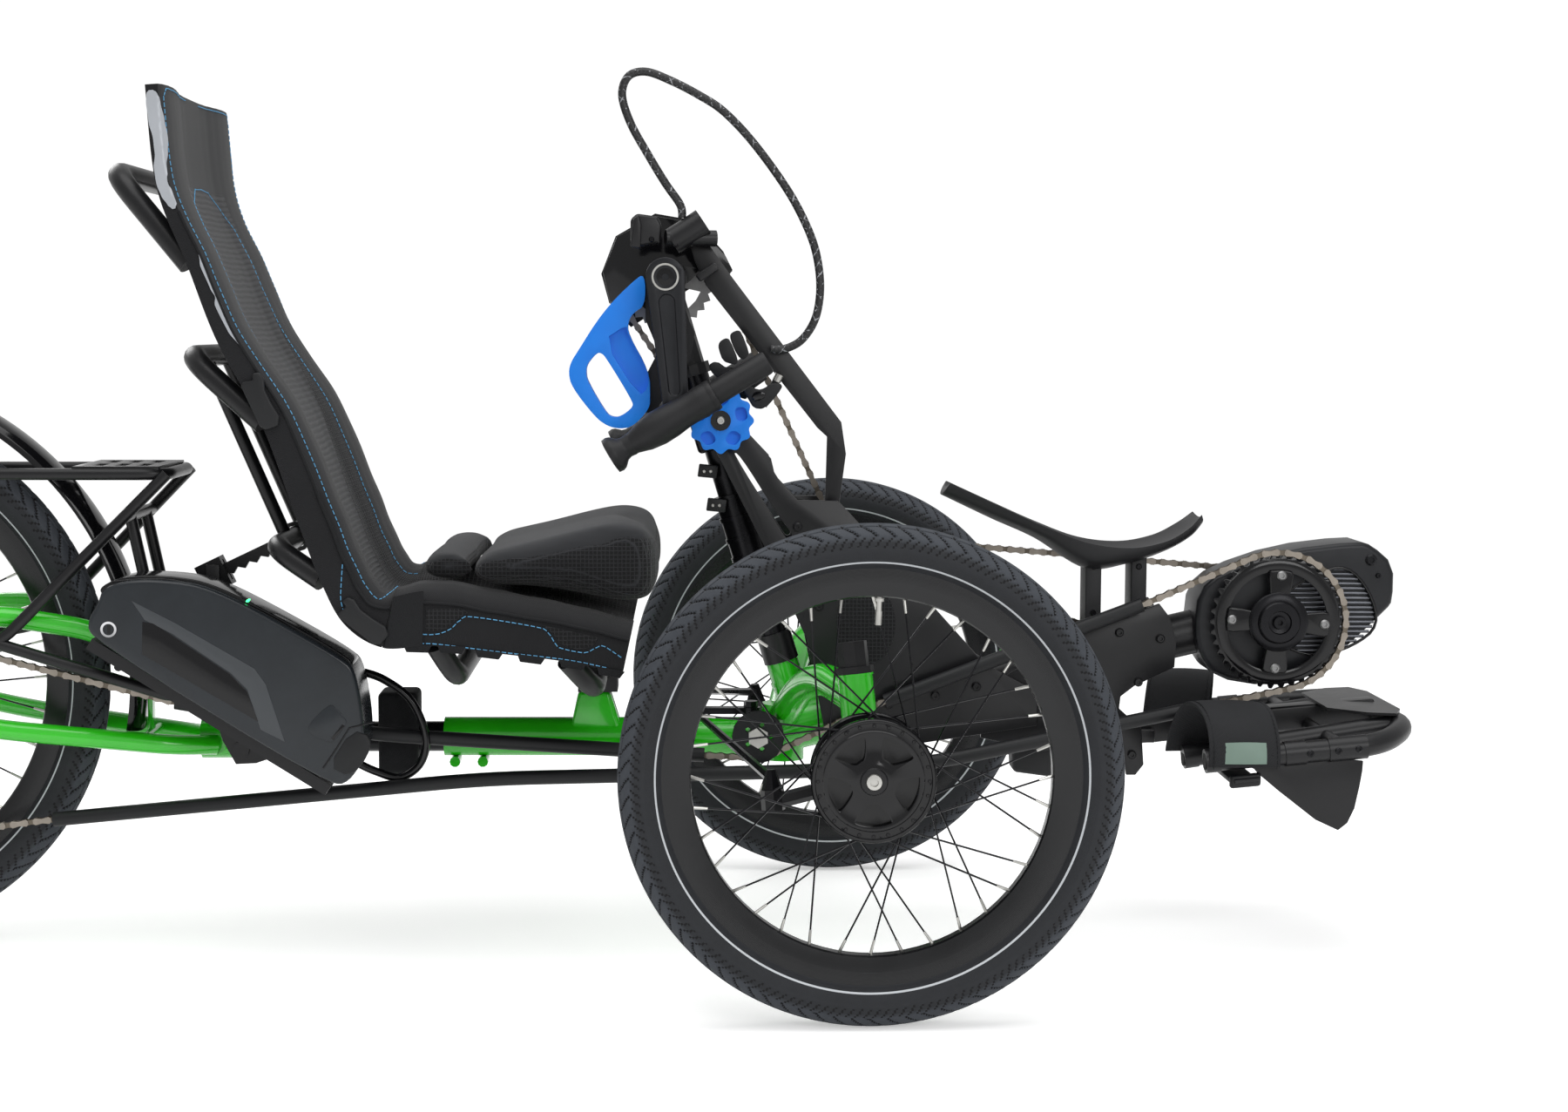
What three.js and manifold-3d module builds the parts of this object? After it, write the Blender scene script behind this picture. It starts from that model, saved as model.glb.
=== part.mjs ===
// Recumbent handcycle with two steered front wheels, a driven rear wheel and an electric front motor.
// Millimetres. +X points forward, +Y to the rider's left, +Z up, and the ground is at zero height.
// X is measured from the front axle while the pieces are built. The whole model is then centred.
import * as THREE from "three";
import { mergeVertices } from "three/addons/utils/BufferGeometryUtils.js";
import Module from "manifold-3d";

const wasm = await Module();
wasm.setup();

// Driving dimensions

const gap = 0.3; // between pieces that touch
const overrun = 4; // how far a cutter passes through
const track = 750; // between the front tyres' centres
const crankHeight = 743;
const crankSetback = 205; // behind the front axle
const crankLength = 149.5;
const crankSwing = THREE.MathUtils.degToRad(4.6); // the arms hang this far forward of plumb
const columnLean = THREE.MathUtils.degToRad(16.9); // top towards the rider
const chainLine = 54; // of the drive chain, on the rider's right
const returnLine = 76; // of the return chain where it passes the idler
const handChainLine = 27; // of the hand chain, on the rider's left
const frontChainLine = 56; // of the chain from jackshaft to motor, on the rider's left
const chainPitch = 12.7;

const frontWheel = {
  radius: 250,
  tyreHeight: 47,
  rimDepth: 25,
  spokes: 36,
  flangeRadius: 60,
  flangeOffset: 25,
  flangeThickness: 8,
  drumRadius: 51,
  hubHalfWidth: 30,
  boreRadius: 9,
  pocketInner: 22,
  pocketOuter: 46,
  pocketDepth: 13,
};
const rearWheel = {
  radius: 300,
  tyreHeight: 46.5,
  rimDepth: 22.5,
  spokes: 36,
  flangeRadius: 30,
  flangeOffset: 26.5,
  flangeThickness: 8,
  drumRadius: 19,
  hubHalfWidth: 31,
  boreRadius: 8,
  frontGap: 824, // from the front axle back to the wheel's front edge
};
rearWheel.setback = rearWheel.frontGap + rearWheel.radius;
for (const wheel of [frontWheel, rearWheel]) {
  wheel.beadRadius = wheel.radius - wheel.tyreHeight;
  wheel.rimInner = wheel.beadRadius - wheel.rimDepth;
}
const tyre = { halfWidth: 23.5, bead: 8, beadRise: 7, crown: 12 };
tyre.wallDrop = 19;
const rim = { halfWidth: 12.5, crown: 7, wall: 1.8, deep: 8, hook: 6, spokeRadius: 1.1, spokePass: 2.3 };
const spokeCross = THREE.MathUtils.degToRad(44);

// Colours and finishes from the photograph

const finish = {
  green: [0x22c01a, 0.25, 0.1],
  satinBlack: [0x1b1c1e, 0.45, 0.3],
  glossBlack: [0x0c0d10, 0.15, 0.1],
  blue: [0x0a84ea, 0.45, 0],
  steel: [0xb9bcc0, 0.3, 1],
  chain: [0x8f8a80, 0.35, 1],
  grey: [0x5b5e62, 0.35, 0.6],
  rubber: [0x2a2c30, 0.8, 0],
  fabric: [0x1d1e20, 0.95, 0],
};
for (const [name, [colour, roughness, metalness]] of Object.entries(finish)) {
  finish[name] = new THREE.MeshStandardMaterial({ name, color: colour, roughness, metalness });
}

const model = new THREE.Group();

// Geometry helpers

const at = (x, y, z) => new THREE.Vector3(x, y, z);

// A closed mesh becomes a solid, turned the right way out.
function toSolid(source) {
  const geometry = source.clone();
  for (const name of Object.keys(geometry.attributes)) {
    if (name !== "position") geometry.deleteAttribute(name);
  }
  const merged = mergeVertices(geometry, 1e-3);
  const position = merged.attributes.position;
  const index = Array.from(merged.index.array);
  const corners = [];
  let volume = 0;
  for (let i = 0; i < index.length; i += 3) {
    const [a, b, c] = index.slice(i, i + 3);
    if (a === b || b === c || c === a) continue;
    const [p, q, r] = [a, b, c].map((n) => new THREE.Vector3().fromBufferAttribute(position, n));
    volume += p.dot(q.cross(r));
    corners.push(a, b, c);
  }
  if (volume < 0) corners.reverse();
  const mesh = new wasm.Mesh({
    numProp: 3,
    vertProperties: new Float32Array(position.array),
    triVerts: new Uint32Array(corners),
  });
  return new wasm.Manifold(mesh);
}

function toGeometry(solid) {
  const mesh = solid.getMesh();
  const geometry = new THREE.BufferGeometry();
  geometry.setAttribute("position", new THREE.BufferAttribute(mesh.vertProperties, 3));
  geometry.setIndex(new THREE.BufferAttribute(mesh.triVerts, 1));
  geometry.computeVertexNormals();
  return geometry;
}

const join = (...solids) => solids.flat().reduce((sum, solid) => sum.add(solid));
const cut = (solid, ...tools) => tools.flat().reduce((rest, tool) => rest.subtract(tool), solid);

function piece(name, solid, material) {
  const mesh = new THREE.Mesh(toGeometry(solid), material);
  mesh.name = name;
  model.add(mesh);
  return mesh;
}

function placed(geometry, matrix) {
  return toSolid(geometry.clone().applyMatrix4(matrix));
}

// A round bar or cone between two points.
function rod(from, to, radius, sides = 8, endRadius = radius) {
  const along = to.clone().sub(from);
  const geometry = new THREE.CylinderGeometry(endRadius, radius, along.length(), sides);
  const turn = new THREE.Quaternion().setFromUnitVectors(at(0, 1, 0), along.clone().normalize());
  const middle = from.clone().add(to).multiplyScalar(0.5);
  return placed(geometry, new THREE.Matrix4().compose(middle, turn, at(1, 1, 1)));
}

// A bore whose flats clear a shaft as it turns.
const boreFor = (radius, sides) => (radius + gap) / Math.cos(Math.PI / sides);

// A round bar along Y through a point in the XZ plane.
const pin = (x, z, yFrom, yTo, radius, sides = 12) => rod(at(x, yFrom, z), at(x, yTo, z), radius, sides);

function block(x, y, z, length, width, height) {
  const geometry = new THREE.BoxGeometry(length, width, height);
  return placed(geometry, new THREE.Matrix4().makeTranslation(x, y, z));
}

// Outlines run one way round and holes the other.
function wound(outline, clockwise) {
  const points = outline.map(([x, z]) => new THREE.Vector2(x, z));
  return THREE.ShapeUtils.isClockWise(points) === clockwise ? points : points.reverse();
}

// A plate whose outline lies in the XZ plane, from one Y to another.
function plate(outline, yFrom, yTo, holes = []) {
  const shape = new THREE.Shape(wound(outline, false));
  for (const hole of holes) shape.holes.push(new THREE.Path(wound(hole, true)));
  const geometry = new THREE.ExtrudeGeometry(shape, { depth: yTo - yFrom, bevelEnabled: false });
  geometry.rotateX(Math.PI / 2);
  geometry.translate(0, yTo, 0);
  return toSolid(geometry);
}

// An outline given as shares of a frame with a corner and two sizes.
const fitted = (frame, shares) => shares.map(([a, b]) => [frame.x + a * frame.length, frame.z + b * frame.height]);

function circle(x, z, radius, sides = 16) {
  const points = [];
  for (let i = 0; i < sides; i += 1) {
    const angle = (2 * Math.PI * i) / sides;
    points.push([x + radius * Math.cos(angle), z + radius * Math.sin(angle)]);
  }
  return points;
}

// A body of revolution about the Y axis. The profile is a closed list of radius and Y.
function turned(profile, x, z, segments = 24, phase = 0) {
  const points = profile.map(([radius, y]) => new THREE.Vector2(radius, y));
  points.push(points[0].clone());
  const geometry = new THREE.LatheGeometry(points, segments);
  geometry.rotateY(phase);
  geometry.translate(x, 0, z);
  return toSolid(geometry);
}

// A path whose rings stand exactly at the given stations.
class StationPath extends THREE.Curve {
  constructor(stations) {
    super();
    this.stations = stations;
  }

  stationAt(share) {
    return this.stations[Math.round(share * (this.stations.length - 1))];
  }

  getPoint(share) {
    return this.stationAt(share).point.clone();
  }

  getPointAt(share) {
    return this.getPoint(share);
  }

  getTangentAt(share) {
    return this.stationAt(share).tangent.clone();
  }
}

// Stations along straight runs with round bends. A bend of zero is a plain mitre.
function bendStations(points, bend, bendSteps) {
  const heading = (from, to) => to.clone().sub(from).normalize();
  const stations = [{ point: points[0], tangent: heading(points[0], points[1]) }];
  for (let i = 1; i < points.length - 1; i += 1) {
    const [before, corner, after] = [points[i - 1], points[i], points[i + 1]];
    const reach = Math.min(bend, before.distanceTo(corner) / 2.01, corner.distanceTo(after) / 2.01);
    const from = corner.clone().addScaledVector(heading(corner, before), reach);
    const to = corner.clone().addScaledVector(heading(corner, after), reach);
    if (!bendSteps || !bend) {
      const tangent = heading(before, corner).add(heading(corner, after)).normalize();
      stations.push({ point: corner, tangent });
      continue;
    }
    const curve = new THREE.QuadraticBezierCurve3(from, corner, to);
    for (let j = 0; j <= bendSteps; j += 1) {
      stations.push({ point: curve.getPoint(j / bendSteps), tangent: curve.getTangent(j / bendSteps) });
    }
  }
  const count = points.length;
  stations.push({ point: points[count - 1], tangent: heading(points[count - 2], points[count - 1]) });
  return stations;
}

function bentTube(points, radius, { sides = 8, bend = 3 * radius, bendSteps = 3 } = {}) {
  const stations = bendStations(points, bend, bendSteps);
  const corners = [];
  for (let i = 0; i < sides; i += 1) {
    const angle = (2 * Math.PI * (i + 0.5)) / sides;
    corners.push(new THREE.Vector2(radius * Math.cos(angle), radius * Math.sin(angle)));
  }
  const settings = { steps: stations.length - 1, extrudePath: new StationPath(stations), bevelEnabled: false };
  return toSolid(new THREE.ExtrudeGeometry(new THREE.Shape(corners), settings));
}

// A skin through rings of equal count. Closed ends are flat fans about each end ring's centre.
function loft(rings, endless = false) {
  const count = rings[0].length;
  const points = rings.flat();
  const index = [];
  const total = endless ? rings.length : rings.length - 1;
  for (let i = 0; i < total; i += 1) {
    const a = i * count;
    const b = ((i + 1) % rings.length) * count;
    for (let j = 0; j < count; j += 1) {
      const k = (j + 1) % count;
      index.push(a + j, b + j, b + k, a + j, b + k, a + k);
    }
  }
  if (!endless) {
    const last = (rings.length - 1) * count;
    for (const [start, flip] of [[0, false], [last, true]]) {
      const centre = new THREE.Vector3();
      for (const point of points.slice(start, start + count)) centre.addScaledVector(point, 1 / count);
      points.push(centre);
      const middle = points.length - 1;
      for (let j = 0; j < count; j += 1) {
        const k = (j + 1) % count;
        index.push(...(flip ? [middle, start + k, start + j] : [middle, start + j, start + k]));
      }
    }
  }
  const geometry = new THREE.BufferGeometry().setFromPoints(points);
  geometry.setIndex(index);
  return toSolid(geometry);
}

// A part of a body of revolution about the wheel axis at (x, z), swept between two angles.
function sweptRing(profile, x, z, from, to, steps) {
  const rings = [];
  for (let i = 0; i <= steps; i += 1) {
    const angle = from + ((to - from) * i) / steps;
    rings.push(profile.map(([r, y]) => at(x + r * Math.cos(angle), y, z + r * Math.sin(angle))));
  }
  return loft(rings);
}

// Places on the machine that several pieces share

const crank = at(-crankSetback, 0, crankHeight);
const columnUp = at(-Math.sin(columnLean), 0, Math.cos(columnLean));
const onColumn = (down) => crank.clone().addScaledVector(columnUp, -down);
const crankPin = at(crank.x + crankLength * Math.sin(crankSwing), 0, crank.z - crankLength * Math.cos(crankSwing));
const rearAxle = at(-rearWheel.setback, 0, rearWheel.radius);
const frontAxleHeight = frontWheel.radius;

const boom = { radius: 25, rearX: -52, rearZ: 246, frontX: 392, frontZ: 349, socketX: -22, socketWall: 3.5 };
boom.slope = Math.atan2(boom.frontZ - boom.rearZ, boom.frontX - boom.rearX);
const onBoom = (x, y = 0) => at(x, y, boom.rearZ + (x - boom.rearX) * Math.tan(boom.slope));

// Sprockets and chains

const pitchRadius = (teeth) => chainPitch / (2 * Math.sin(Math.PI / teeth));
const gear = { thickness: 2.2, tipBelow: 1.6, toothDepth: 5.4 };
const link = { inner: 2.4, outer: 3.7, halfHeight: 4, webHalf: 1 };

function toothedOutline(centre, teeth, phase = 0) {
  const tip = pitchRadius(teeth) - gear.tipBelow;
  const root = tip - gear.toothDepth;
  const points = [];
  for (let i = 0; i < teeth; i += 1) {
    const middle = phase + (2 * Math.PI * i) / teeth;
    const half = Math.PI / teeth;
    for (const [share, radius] of [[0, tip], [1, root]]) {
      const angle = middle + share * half;
      points.push([centre.x + radius * Math.cos(angle), centre.z + radius * Math.sin(angle)]);
    }
  }
  return points;
}

function sprocket(centre, teeth, y, holes = []) {
  const half = gear.thickness / 2;
  return plate(toothedOutline(centre, teeth), y - half, y + half, holes);
}

// The closed path of a chain round wheels. A stop's turn is +1 where the wheel lies to the left of
// the chain's travel, -1 where it lies to the right, and 0 for a plain guide point.
function wrapPath(stops, stepAngle) {
  const path = [];
  const count = stops.length;
  const heading = (a, b) => {
    const [signA, signB] = [a.turn * a.radius || 0, b.turn * b.radius || 0];
    const length = Math.hypot(b.x - a.x, b.z - a.z);
    return Math.atan2(b.z - a.z, b.x - a.x) - Math.asin((signB - signA) / length);
  };
  stops.forEach((stop, i) => {
    const enter = heading(stops[(i + count - 1) % count], stop);
    const leave = heading(stop, stops[(i + 1) % count]);
    let bend = leave - enter;
    while (bend > Math.PI) bend -= 2 * Math.PI;
    while (bend < -Math.PI) bend += 2 * Math.PI;
    if (stop.turn > 0 && bend < 0) bend += 2 * Math.PI;
    if (stop.turn < 0 && bend > 0) bend -= 2 * Math.PI;
    const steps = stop.turn ? Math.max(1, Math.round(Math.abs(bend) / stepAngle)) : 1;
    const reach = stop.turn * (stop.radius || 0) / Math.cos(bend / steps / 2);
    for (let j = 0; j < steps; j += 1) {
      const angle = enter + (bend * (j + 0.5)) / steps;
      const normal = [-Math.sin(angle), Math.cos(angle)];
      path.push({ x: stop.x - reach * normal[0], z: stop.z - reach * normal[1], y: stop.y, normal });
    }
  });
  return path;
}

// Two rows of side plates with a web between them, which leaves room for teeth on both sides.
function chainBelt(stops, stepAngle) {
  const { inner, outer, halfHeight, webHalf } = link;
  const section = [
    [outer, -halfHeight], [outer, halfHeight], [inner, halfHeight], [inner, webHalf],
    [-inner, webHalf], [-inner, halfHeight], [-outer, halfHeight], [-outer, -halfHeight],
    [-inner, -halfHeight], [-inner, -webHalf], [inner, -webHalf], [inner, -halfHeight],
  ];
  const rings = wrapPath(stops, stepAngle).map((p) =>
    section.map(([w, h]) => at(p.x + h * p.normal[0], p.y + w, p.z + h * p.normal[1])),
  );
  return loft(rings, true);
}

// Wheels

function tyreSolid(spec, x, y, z) {
  const { radius, beadRadius } = spec;
  const segments = 36;
  const flat = 1 / Math.cos(Math.PI / segments); // the facets touch the ground, not the corners
  const half = [
    [beadRadius + gap, tyre.bead],
    [beadRadius + tyre.beadRise, tyre.bead + gap],
    [radius - tyre.wallDrop, tyre.halfWidth],
    [radius, tyre.crown],
  ];
  const other = half.map(([r, w]) => [r, -w]).reverse();
  const profile = [...half, ...other].map(([r, w]) => [r * (r > beadRadius + tyre.beadRise ? flat : 1), y + w]);
  return turned(profile, x, z, segments, Math.PI / segments);
}

function rimSolid(spec, x, y, z) {
  const { beadRadius, rimInner } = spec;
  const half = [
    [rimInner, rim.crown],
    [beadRadius - rim.deep, rim.halfWidth],
    [beadRadius + rim.hook, rim.halfWidth],
    [beadRadius, rim.halfWidth - 2 * rim.wall],
  ];
  const other = half.map(([r, w]) => [r, -w]).reverse();
  const profile = [...half, ...other].map(([r, w]) => [r, y + w]);
  return turned(profile, x, z, 36, Math.PI / 36);
}

// Spokes leave the two flanges as near tangents and meet the rim at its middle.
function spokeSolids(spec, x, y, z) {
  const { spokes, flangeRadius, flangeOffset, rimInner } = spec;
  const solids = [];
  for (let i = 0; i < spokes; i += 1) {
    const side = i % 2 ? 1 : -1;
    const lead = Math.floor(i / 2) % 2 ? 1 : -1;
    const angle = (2 * Math.PI * i) / spokes;
    const hubAngle = angle + lead * spokeCross;
    const seat = flangeRadius - spec.flangeThickness;
    const pass = lead * rim.spokePass;
    const from = at(x + seat * Math.cos(hubAngle), y + side * flangeOffset + pass, z + seat * Math.sin(hubAngle));
    const reach = rimInner + rim.wall;
    const to = at(x + reach * Math.cos(angle), y + pass, z + reach * Math.sin(angle));
    solids.push(rod(from, to, rim.spokeRadius, 3));
  }
  return solids;
}

function hubSolid(spec, x, y, z) {
  const { flangeRadius, flangeOffset, flangeThickness, drumRadius, hubHalfWidth, boreRadius } = spec;
  const flangeIn = flangeOffset - flangeThickness / 2;
  const flangeOut = flangeOffset + flangeThickness / 2;
  const half = [
    [drumRadius, flangeIn],
    [flangeRadius, flangeIn],
    [flangeRadius, flangeOut],
    [drumRadius, flangeOut],
    [drumRadius, hubHalfWidth],
    [boreRadius, hubHalfWidth],
  ];
  const other = half.map(([r, w]) => [r, -w]).reverse();
  const profile = [...half, ...other].map(([r, w]) => [r, y + w]);
  return turned(profile, x, z, 18, Math.PI / 18);
}

// The drum's outer face has five deep pockets that leave a five-armed star.
function drumPockets(spec, x, y, z, outward) {
  const { pocketInner, pocketOuter, pocketDepth, hubHalfWidth } = spec;
  const tools = [];
  const halfAngle = THREE.MathUtils.degToRad(26);
  for (let i = 0; i < 5; i += 1) {
    const middle = Math.PI / 2 + (2 * Math.PI * (i + 0.5)) / 5;
    const outline = [];
    for (let j = 0; j <= 4; j += 1) {
      const angle = middle - halfAngle + (2 * halfAngle * j) / 4;
      outline.push([x + pocketOuter * Math.cos(angle), z + pocketOuter * Math.sin(angle)]);
    }
    for (const share of [0.55, 0, -0.55]) {
      const angle = middle + share * halfAngle;
      outline.push([x + pocketInner * Math.cos(angle), z + pocketInner * Math.sin(angle)]);
    }
    const face = y + outward * hubHalfWidth;
    const ends = [face - outward * pocketDepth, face + outward * overrun].sort((a, b) => a - b);
    tools.push(plate(outline, ends[0], ends[1]));
  }
  return tools;
}

function frontWheelPieces(side, name) {
  const y = (side * track) / 2;
  const hub = cut(hubSolid(frontWheel, 0, y, frontAxleHeight), drumPockets(frontWheel, 0, y, frontAxleHeight, side));
  const spokes = spokeSolids(frontWheel, 0, y, frontAxleHeight);
  piece(`front_tyre_${name}`, tyreSolid(frontWheel, 0, y, frontAxleHeight), finish.rubber);
  piece(`front_wheel_${name}`, join(rimSolid(frontWheel, 0, y, frontAxleHeight), hub, spokes), finish.satinBlack);
}

function rearWheelPieces() {
  const hub = hubSolid(rearWheel, rearAxle.x, 0, rearAxle.z);
  const spokes = spokeSolids(rearWheel, rearAxle.x, 0, rearAxle.z);
  piece("rear_tyre", tyreSolid(rearWheel, rearAxle.x, 0, rearAxle.z), finish.rubber);
  piece("rear_wheel", join(rimSolid(rearWheel, rearAxle.x, 0, rearAxle.z), hub, spokes), finish.satinBlack);
}

// Steering: kingpins, knuckles, tie rods and the bell crank

const kingpin = {
  lean: THREE.MathUtils.degToRad(6), // top towards the rear
  tilt: THREE.MathUtils.degToRad(6), // top towards the middle
  y: 312, // at axle height
  x: -3,
  tubeRadius: 18,
  shaftRadius: 13,
  tubeFrom: 30, // above the axle
  tubeTo: 92,
  capTo: 124,
  capRadius: 15.5,
  ringRadius: 20,
  ringHeight: 7,
  footTo: -26,
  footRadius: 17,
  axleRadius: 8.6,
  armLength: 76,
  armRadius: 8,
  ballRadius: 12,
  ballHeight: 24,
};
const bell = { x: -110, reach: 76, z: 256.3, shaftRadius: 8, shaftDepth: 26, hubRadius: 11, eyeRadius: 10, thickness: 7, pinRadius: 4 };
const tieRod = { radius: 5, neckRadius: 3.4, eyeBore: 6.5, eyeRadius: 13, boot: 11, bootHeight: 20, eyeHeight: 10, eyeLift: 1.6 };

function kingpinPoint(side, above) {
  return at(
    kingpin.x - above * Math.tan(kingpin.lean),
    side * (kingpin.y - above * Math.tan(kingpin.tilt)),
    frontAxleHeight + above,
  );
}

// The tie rods turn about this line, which keeps their inner eyes level as the wheels steer.
const tieRodLean = { rearwards: 0.0669, inwards: 0.0831 };

function tieRodAxis(side) {
  return at(-tieRodLean.rearwards, -side * tieRodLean.inwards, 1).normalize();
}

function armEnd(side) {
  return at(kingpin.x - kingpin.armLength - kingpin.footRadius, side * kingpin.y, frontAxleHeight - kingpin.ballHeight);
}

function knuckle(side, name) {
  const k = kingpin;
  const shaft = rod(kingpinPoint(side, k.footTo), kingpinPoint(side, k.capTo - k.ringHeight), k.shaftRadius);
  const foot = rod(kingpinPoint(side, k.footTo), kingpinPoint(side, k.tubeFrom - gap), k.footRadius);
  const ring = rod(kingpinPoint(side, k.tubeTo + gap), kingpinPoint(side, k.tubeTo + k.ringHeight), k.ringRadius);
  const cap = rod(kingpinPoint(side, k.tubeTo + k.ringHeight / 2), kingpinPoint(side, k.capTo), k.capRadius);
  const middle = at(0, side * k.y, frontAxleHeight);
  const outerEnd = side * (track / 2 + frontWheel.hubHalfWidth - gap);
  const axle = rod(middle, at(0, outerEnd, frontAxleHeight), k.axleRadius);
  const shoulderEnd = side * (track / 2 - frontWheel.hubHalfWidth - gap);
  const shoulder = rod(middle, at(0, shoulderEnd, frontAxleHeight), k.footRadius, 8, k.ringRadius);
  const end = armEnd(side);
  const armDrop = k.armRadius + tieRod.radius;
  const axis = tieRodAxis(side);
  const arm = rod(kingpinPoint(side, k.footTo / 2), end.clone().addScaledVector(axis, -armDrop), k.armRadius, 6);
  const eyeFoot = end.clone().addScaledVector(axis, -armDrop - k.armRadius);
  const eye = rod(eyeFoot, end.clone().addScaledVector(axis, -gap), k.ballRadius);
  piece(`steering_knuckle_${name}`, join(shaft, foot, ring, cap, axle, shoulder, arm, eye), finish.satinBlack);
}

const bellTop = bell.z + bell.thickness;

// Both tie rods pivot on one pin, with the left rod's eye above the right rod's.
function rodPivot(side) {
  const level = side < 0 ? 0 : 1;
  return at(bell.x - bell.reach, 0, bellTop + tieRod.eyeHeight / 2 + (level + 1) * tieRod.eyeLift + level * tieRod.eyeHeight);
}

// A lever turns on top of the main tube and carries the tie rods' inner pivot.
function bellCrank() {
  const end = rodPivot(1);
  const shaft = rod(at(bell.x, 0, bell.z - bell.shaftDepth), at(bell.x, 0, bellTop + bell.thickness), bell.shaftRadius);
  const hub = rod(at(bell.x, 0, bell.z), at(bell.x, 0, bellTop), bell.hubRadius, 12);
  const arm = block(bell.x - bell.reach / 2, 0, bell.z + bell.thickness / 2, bell.reach, 2 * bell.shaftRadius, bell.thickness);
  const eye = rod(end.clone().setZ(bell.z), end.clone().setZ(bellTop), bell.eyeRadius, 10);
  const stud = rod(end.clone().setZ(bell.z), end.clone().setZ(end.z + tieRod.eyeHeight / 2 + bell.pinRadius), bell.pinRadius, 8);
  piece("bell_crank", join(shaft, hub, arm, eye, stud), finish.satinBlack);
}

function tieRodPiece(side, name) {
  const end = armEnd(side);
  const axis = tieRodAxis(side);
  const outer = end.clone().addScaledVector(axis, tieRod.bootHeight / 2);
  const inner = rodPivot(side);
  const along = outer.clone().sub(inner).normalize();
  const neck = inner.clone().addScaledVector(along, tieRod.eyeRadius - tieRod.neckRadius);
  const bar = rod(neck, outer, tieRod.neckRadius, 6, tieRod.radius);
  const boot = rod(end.clone(), end.clone().addScaledVector(axis, tieRod.bootHeight), tieRod.boot, 8, tieRod.radius);
  const half = tieRod.eyeHeight / 2;
  const eye = rod(inner.clone().setZ(inner.z - half), inner.clone().setZ(inner.z + half), tieRod.eyeRadius, 12);
  const bore = rod(inner.clone().setZ(inner.z - 2 * half), inner.clone().setZ(inner.z + 2 * half), tieRod.eyeBore, 10);
  piece(`tie_rod_${name}`, cut(join(bar, boot, eye), bore), finish.satinBlack);
}

// Main frame

const mainTube = { radius: 22, rearX: -453, rearZ: 231, frontX: -60, frontZ: 230, sides: 12 };
const innerTube = { radius: 17, rearX: -700, z: 231, engage: 60, sides: 12 };
const armTube = { radius: 17, above: 66, x: [-78, -57, -38], y: [0, 110, 180], z: [246, 303, 322], sides: 8 };
const hubTube = { x: -74, radius: 24, bottom: 205, top: 268 };
const pylon = { rearX: -313, frontX: -254, topRearX: -303, topFrontX: -268, topZ: 284, footZ: 238, halfWidth: 17 };
const clampBoss = { firstX: -441, secondX: -410, radius: 6, halfWidth: 14, drop: 27 };

function onMainTube(x) {
  const share = (x - mainTube.rearX) / (mainTube.frontX - mainTube.rearX);
  return at(x, 0, mainTube.rearZ + share * (mainTube.frontZ - mainTube.rearZ));
}

// The front wheels hang on two arms that sweep up and out to the kingpin tubes.
function sweptArm(side, radius) {
  const stops = armTube.x.map((x, i) => at(x, side * armTube.y[i], armTube.z[i]));
  return bentTube([...stops, kingpinPoint(side, armTube.above)], radius, { sides: armTube.sides, bend: 3 * armTube.radius, bendSteps: 1 });
}

function mainFrame() {
  const { sides } = mainTube;
  const tube = rod(onMainTube(mainTube.rearX), onMainTube(mainTube.frontX), mainTube.radius, sides);
  const socketEnd = at(mainTube.rearX + innerTube.engage, 0, innerTube.z);
  const socket = rod(at(mainTube.rearX - overrun, 0, innerTube.z), socketEnd, innerTube.radius + gap, innerTube.sides);
  const hub = rod(at(hubTube.x, 0, hubTube.bottom), at(hubTube.x, 0, hubTube.top), hubTube.radius, sides);
  const arms = [-1, 1].map((side) => sweptArm(side, armTube.radius));
  const [low, high] = [kingpin.tubeFrom, kingpin.tubeTo];
  const heads = [-1, 1].map((side) => rod(kingpinPoint(side, low), kingpinPoint(side, high), kingpin.tubeRadius, 10));
  const bores = [-1, 1].map((side) =>
    rod(kingpinPoint(side, low - overrun), kingpinPoint(side, high + overrun), boreFor(kingpin.shaftRadius, 10), 10));
  const ring = (rear, front, z) => {
    const w = pylon.halfWidth;
    return [at(rear, -w, z), at(front, -w, z), at(front, w, z), at(rear, w, z)];
  };
  const post = loft([ring(pylon.rearX, pylon.frontX, pylon.footZ), ring(pylon.topRearX, pylon.topFrontX, pylon.topZ)]);
  const bosses = [clampBoss.firstX, clampBoss.secondX].map((x) =>
    pin(x, mainTube.rearZ - clampBoss.drop, -clampBoss.halfWidth, clampBoss.halfWidth, clampBoss.radius, 8));
  const c = columnTube;
  const column = rod(onColumn(c.bottom + 2 * c.boss), onColumn(c.bottom - c.boss), c.radius + c.wall, 12);
  const columnBore = rod(onColumn(c.bottom), onColumn(c.bottom - c.boss - overrun), c.radius + gap, 12);
  const boomSocket = rod(onBoom(hubTube.x), onBoom(boom.socketX), boom.radius + boom.socketWall, 12);
  const boomBore = rod(onBoom(boom.rearX), onBoom(boom.socketX + overrun), boom.radius + gap, 12);
  const bellBore = rod(at(bell.x, 0, bell.z - bell.shaftDepth - gap), at(bell.x, 0, bell.z + overrun), boreFor(bell.shaftRadius, 8), 8);
  const body = join(tube, hub, arms, heads, post, bosses, column, boomSocket);
  piece("main_frame", cut(body, socket, bores, columnBore, boomBore, bellBore), finish.green);
}

function mainInnerTube() {
  const end = mainTube.rearX + innerTube.engage - gap;
  piece("main_inner_tube", rod(at(innerTube.rearX, 0, innerTube.z), at(end, 0, innerTube.z), innerTube.radius, innerTube.sides), finish.satinBlack);
}

// Rear frame

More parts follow.
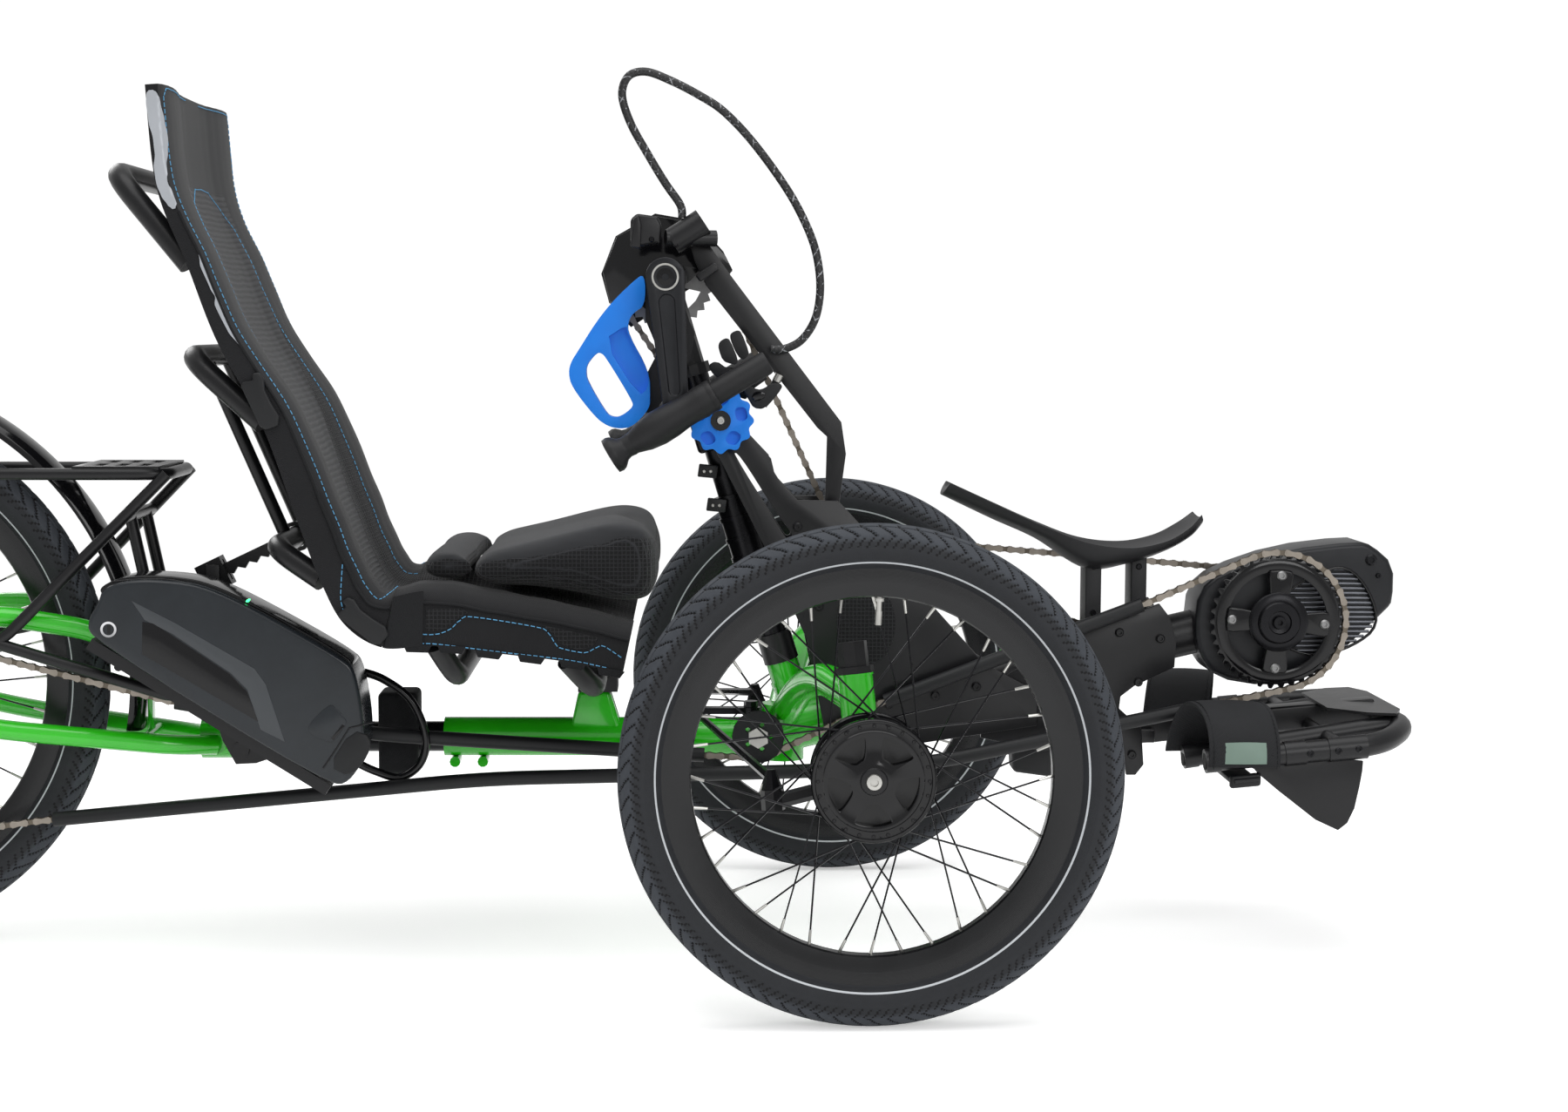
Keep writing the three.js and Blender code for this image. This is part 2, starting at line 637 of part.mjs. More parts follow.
const stay = {
  upperRadius: 11.5,
  lowerRadius: 11,
  sides: 6,
  dropoutY: 71,
  dropoutThickness: 6,
  lugRadius: 24,
  lugFrontX: -668,
  lugRearX: -722,
  startX: -667,
  frontY: 24,
  upper: [[0.077, 0.086], [0.253, 0.276], [0.356, 0.341], [0.582, 0.355], [0.841, 0.257], [0.977, 0.067]],
  upperY: [24, 44, 56, 72, 79, 80],
  lower: [[0.081, -0.035], [0.174, -0.047], [0.589, -0.065], [0.973, -0.021]],
  lowerY: [24, 46, 76, 80],
  axleRadius: 7,
};
// Stay tables give the share of the way from the lug to the rear axle, and a rise in wheel radii.
for (const name of ["upper", "lower"]) {
  stay[name] = stay[name].map(([share, rise]) => [
    THREE.MathUtils.lerp(stay.startX, rearAxle.x, share),
    THREE.MathUtils.lerp(innerTube.z, rearAxle.z, share) + rise * rearWheel.radius,
  ]);
}

const mudguard = { clearance: 42, thickness: 3, halfWidth: 31, edgeDrop: 11, crown: 16 };
mudguard.outer = rearWheel.radius + mudguard.clearance;
mudguard.from = THREE.MathUtils.degToRad(-10);
mudguard.to = THREE.MathUtils.degToRad(198);
const guardBracket = { x: rearAxle.x + mudguard.outer + 0.4, thickness: 5, halfWidth: 9 };
const dropoutSize = 13;
const dropoutShares = [[-1.4, -1.6], [1.6, -1.3], [2.6, 0], [1.8, 2.2], [-0.6, 2], [-1.6, 0.6]];

function stayTube(points, widths, side, radius) {
  const stops = points.map(([x, z], i) => at(x, side * widths[i], z));
  return bentTube(stops, radius, { sides: stay.sides, bend: 2 * stay.upperRadius, bendSteps: 1 });
}

// Height and width of a stay where it passes x.
function onStay(points, widths, x) {
  const after = Math.max(1, points.findIndex(([pointX]) => pointX <= x));
  const [[x0, z0], [x1, z1]] = [points[after - 1], points[after]];
  const share = (x - x0) / (x1 - x0);
  return [THREE.MathUtils.lerp(z0, z1, share), THREE.MathUtils.lerp(widths[after - 1], widths[after], share)];
}

function dropout(side, grow = 0) {
  const outline = fitted({ x: rearAxle.x, z: rearAxle.z, length: dropoutSize, height: dropoutSize }, dropoutShares);
  const half = stay.dropoutThickness / 2 + grow;
  return plate(outline, side * stay.dropoutY - half, side * stay.dropoutY + half);
}

function rearFrame() {
  const tubes = [];
  for (const side of [-1, 1]) {
    tubes.push(stayTube(stay.upper, stay.upperY, side, stay.upperRadius));
    tubes.push(stayTube(stay.lower, stay.lowerY, side, stay.lowerRadius));
    tubes.push(dropout(side));
  }
  const lug = rod(at(stay.lugRearX, 0, innerTube.z), at(stay.lugFrontX, 0, innerTube.z), stay.lugRadius, innerTube.sides);
  const boreStart = at(innerTube.rearX - gap, 0, innerTube.z);
  const boreEnd = at(stay.lugFrontX + overrun, 0, innerTube.z);
  const bore = rod(boreStart, boreEnd, innerTube.radius + gap, innerTube.sides);
  const bridges = [[stay.upper[0], stay.upperRadius], [stay.lower[0], stay.lowerRadius]].map(([[x, z], radius]) =>
    rod(at(x, -stay.frontY, z), at(x, stay.frontY, z), radius, stay.sides));
  const [[webX, webTop], [, webBottom]] = [stay.upper[0], stay.lower[0]];
  const web = block(webX, 0, (webTop + webBottom) / 2, stay.upperRadius, stay.frontY, webTop - webBottom);
  const g = guardBracket;
  const bracketX = g.x + g.thickness / 2;
  const [[topZ, topY], [bottomZ, bottomY]] = [onStay(stay.upper, stay.upperY, bracketX), onStay(stay.lower, stay.lowerY, bracketX)];
  const bracket = block(bracketX, 0, (topZ + bottomZ) / 2, g.thickness, 2 * g.halfWidth, topZ - bottomZ);
  const cross = [[topZ, topY], [bottomZ, bottomY]].map(([z, y]) =>
    rod(at(bracketX, -y, z), at(bracketX, y, z), g.thickness, 6));
  const axle = pin(rearAxle.x, rearAxle.z, -stay.dropoutY - stay.axleRadius, stay.dropoutY + stay.axleRadius, stay.axleRadius, 8);
  piece("rear_frame", cut(join(tubes, lug, bridges, web, bracket, cross, axle), bore), finish.green);
}

function mudguardPiece() {
  const { outer, thickness, halfWidth, edgeDrop, crown } = mudguard;
  const top = [[outer - edgeDrop, halfWidth], [outer, crown], [outer, -crown], [outer - edgeDrop, -halfWidth]];
  const under = top.map(([r, w]) => [r - thickness, w]).reverse();
  piece("mudguard", sweptRing([...top, ...under], rearAxle.x, rearAxle.z, mudguard.from, mudguard.to, 22), finish.glossBlack);
}

// Rear carrier

const rack = {
  radius: 6.5,
  halfWidth: 70,
  topZ: rearAxle.z + 229,
  frontX: -744,
  rearX: rearAxle.x - 278,
  rearLegX: rearAxle.x - 206,
  legFootX: rearAxle.x + 202,
  legFootZ: rearAxle.z + 47,
  legFootY: 92,
  lowRailX: [-737, -706],
  lowRailZ: [285, 296],
  lowRailY: [71, 56],
  footY: 88,
  footX: rearAxle.x - 4,
  footZ: rearAxle.z + 12,
  strutTopX: -790,
  strutTopZ: rearAxle.z + 182,
  strutFootX: -756,
  strutFootRise: 9.5, // above the stay
  strutFootY: 40,
  plateFrontX: -752,
  plateRearX: -846,
  plateThickness: 4,
};
rack.strutFootZ = onStay(stay.upper, stay.upperY, rack.strutFootX)[0] + rack.strutFootRise;

function rackPiece() {
  const r = rack;
  const tube = { sides: 6, bend: 3 * r.radius, bendSteps: 1 };
  const solids = [];
  for (const side of [-1, 1]) {
    const y = side * r.halfWidth;
    const legFoot = at(r.legFootX, side * r.legFootY, r.legFootZ);
    const foot = at(r.footX, side * r.footY, r.footZ);
    solids.push(bentTube([at(r.frontX, y, r.topZ), legFoot, foot], r.radius, tube));
    solids.push(bentTube([legFoot, at(r.lowRailX[0], side * r.lowRailY[0], r.lowRailZ[0]),
      at(r.lowRailX[1], side * r.lowRailY[1], r.lowRailZ[1])], r.radius, tube));
    solids.push(rod(at(r.rearLegX, y, r.topZ), foot, r.radius, 6));
    const strutY = side * r.strutFootY;
    solids.push(rod(at(r.strutTopX, strutY, r.strutTopZ), at(r.strutFootX, strutY, r.strutFootZ), r.radius, 6));
  }
  const loop = [at(r.frontX, 0, r.topZ), at(r.frontX, -r.halfWidth, r.topZ), at(r.rearX, -r.halfWidth, r.topZ), at(r.rearX, 0, r.topZ)];
  const otherLoop = loop.map((p) => at(p.x, -p.y, p.z));
  solids.push(bentTube(loop, r.radius, tube), bentTube(otherLoop, r.radius, tube));
  solids.push(rod(at(r.lowRailX[1], -r.lowRailY[1], r.lowRailZ[1]), at(r.lowRailX[1], r.lowRailY[1], r.lowRailZ[1]), r.radius, 6));
  solids.push(rod(at(r.strutTopX, -r.halfWidth - r.radius, r.strutTopZ), at(r.strutTopX, r.halfWidth + r.radius, r.strutTopZ), r.radius, 6));
  const plateX = (r.plateFrontX + r.plateRearX) / 2;
  solids.push(block(plateX, 0, r.topZ + r.radius, r.plateFrontX - r.plateRearX, 2 * r.halfWidth, r.plateThickness));
  solids.push(strutFork());
  const stayRoom = [-1, 1].map((side) => stayTube(stay.upper, stay.upperY, side, stay.upperRadius + gap));
  const tips = [-1, 1].map((side) => dropout(side, gap));
  piece("rear_rack", cut(join(solids), stayRoom, tips), finish.satinBlack);
}

// Battery

const battery = { x: -815, z: 200, length: 291, height: 223, yNear: -148, yFar: -66, bevel: 12 };
const batteryShares = [[0.01, 0.71], [0, 0.8], [0.04, 0.88], [0.06, 0.96], [0.17, 1], [0.33, 0.99], [0.44, 0.96],
  [0.6, 0.86], [0.93, 0.62], [0.97, 0.55], [1, 0.29], [0.99, 0.13], [0.94, 0.02], [0.87, 0]];
const batteryRail = { thickness: 13, yNear: -136, yFar: -78, lift: 0.3 };
const batteryLock = { share: [0.08, 0.76], radius: 9, depth: 8, proud: 2, bladeHalf: 1.5 };

function batteryCase() {
  const { x, z, length, height, bevel, yNear, yFar } = battery;
  const outline = fitted({ x, z, length, height }, batteryShares);
  const shape = new THREE.Shape(outline.map(([a, b]) => new THREE.Vector2(a, b)));
  const geometry = new THREE.ExtrudeGeometry(shape, {
    depth: yFar - yNear - 2 * bevel,
    bevelThickness: bevel,
    bevelSize: bevel,
    bevelOffset: -bevel,
    bevelSegments: 2,
  });
  geometry.rotateX(Math.PI / 2);
  geometry.translate(0, yFar - bevel, 0);
  const lock = lockPlace();
  const bore = pin(lock.x, lock.z, yNear - overrun, yNear + batteryLock.depth, boreFor(batteryLock.radius, 12));
  piece("battery_case", cut(toSolid(geometry), bore), finish.satinBlack);
}

function lockPlace() {
  const [[x, z]] = fitted(battery, [batteryLock.share]);
  return { x, z };
}

function batteryLockPiece() {
  const { x, z } = lockPlace();
  const face = battery.yNear - batteryLock.proud;
  const barrel = pin(x, z, face, battery.yNear + batteryLock.depth - gap, batteryLock.radius);
  const slot = block(x, face, z, 2 * batteryLock.bladeHalf, 2 * batteryLock.proud, batteryLock.radius);
  piece("battery_lock", cut(barrel, slot), finish.steel);
}

// The rail follows the battery's straight underside and stands off the rear frame on two spacers.
function batteryMount() {
  const [rear, front] = fitted(battery, [batteryShares[0], batteryShares[batteryShares.length - 1]]);
  const along = new THREE.Vector2(front[0] - rear[0], front[1] - rear[1]).normalize();
  const shift = ([x, z], distance) => [x + along.y * distance, z - along.x * distance];
  const { lift, thickness, yNear, yFar } = batteryRail;
  const outline = [shift(rear, lift), shift(front, lift), shift(front, thickness), shift(rear, thickness)];
  const rail = plate(outline, yNear, yFar);
  const { x, z, size, boltRadius, head, seatY, rearX, rearZ, rearRadius } = batteryLug;
  const lug = plate(fitted({ x, z, length: size, height: size }, batteryLugShares), yFar - batteryLug.thickness, yFar);
  const bolt = pin(x, z, yFar - batteryLug.thickness - head, seatY, boltRadius, 12);
  const rearSpacer = pin(rearX, rearZ, yNear / 1.2, -stay.upperY[1], rearRadius, 10);
  const stayRoom = stayTube(stay.upper, stay.upperY, -1, stay.upperRadius + gap);
  piece("battery_mount", cut(join(rail, lug, bolt, rearSpacer), stayRoom), finish.satinBlack);
}

const batteryLug = { frontShare: 0.512, rearAhead: 25, z: 230, size: 100, thickness: 5, boltRadius: 9, head: 3, seatY: -24.6, rearZ: 325, rearRadius: 5 };
batteryLug.x = battery.x + batteryLug.frontShare * battery.length;
batteryLug.rearX = battery.x + batteryLug.rearAhead;
const batteryLugShares = [[-0.3, 0.44], [-0.2, 0.1], [-0.06, -0.16], [0.16, -0.15], [0.48, -0.04], [0.42, 0.05], [0, 0.31]];

const cableBox = { x: -503, z: 238, length: 44, width: 52, height: 92, boreDrop: 7 };

function cableBoxPiece() {
  const body = block(cableBox.x, 0, cableBox.z, cableBox.length, cableBox.width, cableBox.height);
  const bore = rod(at(cableBox.x - cableBox.length, 0, innerTube.z), at(cableBox.x + cableBox.length, 0, innerTube.z), innerTube.radius + gap, innerTube.sides);
  piece("cable_box", cut(body, bore), finish.satinBlack);
}

// Seat: frame, covers, cushion, clamp and reclining strut

const seat = {
  halfWidth: 195,
  railY: 180,
  railRadius: 6,
  railInset: 6.2,
  loopRadius: 12,
  loopY: 150,
  weldInset: 1,
  weldY: 177,
  stayY: 60,
  stayRadius: 7,
  wall: 4,
  pivotX: -281,
  pivotZ: 306,
  pivotRadius: 12,
};
const seatFrameShares = { x: -740, z: 327, length: 491, height: 607 };
const seatEdgeShares = [[0.01, 1], [0.03, 0.83], [0.09, 0.7], [0.15, 0.57], [0.24, 0.43], [0.31, 0.27], [0.36, 0.16],
  [0.41, 0.085], [0.49, 0.045], [0.6, 0.048], [0.73, 0.035], [0.88, 0.02], [1, 0]];
const seatBackStations = 8; // the rest carry the base
const seatDepths = [20, 21, 25, 29, 38, 44, 46, 50, 62, 66, 62, 56, 52];

function seatPath() {
  return fitted(seatFrameShares, seatEdgeShares).map(([x, z]) => at(x, 0, z));
}

// The outward normal points to the rider.
function seatNormal(points, i) {
  const before = points[Math.max(0, i - 1)];
  const after = points[Math.min(points.length - 1, i + 1)];
  const along = after.clone().sub(before).normalize();
  return at(-along.z, 0, along.x);
}

// Padded bolsters stand along both sides of a lower middle channel, and side walls hide the rails.
const coverShares = [
  [1, 0], [1, 0.72], [0.86, 0.98], [0.62, 0.94], [0.36, 0.62], [0, 0.55], [-0.36, 0.62], [-0.62, 0.94], [-0.86, 0.98], [-1, 0.72], [-1, 0],
];

function coverSolid(from, to) {
  const points = seatPath();
  const rings = [];
  for (let i = from; i <= to; i += 1) {
    const normal = seatNormal(points, i);
    const depth = seatDepths[i];
    const skin = coverShares.map(([across, up]) => [across * seat.halfWidth, up * depth]);
    const railTop = seat.railInset + seat.railRadius + gap;
    const inner = seat.halfWidth - seat.wall;
    const beside = seat.railY - seat.railRadius - seat.wall;
    const middle = depth * coverShares[5][1] - seat.wall;
    const under = [[-inner, 0], [-inner, railTop], [-beside, railTop], [0, Math.min(middle, railTop)], [beside, railTop], [inner, railTop], [inner, 0]];
    rings.push([...skin, ...under].map(([y, n]) => points[i].clone().addScaledVector(normal, n).setY(y)));
  }
  return capped(rings);
}

// A loft whose end faces are triangulated, for sections that are not convex.
function capped(rings) {
  const count = rings[0].length;
  const points = rings.flat();
  const index = [];
  for (let i = 0; i < rings.length - 1; i += 1) {
    const [a, b] = [i * count, (i + 1) * count];
    for (let j = 0; j < count; j += 1) {
      const k = (j + 1) % count;
      index.push(a + j, b + j, b + k, a + j, b + k, a + k);
    }
  }
  for (const [ring, flip] of [[0, true], [rings.length - 1, false]]) {
    const origin = rings[ring][0];
    const across = at(0, 1, 0);
    const up = rings[ring][2].clone().sub(origin).setY(0).normalize();
    const flat = rings[ring].map((p) => {
      const offset = p.clone().sub(origin);
      return new THREE.Vector2(offset.dot(across), offset.dot(up));
    });
    for (const [p, q, r] of THREE.ShapeUtils.triangulateShape(flat, [])) {
      const face = [p, q, r].map((n) => n + ring * count);
      if (flip) face.reverse();
      index.push(...face);
    }
  }
  const geometry = new THREE.BufferGeometry().setFromPoints(points);
  geometry.setIndex(index);
  return toSolid(orientedCaps(geometry, rings, count));
}

// The flat caps are turned to agree with the skin where the projection mirrored them.
function orientedCaps(geometry, rings, count) {
  const index = Array.from(geometry.index.array);
  const sideEnd = (rings.length - 1) * count * 6;
  const edges = new Set();
  for (let i = 0; i < sideEnd; i += 3) {
    for (let j = 0; j < 3; j += 1) edges.add(`${index[i + j]}_${index[i + ((j + 1) % 3)]}`);
  }
  const flips = [];
  for (const ring of [0, rings.length - 1]) {
    const low = ring * count;
    let clash = false;
    for (let i = sideEnd; i < index.length; i += 3) {
      if (index[i] < low || index[i] >= low + count) continue;
      for (let j = 0; j < 3; j += 1) if (edges.has(`${index[i + j]}_${index[i + ((j + 1) % 3)]}`)) clash = true;
    }
    if (clash) flips.push(low);
  }
  for (let i = sideEnd; i < index.length; i += 3) {
    const low = flips.find((start) => index[i] >= start && index[i] < start + count);
    if (low !== undefined) [index[i + 1], index[i + 2]] = [index[i + 2], index[i + 1]];
  }
  geometry.setIndex(index);
  return geometry;
}

function railPoint(points, i, side) {
  return points[i].clone().addScaledVector(seatNormal(points, i), seat.railInset).setY(side * seat.railY);
}

// The cross loops are welded to the backs of the side rails.
function loopPoint(points, i, side) {
  return points[i].clone().addScaledVector(seatNormal(points, i), seat.weldInset).setY(side * seat.weldY);
}

const seatLoops = {
  top: { x: -777, z: 848, share: 2 },
  middle: { x: -702, z: 657, share: 4 },
  bottom: { x: -616, z: 456, share: 6 },
};

function seatFramePiece() {
  const points = seatPath();
  const solids = [];
  const first = 1;
  for (const side of [-1, 1]) {
    const rail = [];
    for (let i = first; i < points.length; i += 1) rail.push(railPoint(points, i, side));
    solids.push(bentTube(rail, seat.railRadius, { sides: 6, bend: 0 }));
  }
  const loopBack = [[seatLoops.top, 2], [seatLoops.middle, 4], [seatLoops.bottom, 6]];
  for (const [place, station] of loopBack) {
    const corner = (side) => at(place.x, side * seat.loopY, place.z);
    solids.push(bentTube([loopPoint(points, station, -1), corner(-1), corner(1), loopPoint(points, station, 1)], seat.loopRadius, { sides: 6, bendSteps: 1 }));
  }
  const rearDrop = (side) => at(-426, side * seat.loopY, 319);
  solids.push(bentTube([loopPoint(points, 9, -1), rearDrop(-1), rearDrop(1), loopPoint(points, 9, 1)], seat.loopRadius, { sides: 6, bendSteps: 1 }));
  const frontDrop = (side) => at(seat.pivotX, side * seat.loopY, seat.pivotZ);
  solids.push(bentTube([loopPoint(points, 11, -1), frontDrop(-1), frontDrop(1), loopPoint(points, 11, 1)], seat.pivotRadius, { sides: 8, bendSteps: 1 }));
  for (const side of [-1, 1]) {
    const from = at(seatLoops.middle.x, side * seat.stayY, seatLoops.middle.z);
    const to = at(seatLoops.bottom.x, side * seat.stayY, seatLoops.bottom.z);
    solids.push(rod(from, to, seat.stayRadius, 6));
  }
  piece("seat_frame", join(solids), finish.satinBlack);
}

// The cushion starts on the seat's base and ends clear of the steering column.
const cushion = { rearShare: 0.554, frontX: -206, lift: 32.7, height: 100, sideMargin: 23 };
cushion.x = seatFrameShares.x + cushion.rearShare * seatFrameShares.length;
cushion.z = seatFrameShares.z + seatEdgeShares[seatBackStations][1] * seatFrameShares.height + cushion.lift;
cushion.length = cushion.frontX - cushion.x;
cushion.halfWidth = seat.halfWidth - cushion.sideMargin;
const cushionShares = [[0, 0.55], [0.08, 0.66], [0.24, 0.6], [0.49, 0.75], [0.69, 0.9], [0.86, 1], [0.95, 0.96],
  [1, 0.8], [1, 0.1], [0.88, 0.09], [0.73, 0.18], [0.49, 0.29], [0.29, 0.3], [0.05, 0.34]];

// The cushion is a wedge with drawn-in sides and a channel between the thighs.
function cushionPiece() {
  const rows = [[-1, 0.82], [-0.93, 0.97], [-0.5, 1], [0, 0.94], [0.5, 1], [0.93, 0.97], [1, 0.82]];
  const middle = [cushion.x + cushion.length / 2, cushion.z + cushion.height / 2];
  const rings = rows.map(([across, grow]) =>
    fitted(cushion, cushionShares).map(([x, z]) =>
      at(middle[0] + (x - middle[0]) * Math.min(1, grow + 0.03), across * cushion.halfWidth, middle[1] + (z - middle[1]) * grow)));
  const body = loft(rings);
  piece("seat_cushion", body, finish.fabric);
}

const clampBlock = { length: 44, halfWidth: 26, topZ: 322 };

function seatMount() {
  const centreZ = (clampBlock.topZ + pylon.topZ + gap) / 2;
  const body = block(seat.pivotX, 0, centreZ, clampBlock.length, 2 * clampBlock.halfWidth, clampBlock.topZ - pylon.topZ - gap);
  const bore = pin(seat.pivotX, seat.pivotZ, -clampBlock.halfWidth - overrun, clampBlock.halfWidth + overrun, boreFor(seat.pivotRadius, 10), 10);
  piece("seat_mount", cut(body, bore), finish.satinBlack);
}

const strut = { x: -706, z: 413, halfThickness: 3, height: 15, teeth: 9, tailShare: 0.35, slotClear: 5 };
const strutClamp = { length: 30, width: 28, height: 34, postRadius: 7 };

function strutEnds() {
  const seatEnd = at(seatLoops.bottom.x, 0, seatLoops.bottom.z);
  const clampEnd = at(strut.x, 0, strut.z);
  return { seatEnd, clampEnd, along: clampEnd.clone().sub(seatEnd).normalize() };
}

// A flat bar with saw teeth on its lower edge, hinged on the seat's lowest cross loop.
function strutPiece() {
  const { seatEnd, clampEnd, along } = strutEnds();
  const down = at(-along.z, 0, along.x);
  const length = seatEnd.distanceTo(clampEnd) + strutClamp.length * (1 + strut.tailShare);
  const eye = boreFor(seat.loopRadius, 10);
  const start = eye;
  const outline = [[start, -strut.height / 2], [length, -strut.height / 2], [length, strut.height / 6]];
  const pitch = (length - start) / strut.teeth;
  for (let i = strut.teeth; i > 0; i -= 1) {
    outline.push([start + pitch * i - pitch / 4, strut.height / 2], [start + pitch * (i - 1) + pitch / 4, strut.height / 6]);
  }
  const place = ([a, b]) => {
    const p = seatEnd.clone().addScaledVector(along, a).addScaledVector(down, b);
    return [p.x, p.z];
  };
  const bar = plate(outline.map(place), -strut.halfThickness, strut.halfThickness);
  const collar = pin(seatEnd.x, seatEnd.z, -strut.height / 2, strut.height / 2, eye + strut.halfThickness * 1.5, 10);
  const bore = pin(seatEnd.x, seatEnd.z, -strut.height, strut.height, eye, 10);
  piece("recline_strut", cut(join(bar, collar), bore), finish.satinBlack);
}

function strutClampPiece() {
  const { clampEnd, along } = strutEnds();
  const turn = new THREE.Quaternion().setFromUnitVectors(at(1, 0, 0), along);
  const scale = at(1, 1, 1);
  const box = placed(new THREE.BoxGeometry(strutClamp.length, strutClamp.width, strutClamp.height), new THREE.Matrix4().compose(clampEnd, turn, scale));
  const slot = placed(new THREE.BoxGeometry(strutClamp.length * 2, 2 * strut.halfThickness + 4 * gap, strut.height + 2 * strut.slotClear),
    new THREE.Matrix4().compose(clampEnd, turn, scale));
  piece("strut_clamp", cut(box, slot), finish.satinBlack);
}

// The fork that carries the strut clamp stands on the carrier's front cross tube.
function strutFork() {
  const halfYoke = strutClamp.width / 2 + gap;
  const height = strutClamp.height + strut.height;
  const cheeks = [-1, 1].map((side) => {
    const y = side * (halfYoke + strut.halfThickness / 2);
    return block(strut.x, y, strut.z - strutClamp.height / 2, strutClamp.length / 2, strut.halfThickness, height);
  });
  const footZ = strut.z - strutClamp.height - strut.slotClear;
  const width = 2 * halfYoke + 2 * strut.halfThickness;
  const bridge = block(strut.x, 0, footZ, strutClamp.length / 2, width, strut.halfThickness * 2);
  const post = rod(at(strut.x, 0, footZ), at(rack.lowRailX[1], 0, rack.lowRailZ[1]), strutClamp.postRadius, 8);
  return join(cheeks, bridge, post);
}

// Front boom, its brackets and the tower

const towerPlate = { x: -159, z: 213, length: 367, height: 387, inner: 38.3, thickness: 5 };
const towerShares = [[-0.01, 0.945], [-0.005, 0.985], [0.02, 1.01], [0.05, 1.015], [0.085, 0.99], [0.12, 0.93], [0.19, 0.86], [0.2, 0.82], [0.22, 0.79], [0.27, 0.74],
  [0.39, 0.74], [0.45, 0.68], [0.64, 0.48], [0.84, 0.27], [1, 0.19], [1, 0.09], [0.37, 0], [0.35, 0.1], [0.3, 0.34], [0.17, 0.61], [0.03, 0.87]];
const towerSlot = { x: -132, z: 453, length: 70, height: 99 };
const slotShares = [[0, 0.99], [0.1, 1], [0.71, 0.31], [1, 0.05], [0.9, 0], [0.82, 0.08]];
const bracketPlate = { x: 214, z: 191, length: 150, height: 193, outer: 38, thickness: 5, tailX: 146 };
const bracketShares = [[0.29, 0.84], [0.87, 1], [0.95, 0.92], [1, 0.78], [0.99, 0.63], [0.69, 0.52], [0.59, 0.46],
  [0.58, 0.39], [0.75, 0.27], [0.77, 0.06], [0.71, 0], [0.64, 0], [0.61, 0.2], [0.01, 0.14]];

function towerPlatePiece(side, name) {
  const outline = fitted(towerPlate, towerShares);
  const ends = [side * towerPlate.inner, side * (towerPlate.inner + towerPlate.thickness)].sort((a, b) => a - b);
  const hole = side > 0 ? circle(jack.x, jack.z, boreFor(jackshaft.radius, 10), 10) : circle(knob.x, knob.z, boreFor(knob.stemRadius, 8), 8);
  const holes = [fitted(towerSlot, slotShares), hole];
  piece(`tower_plate_${name}`, plate(outline, ends[0], ends[1], holes), finish.satinBlack);
}

// The boom carries collars for the tower plates and two welded bracket plates at its front.
function frontBoom() {
  const tube = rod(onBoom(boom.rearX + gap), onBoom(boom.frontX), boom.radius, 12);
  const collars = [0.16, 0.46].map((share) => {
    const middle = onBoom(towerPlate.x + towerPlate.length * (0.35 + share));
    return block(middle.x, 0, middle.z, boom.radius, 2 * (towerPlate.inner - gap), 1.6 * boom.radius);
  });
  const tail = [[bracketPlate.tailX, bracketPlate.z + bracketPlate.height * 0.5], [bracketPlate.tailX, bracketPlate.z + bracketPlate.height * 0.22]];
  const outline = [tail[0], ...fitted(bracketPlate, bracketShares), tail[1]];
  const sides = [-1, 1].map((side) => {
    const ends = [side * bracketPlate.outer, side * (bracketPlate.outer - bracketPlate.thickness)].sort((a, b) => a - b);
    return plate(outline, ends[0], ends[1]);
  });
  const spacer = onBoom(bracketPlate.x + bracketPlate.length * 0.6);
  const spacerFront = block(spacer.x, 0, spacer.z, 2 * boom.radius, 2 * (bracketPlate.outer - bracketPlate.thickness / 2), 1.4 * boom.radius);
  const beamSeat = block(footBeam.rearX + footBeam.size, 0, footBeam.rearZ, footBeam.size, 2 * (bracketPlate.outer - bracketPlate.thickness / 2), footBeam.size / 2);
  const body = join(tube, collars, sides, spacerFront, beamSeat);
  piece("front_boom", cut(body, footBeamRoom()), finish.satinBlack);
}

// Steering column and the clamp that the blue knob tightens

const columnTube = { radius: 15, wall: 3, bottom: 464, boss: 24, top: 112, sleeveFrom: 320, sleeveTo: 250, clampFrom: 196, clampTo: 140 };
columnTube.collarRadius = 20;
const knob = { x: -145, z: 588, radius: 37, yFar: -47, yNear: -64, scallops: 12, scallop: 4, boss: 12, pocket: 7, stemRadius: 6 };

function columnPiece() {
  const c = columnTube;
  const tube = rod(onColumn(c.bottom - gap), onColumn(c.top), c.radius, 12);
  const sleeve = rod(onColumn(c.sleeveFrom), onColumn(c.sleeveTo), c.collarRadius, 12);
  const nearY = towerPlate.inner - gap;
  const box = new THREE.BoxGeometry(2 * c.collarRadius + c.wall, nearY + c.collarRadius, c.clampFrom - c.clampTo);
  box.translate(0, (c.collarRadius - nearY) / 2, 0);
  const turn = new THREE.Quaternion().setFromUnitVectors(at(0, 0, 1), columnUp);
  const clamp = placed(box, new THREE.Matrix4().compose(onColumn((c.clampFrom + c.clampTo) / 2), turn, at(1, 1, 1)));
  const spacer = pin(knob.x, knob.z, 0, nearY, knob.stemRadius * 1.5, 8);
  const bore = pin(knob.x, knob.z, -nearY - overrun, -c.collarRadius, boreFor(knob.stemRadius, 8), 8);
  piece("steering_column", cut(join(tube, sleeve, clamp, spacer), bore), finish.satinBlack);
}

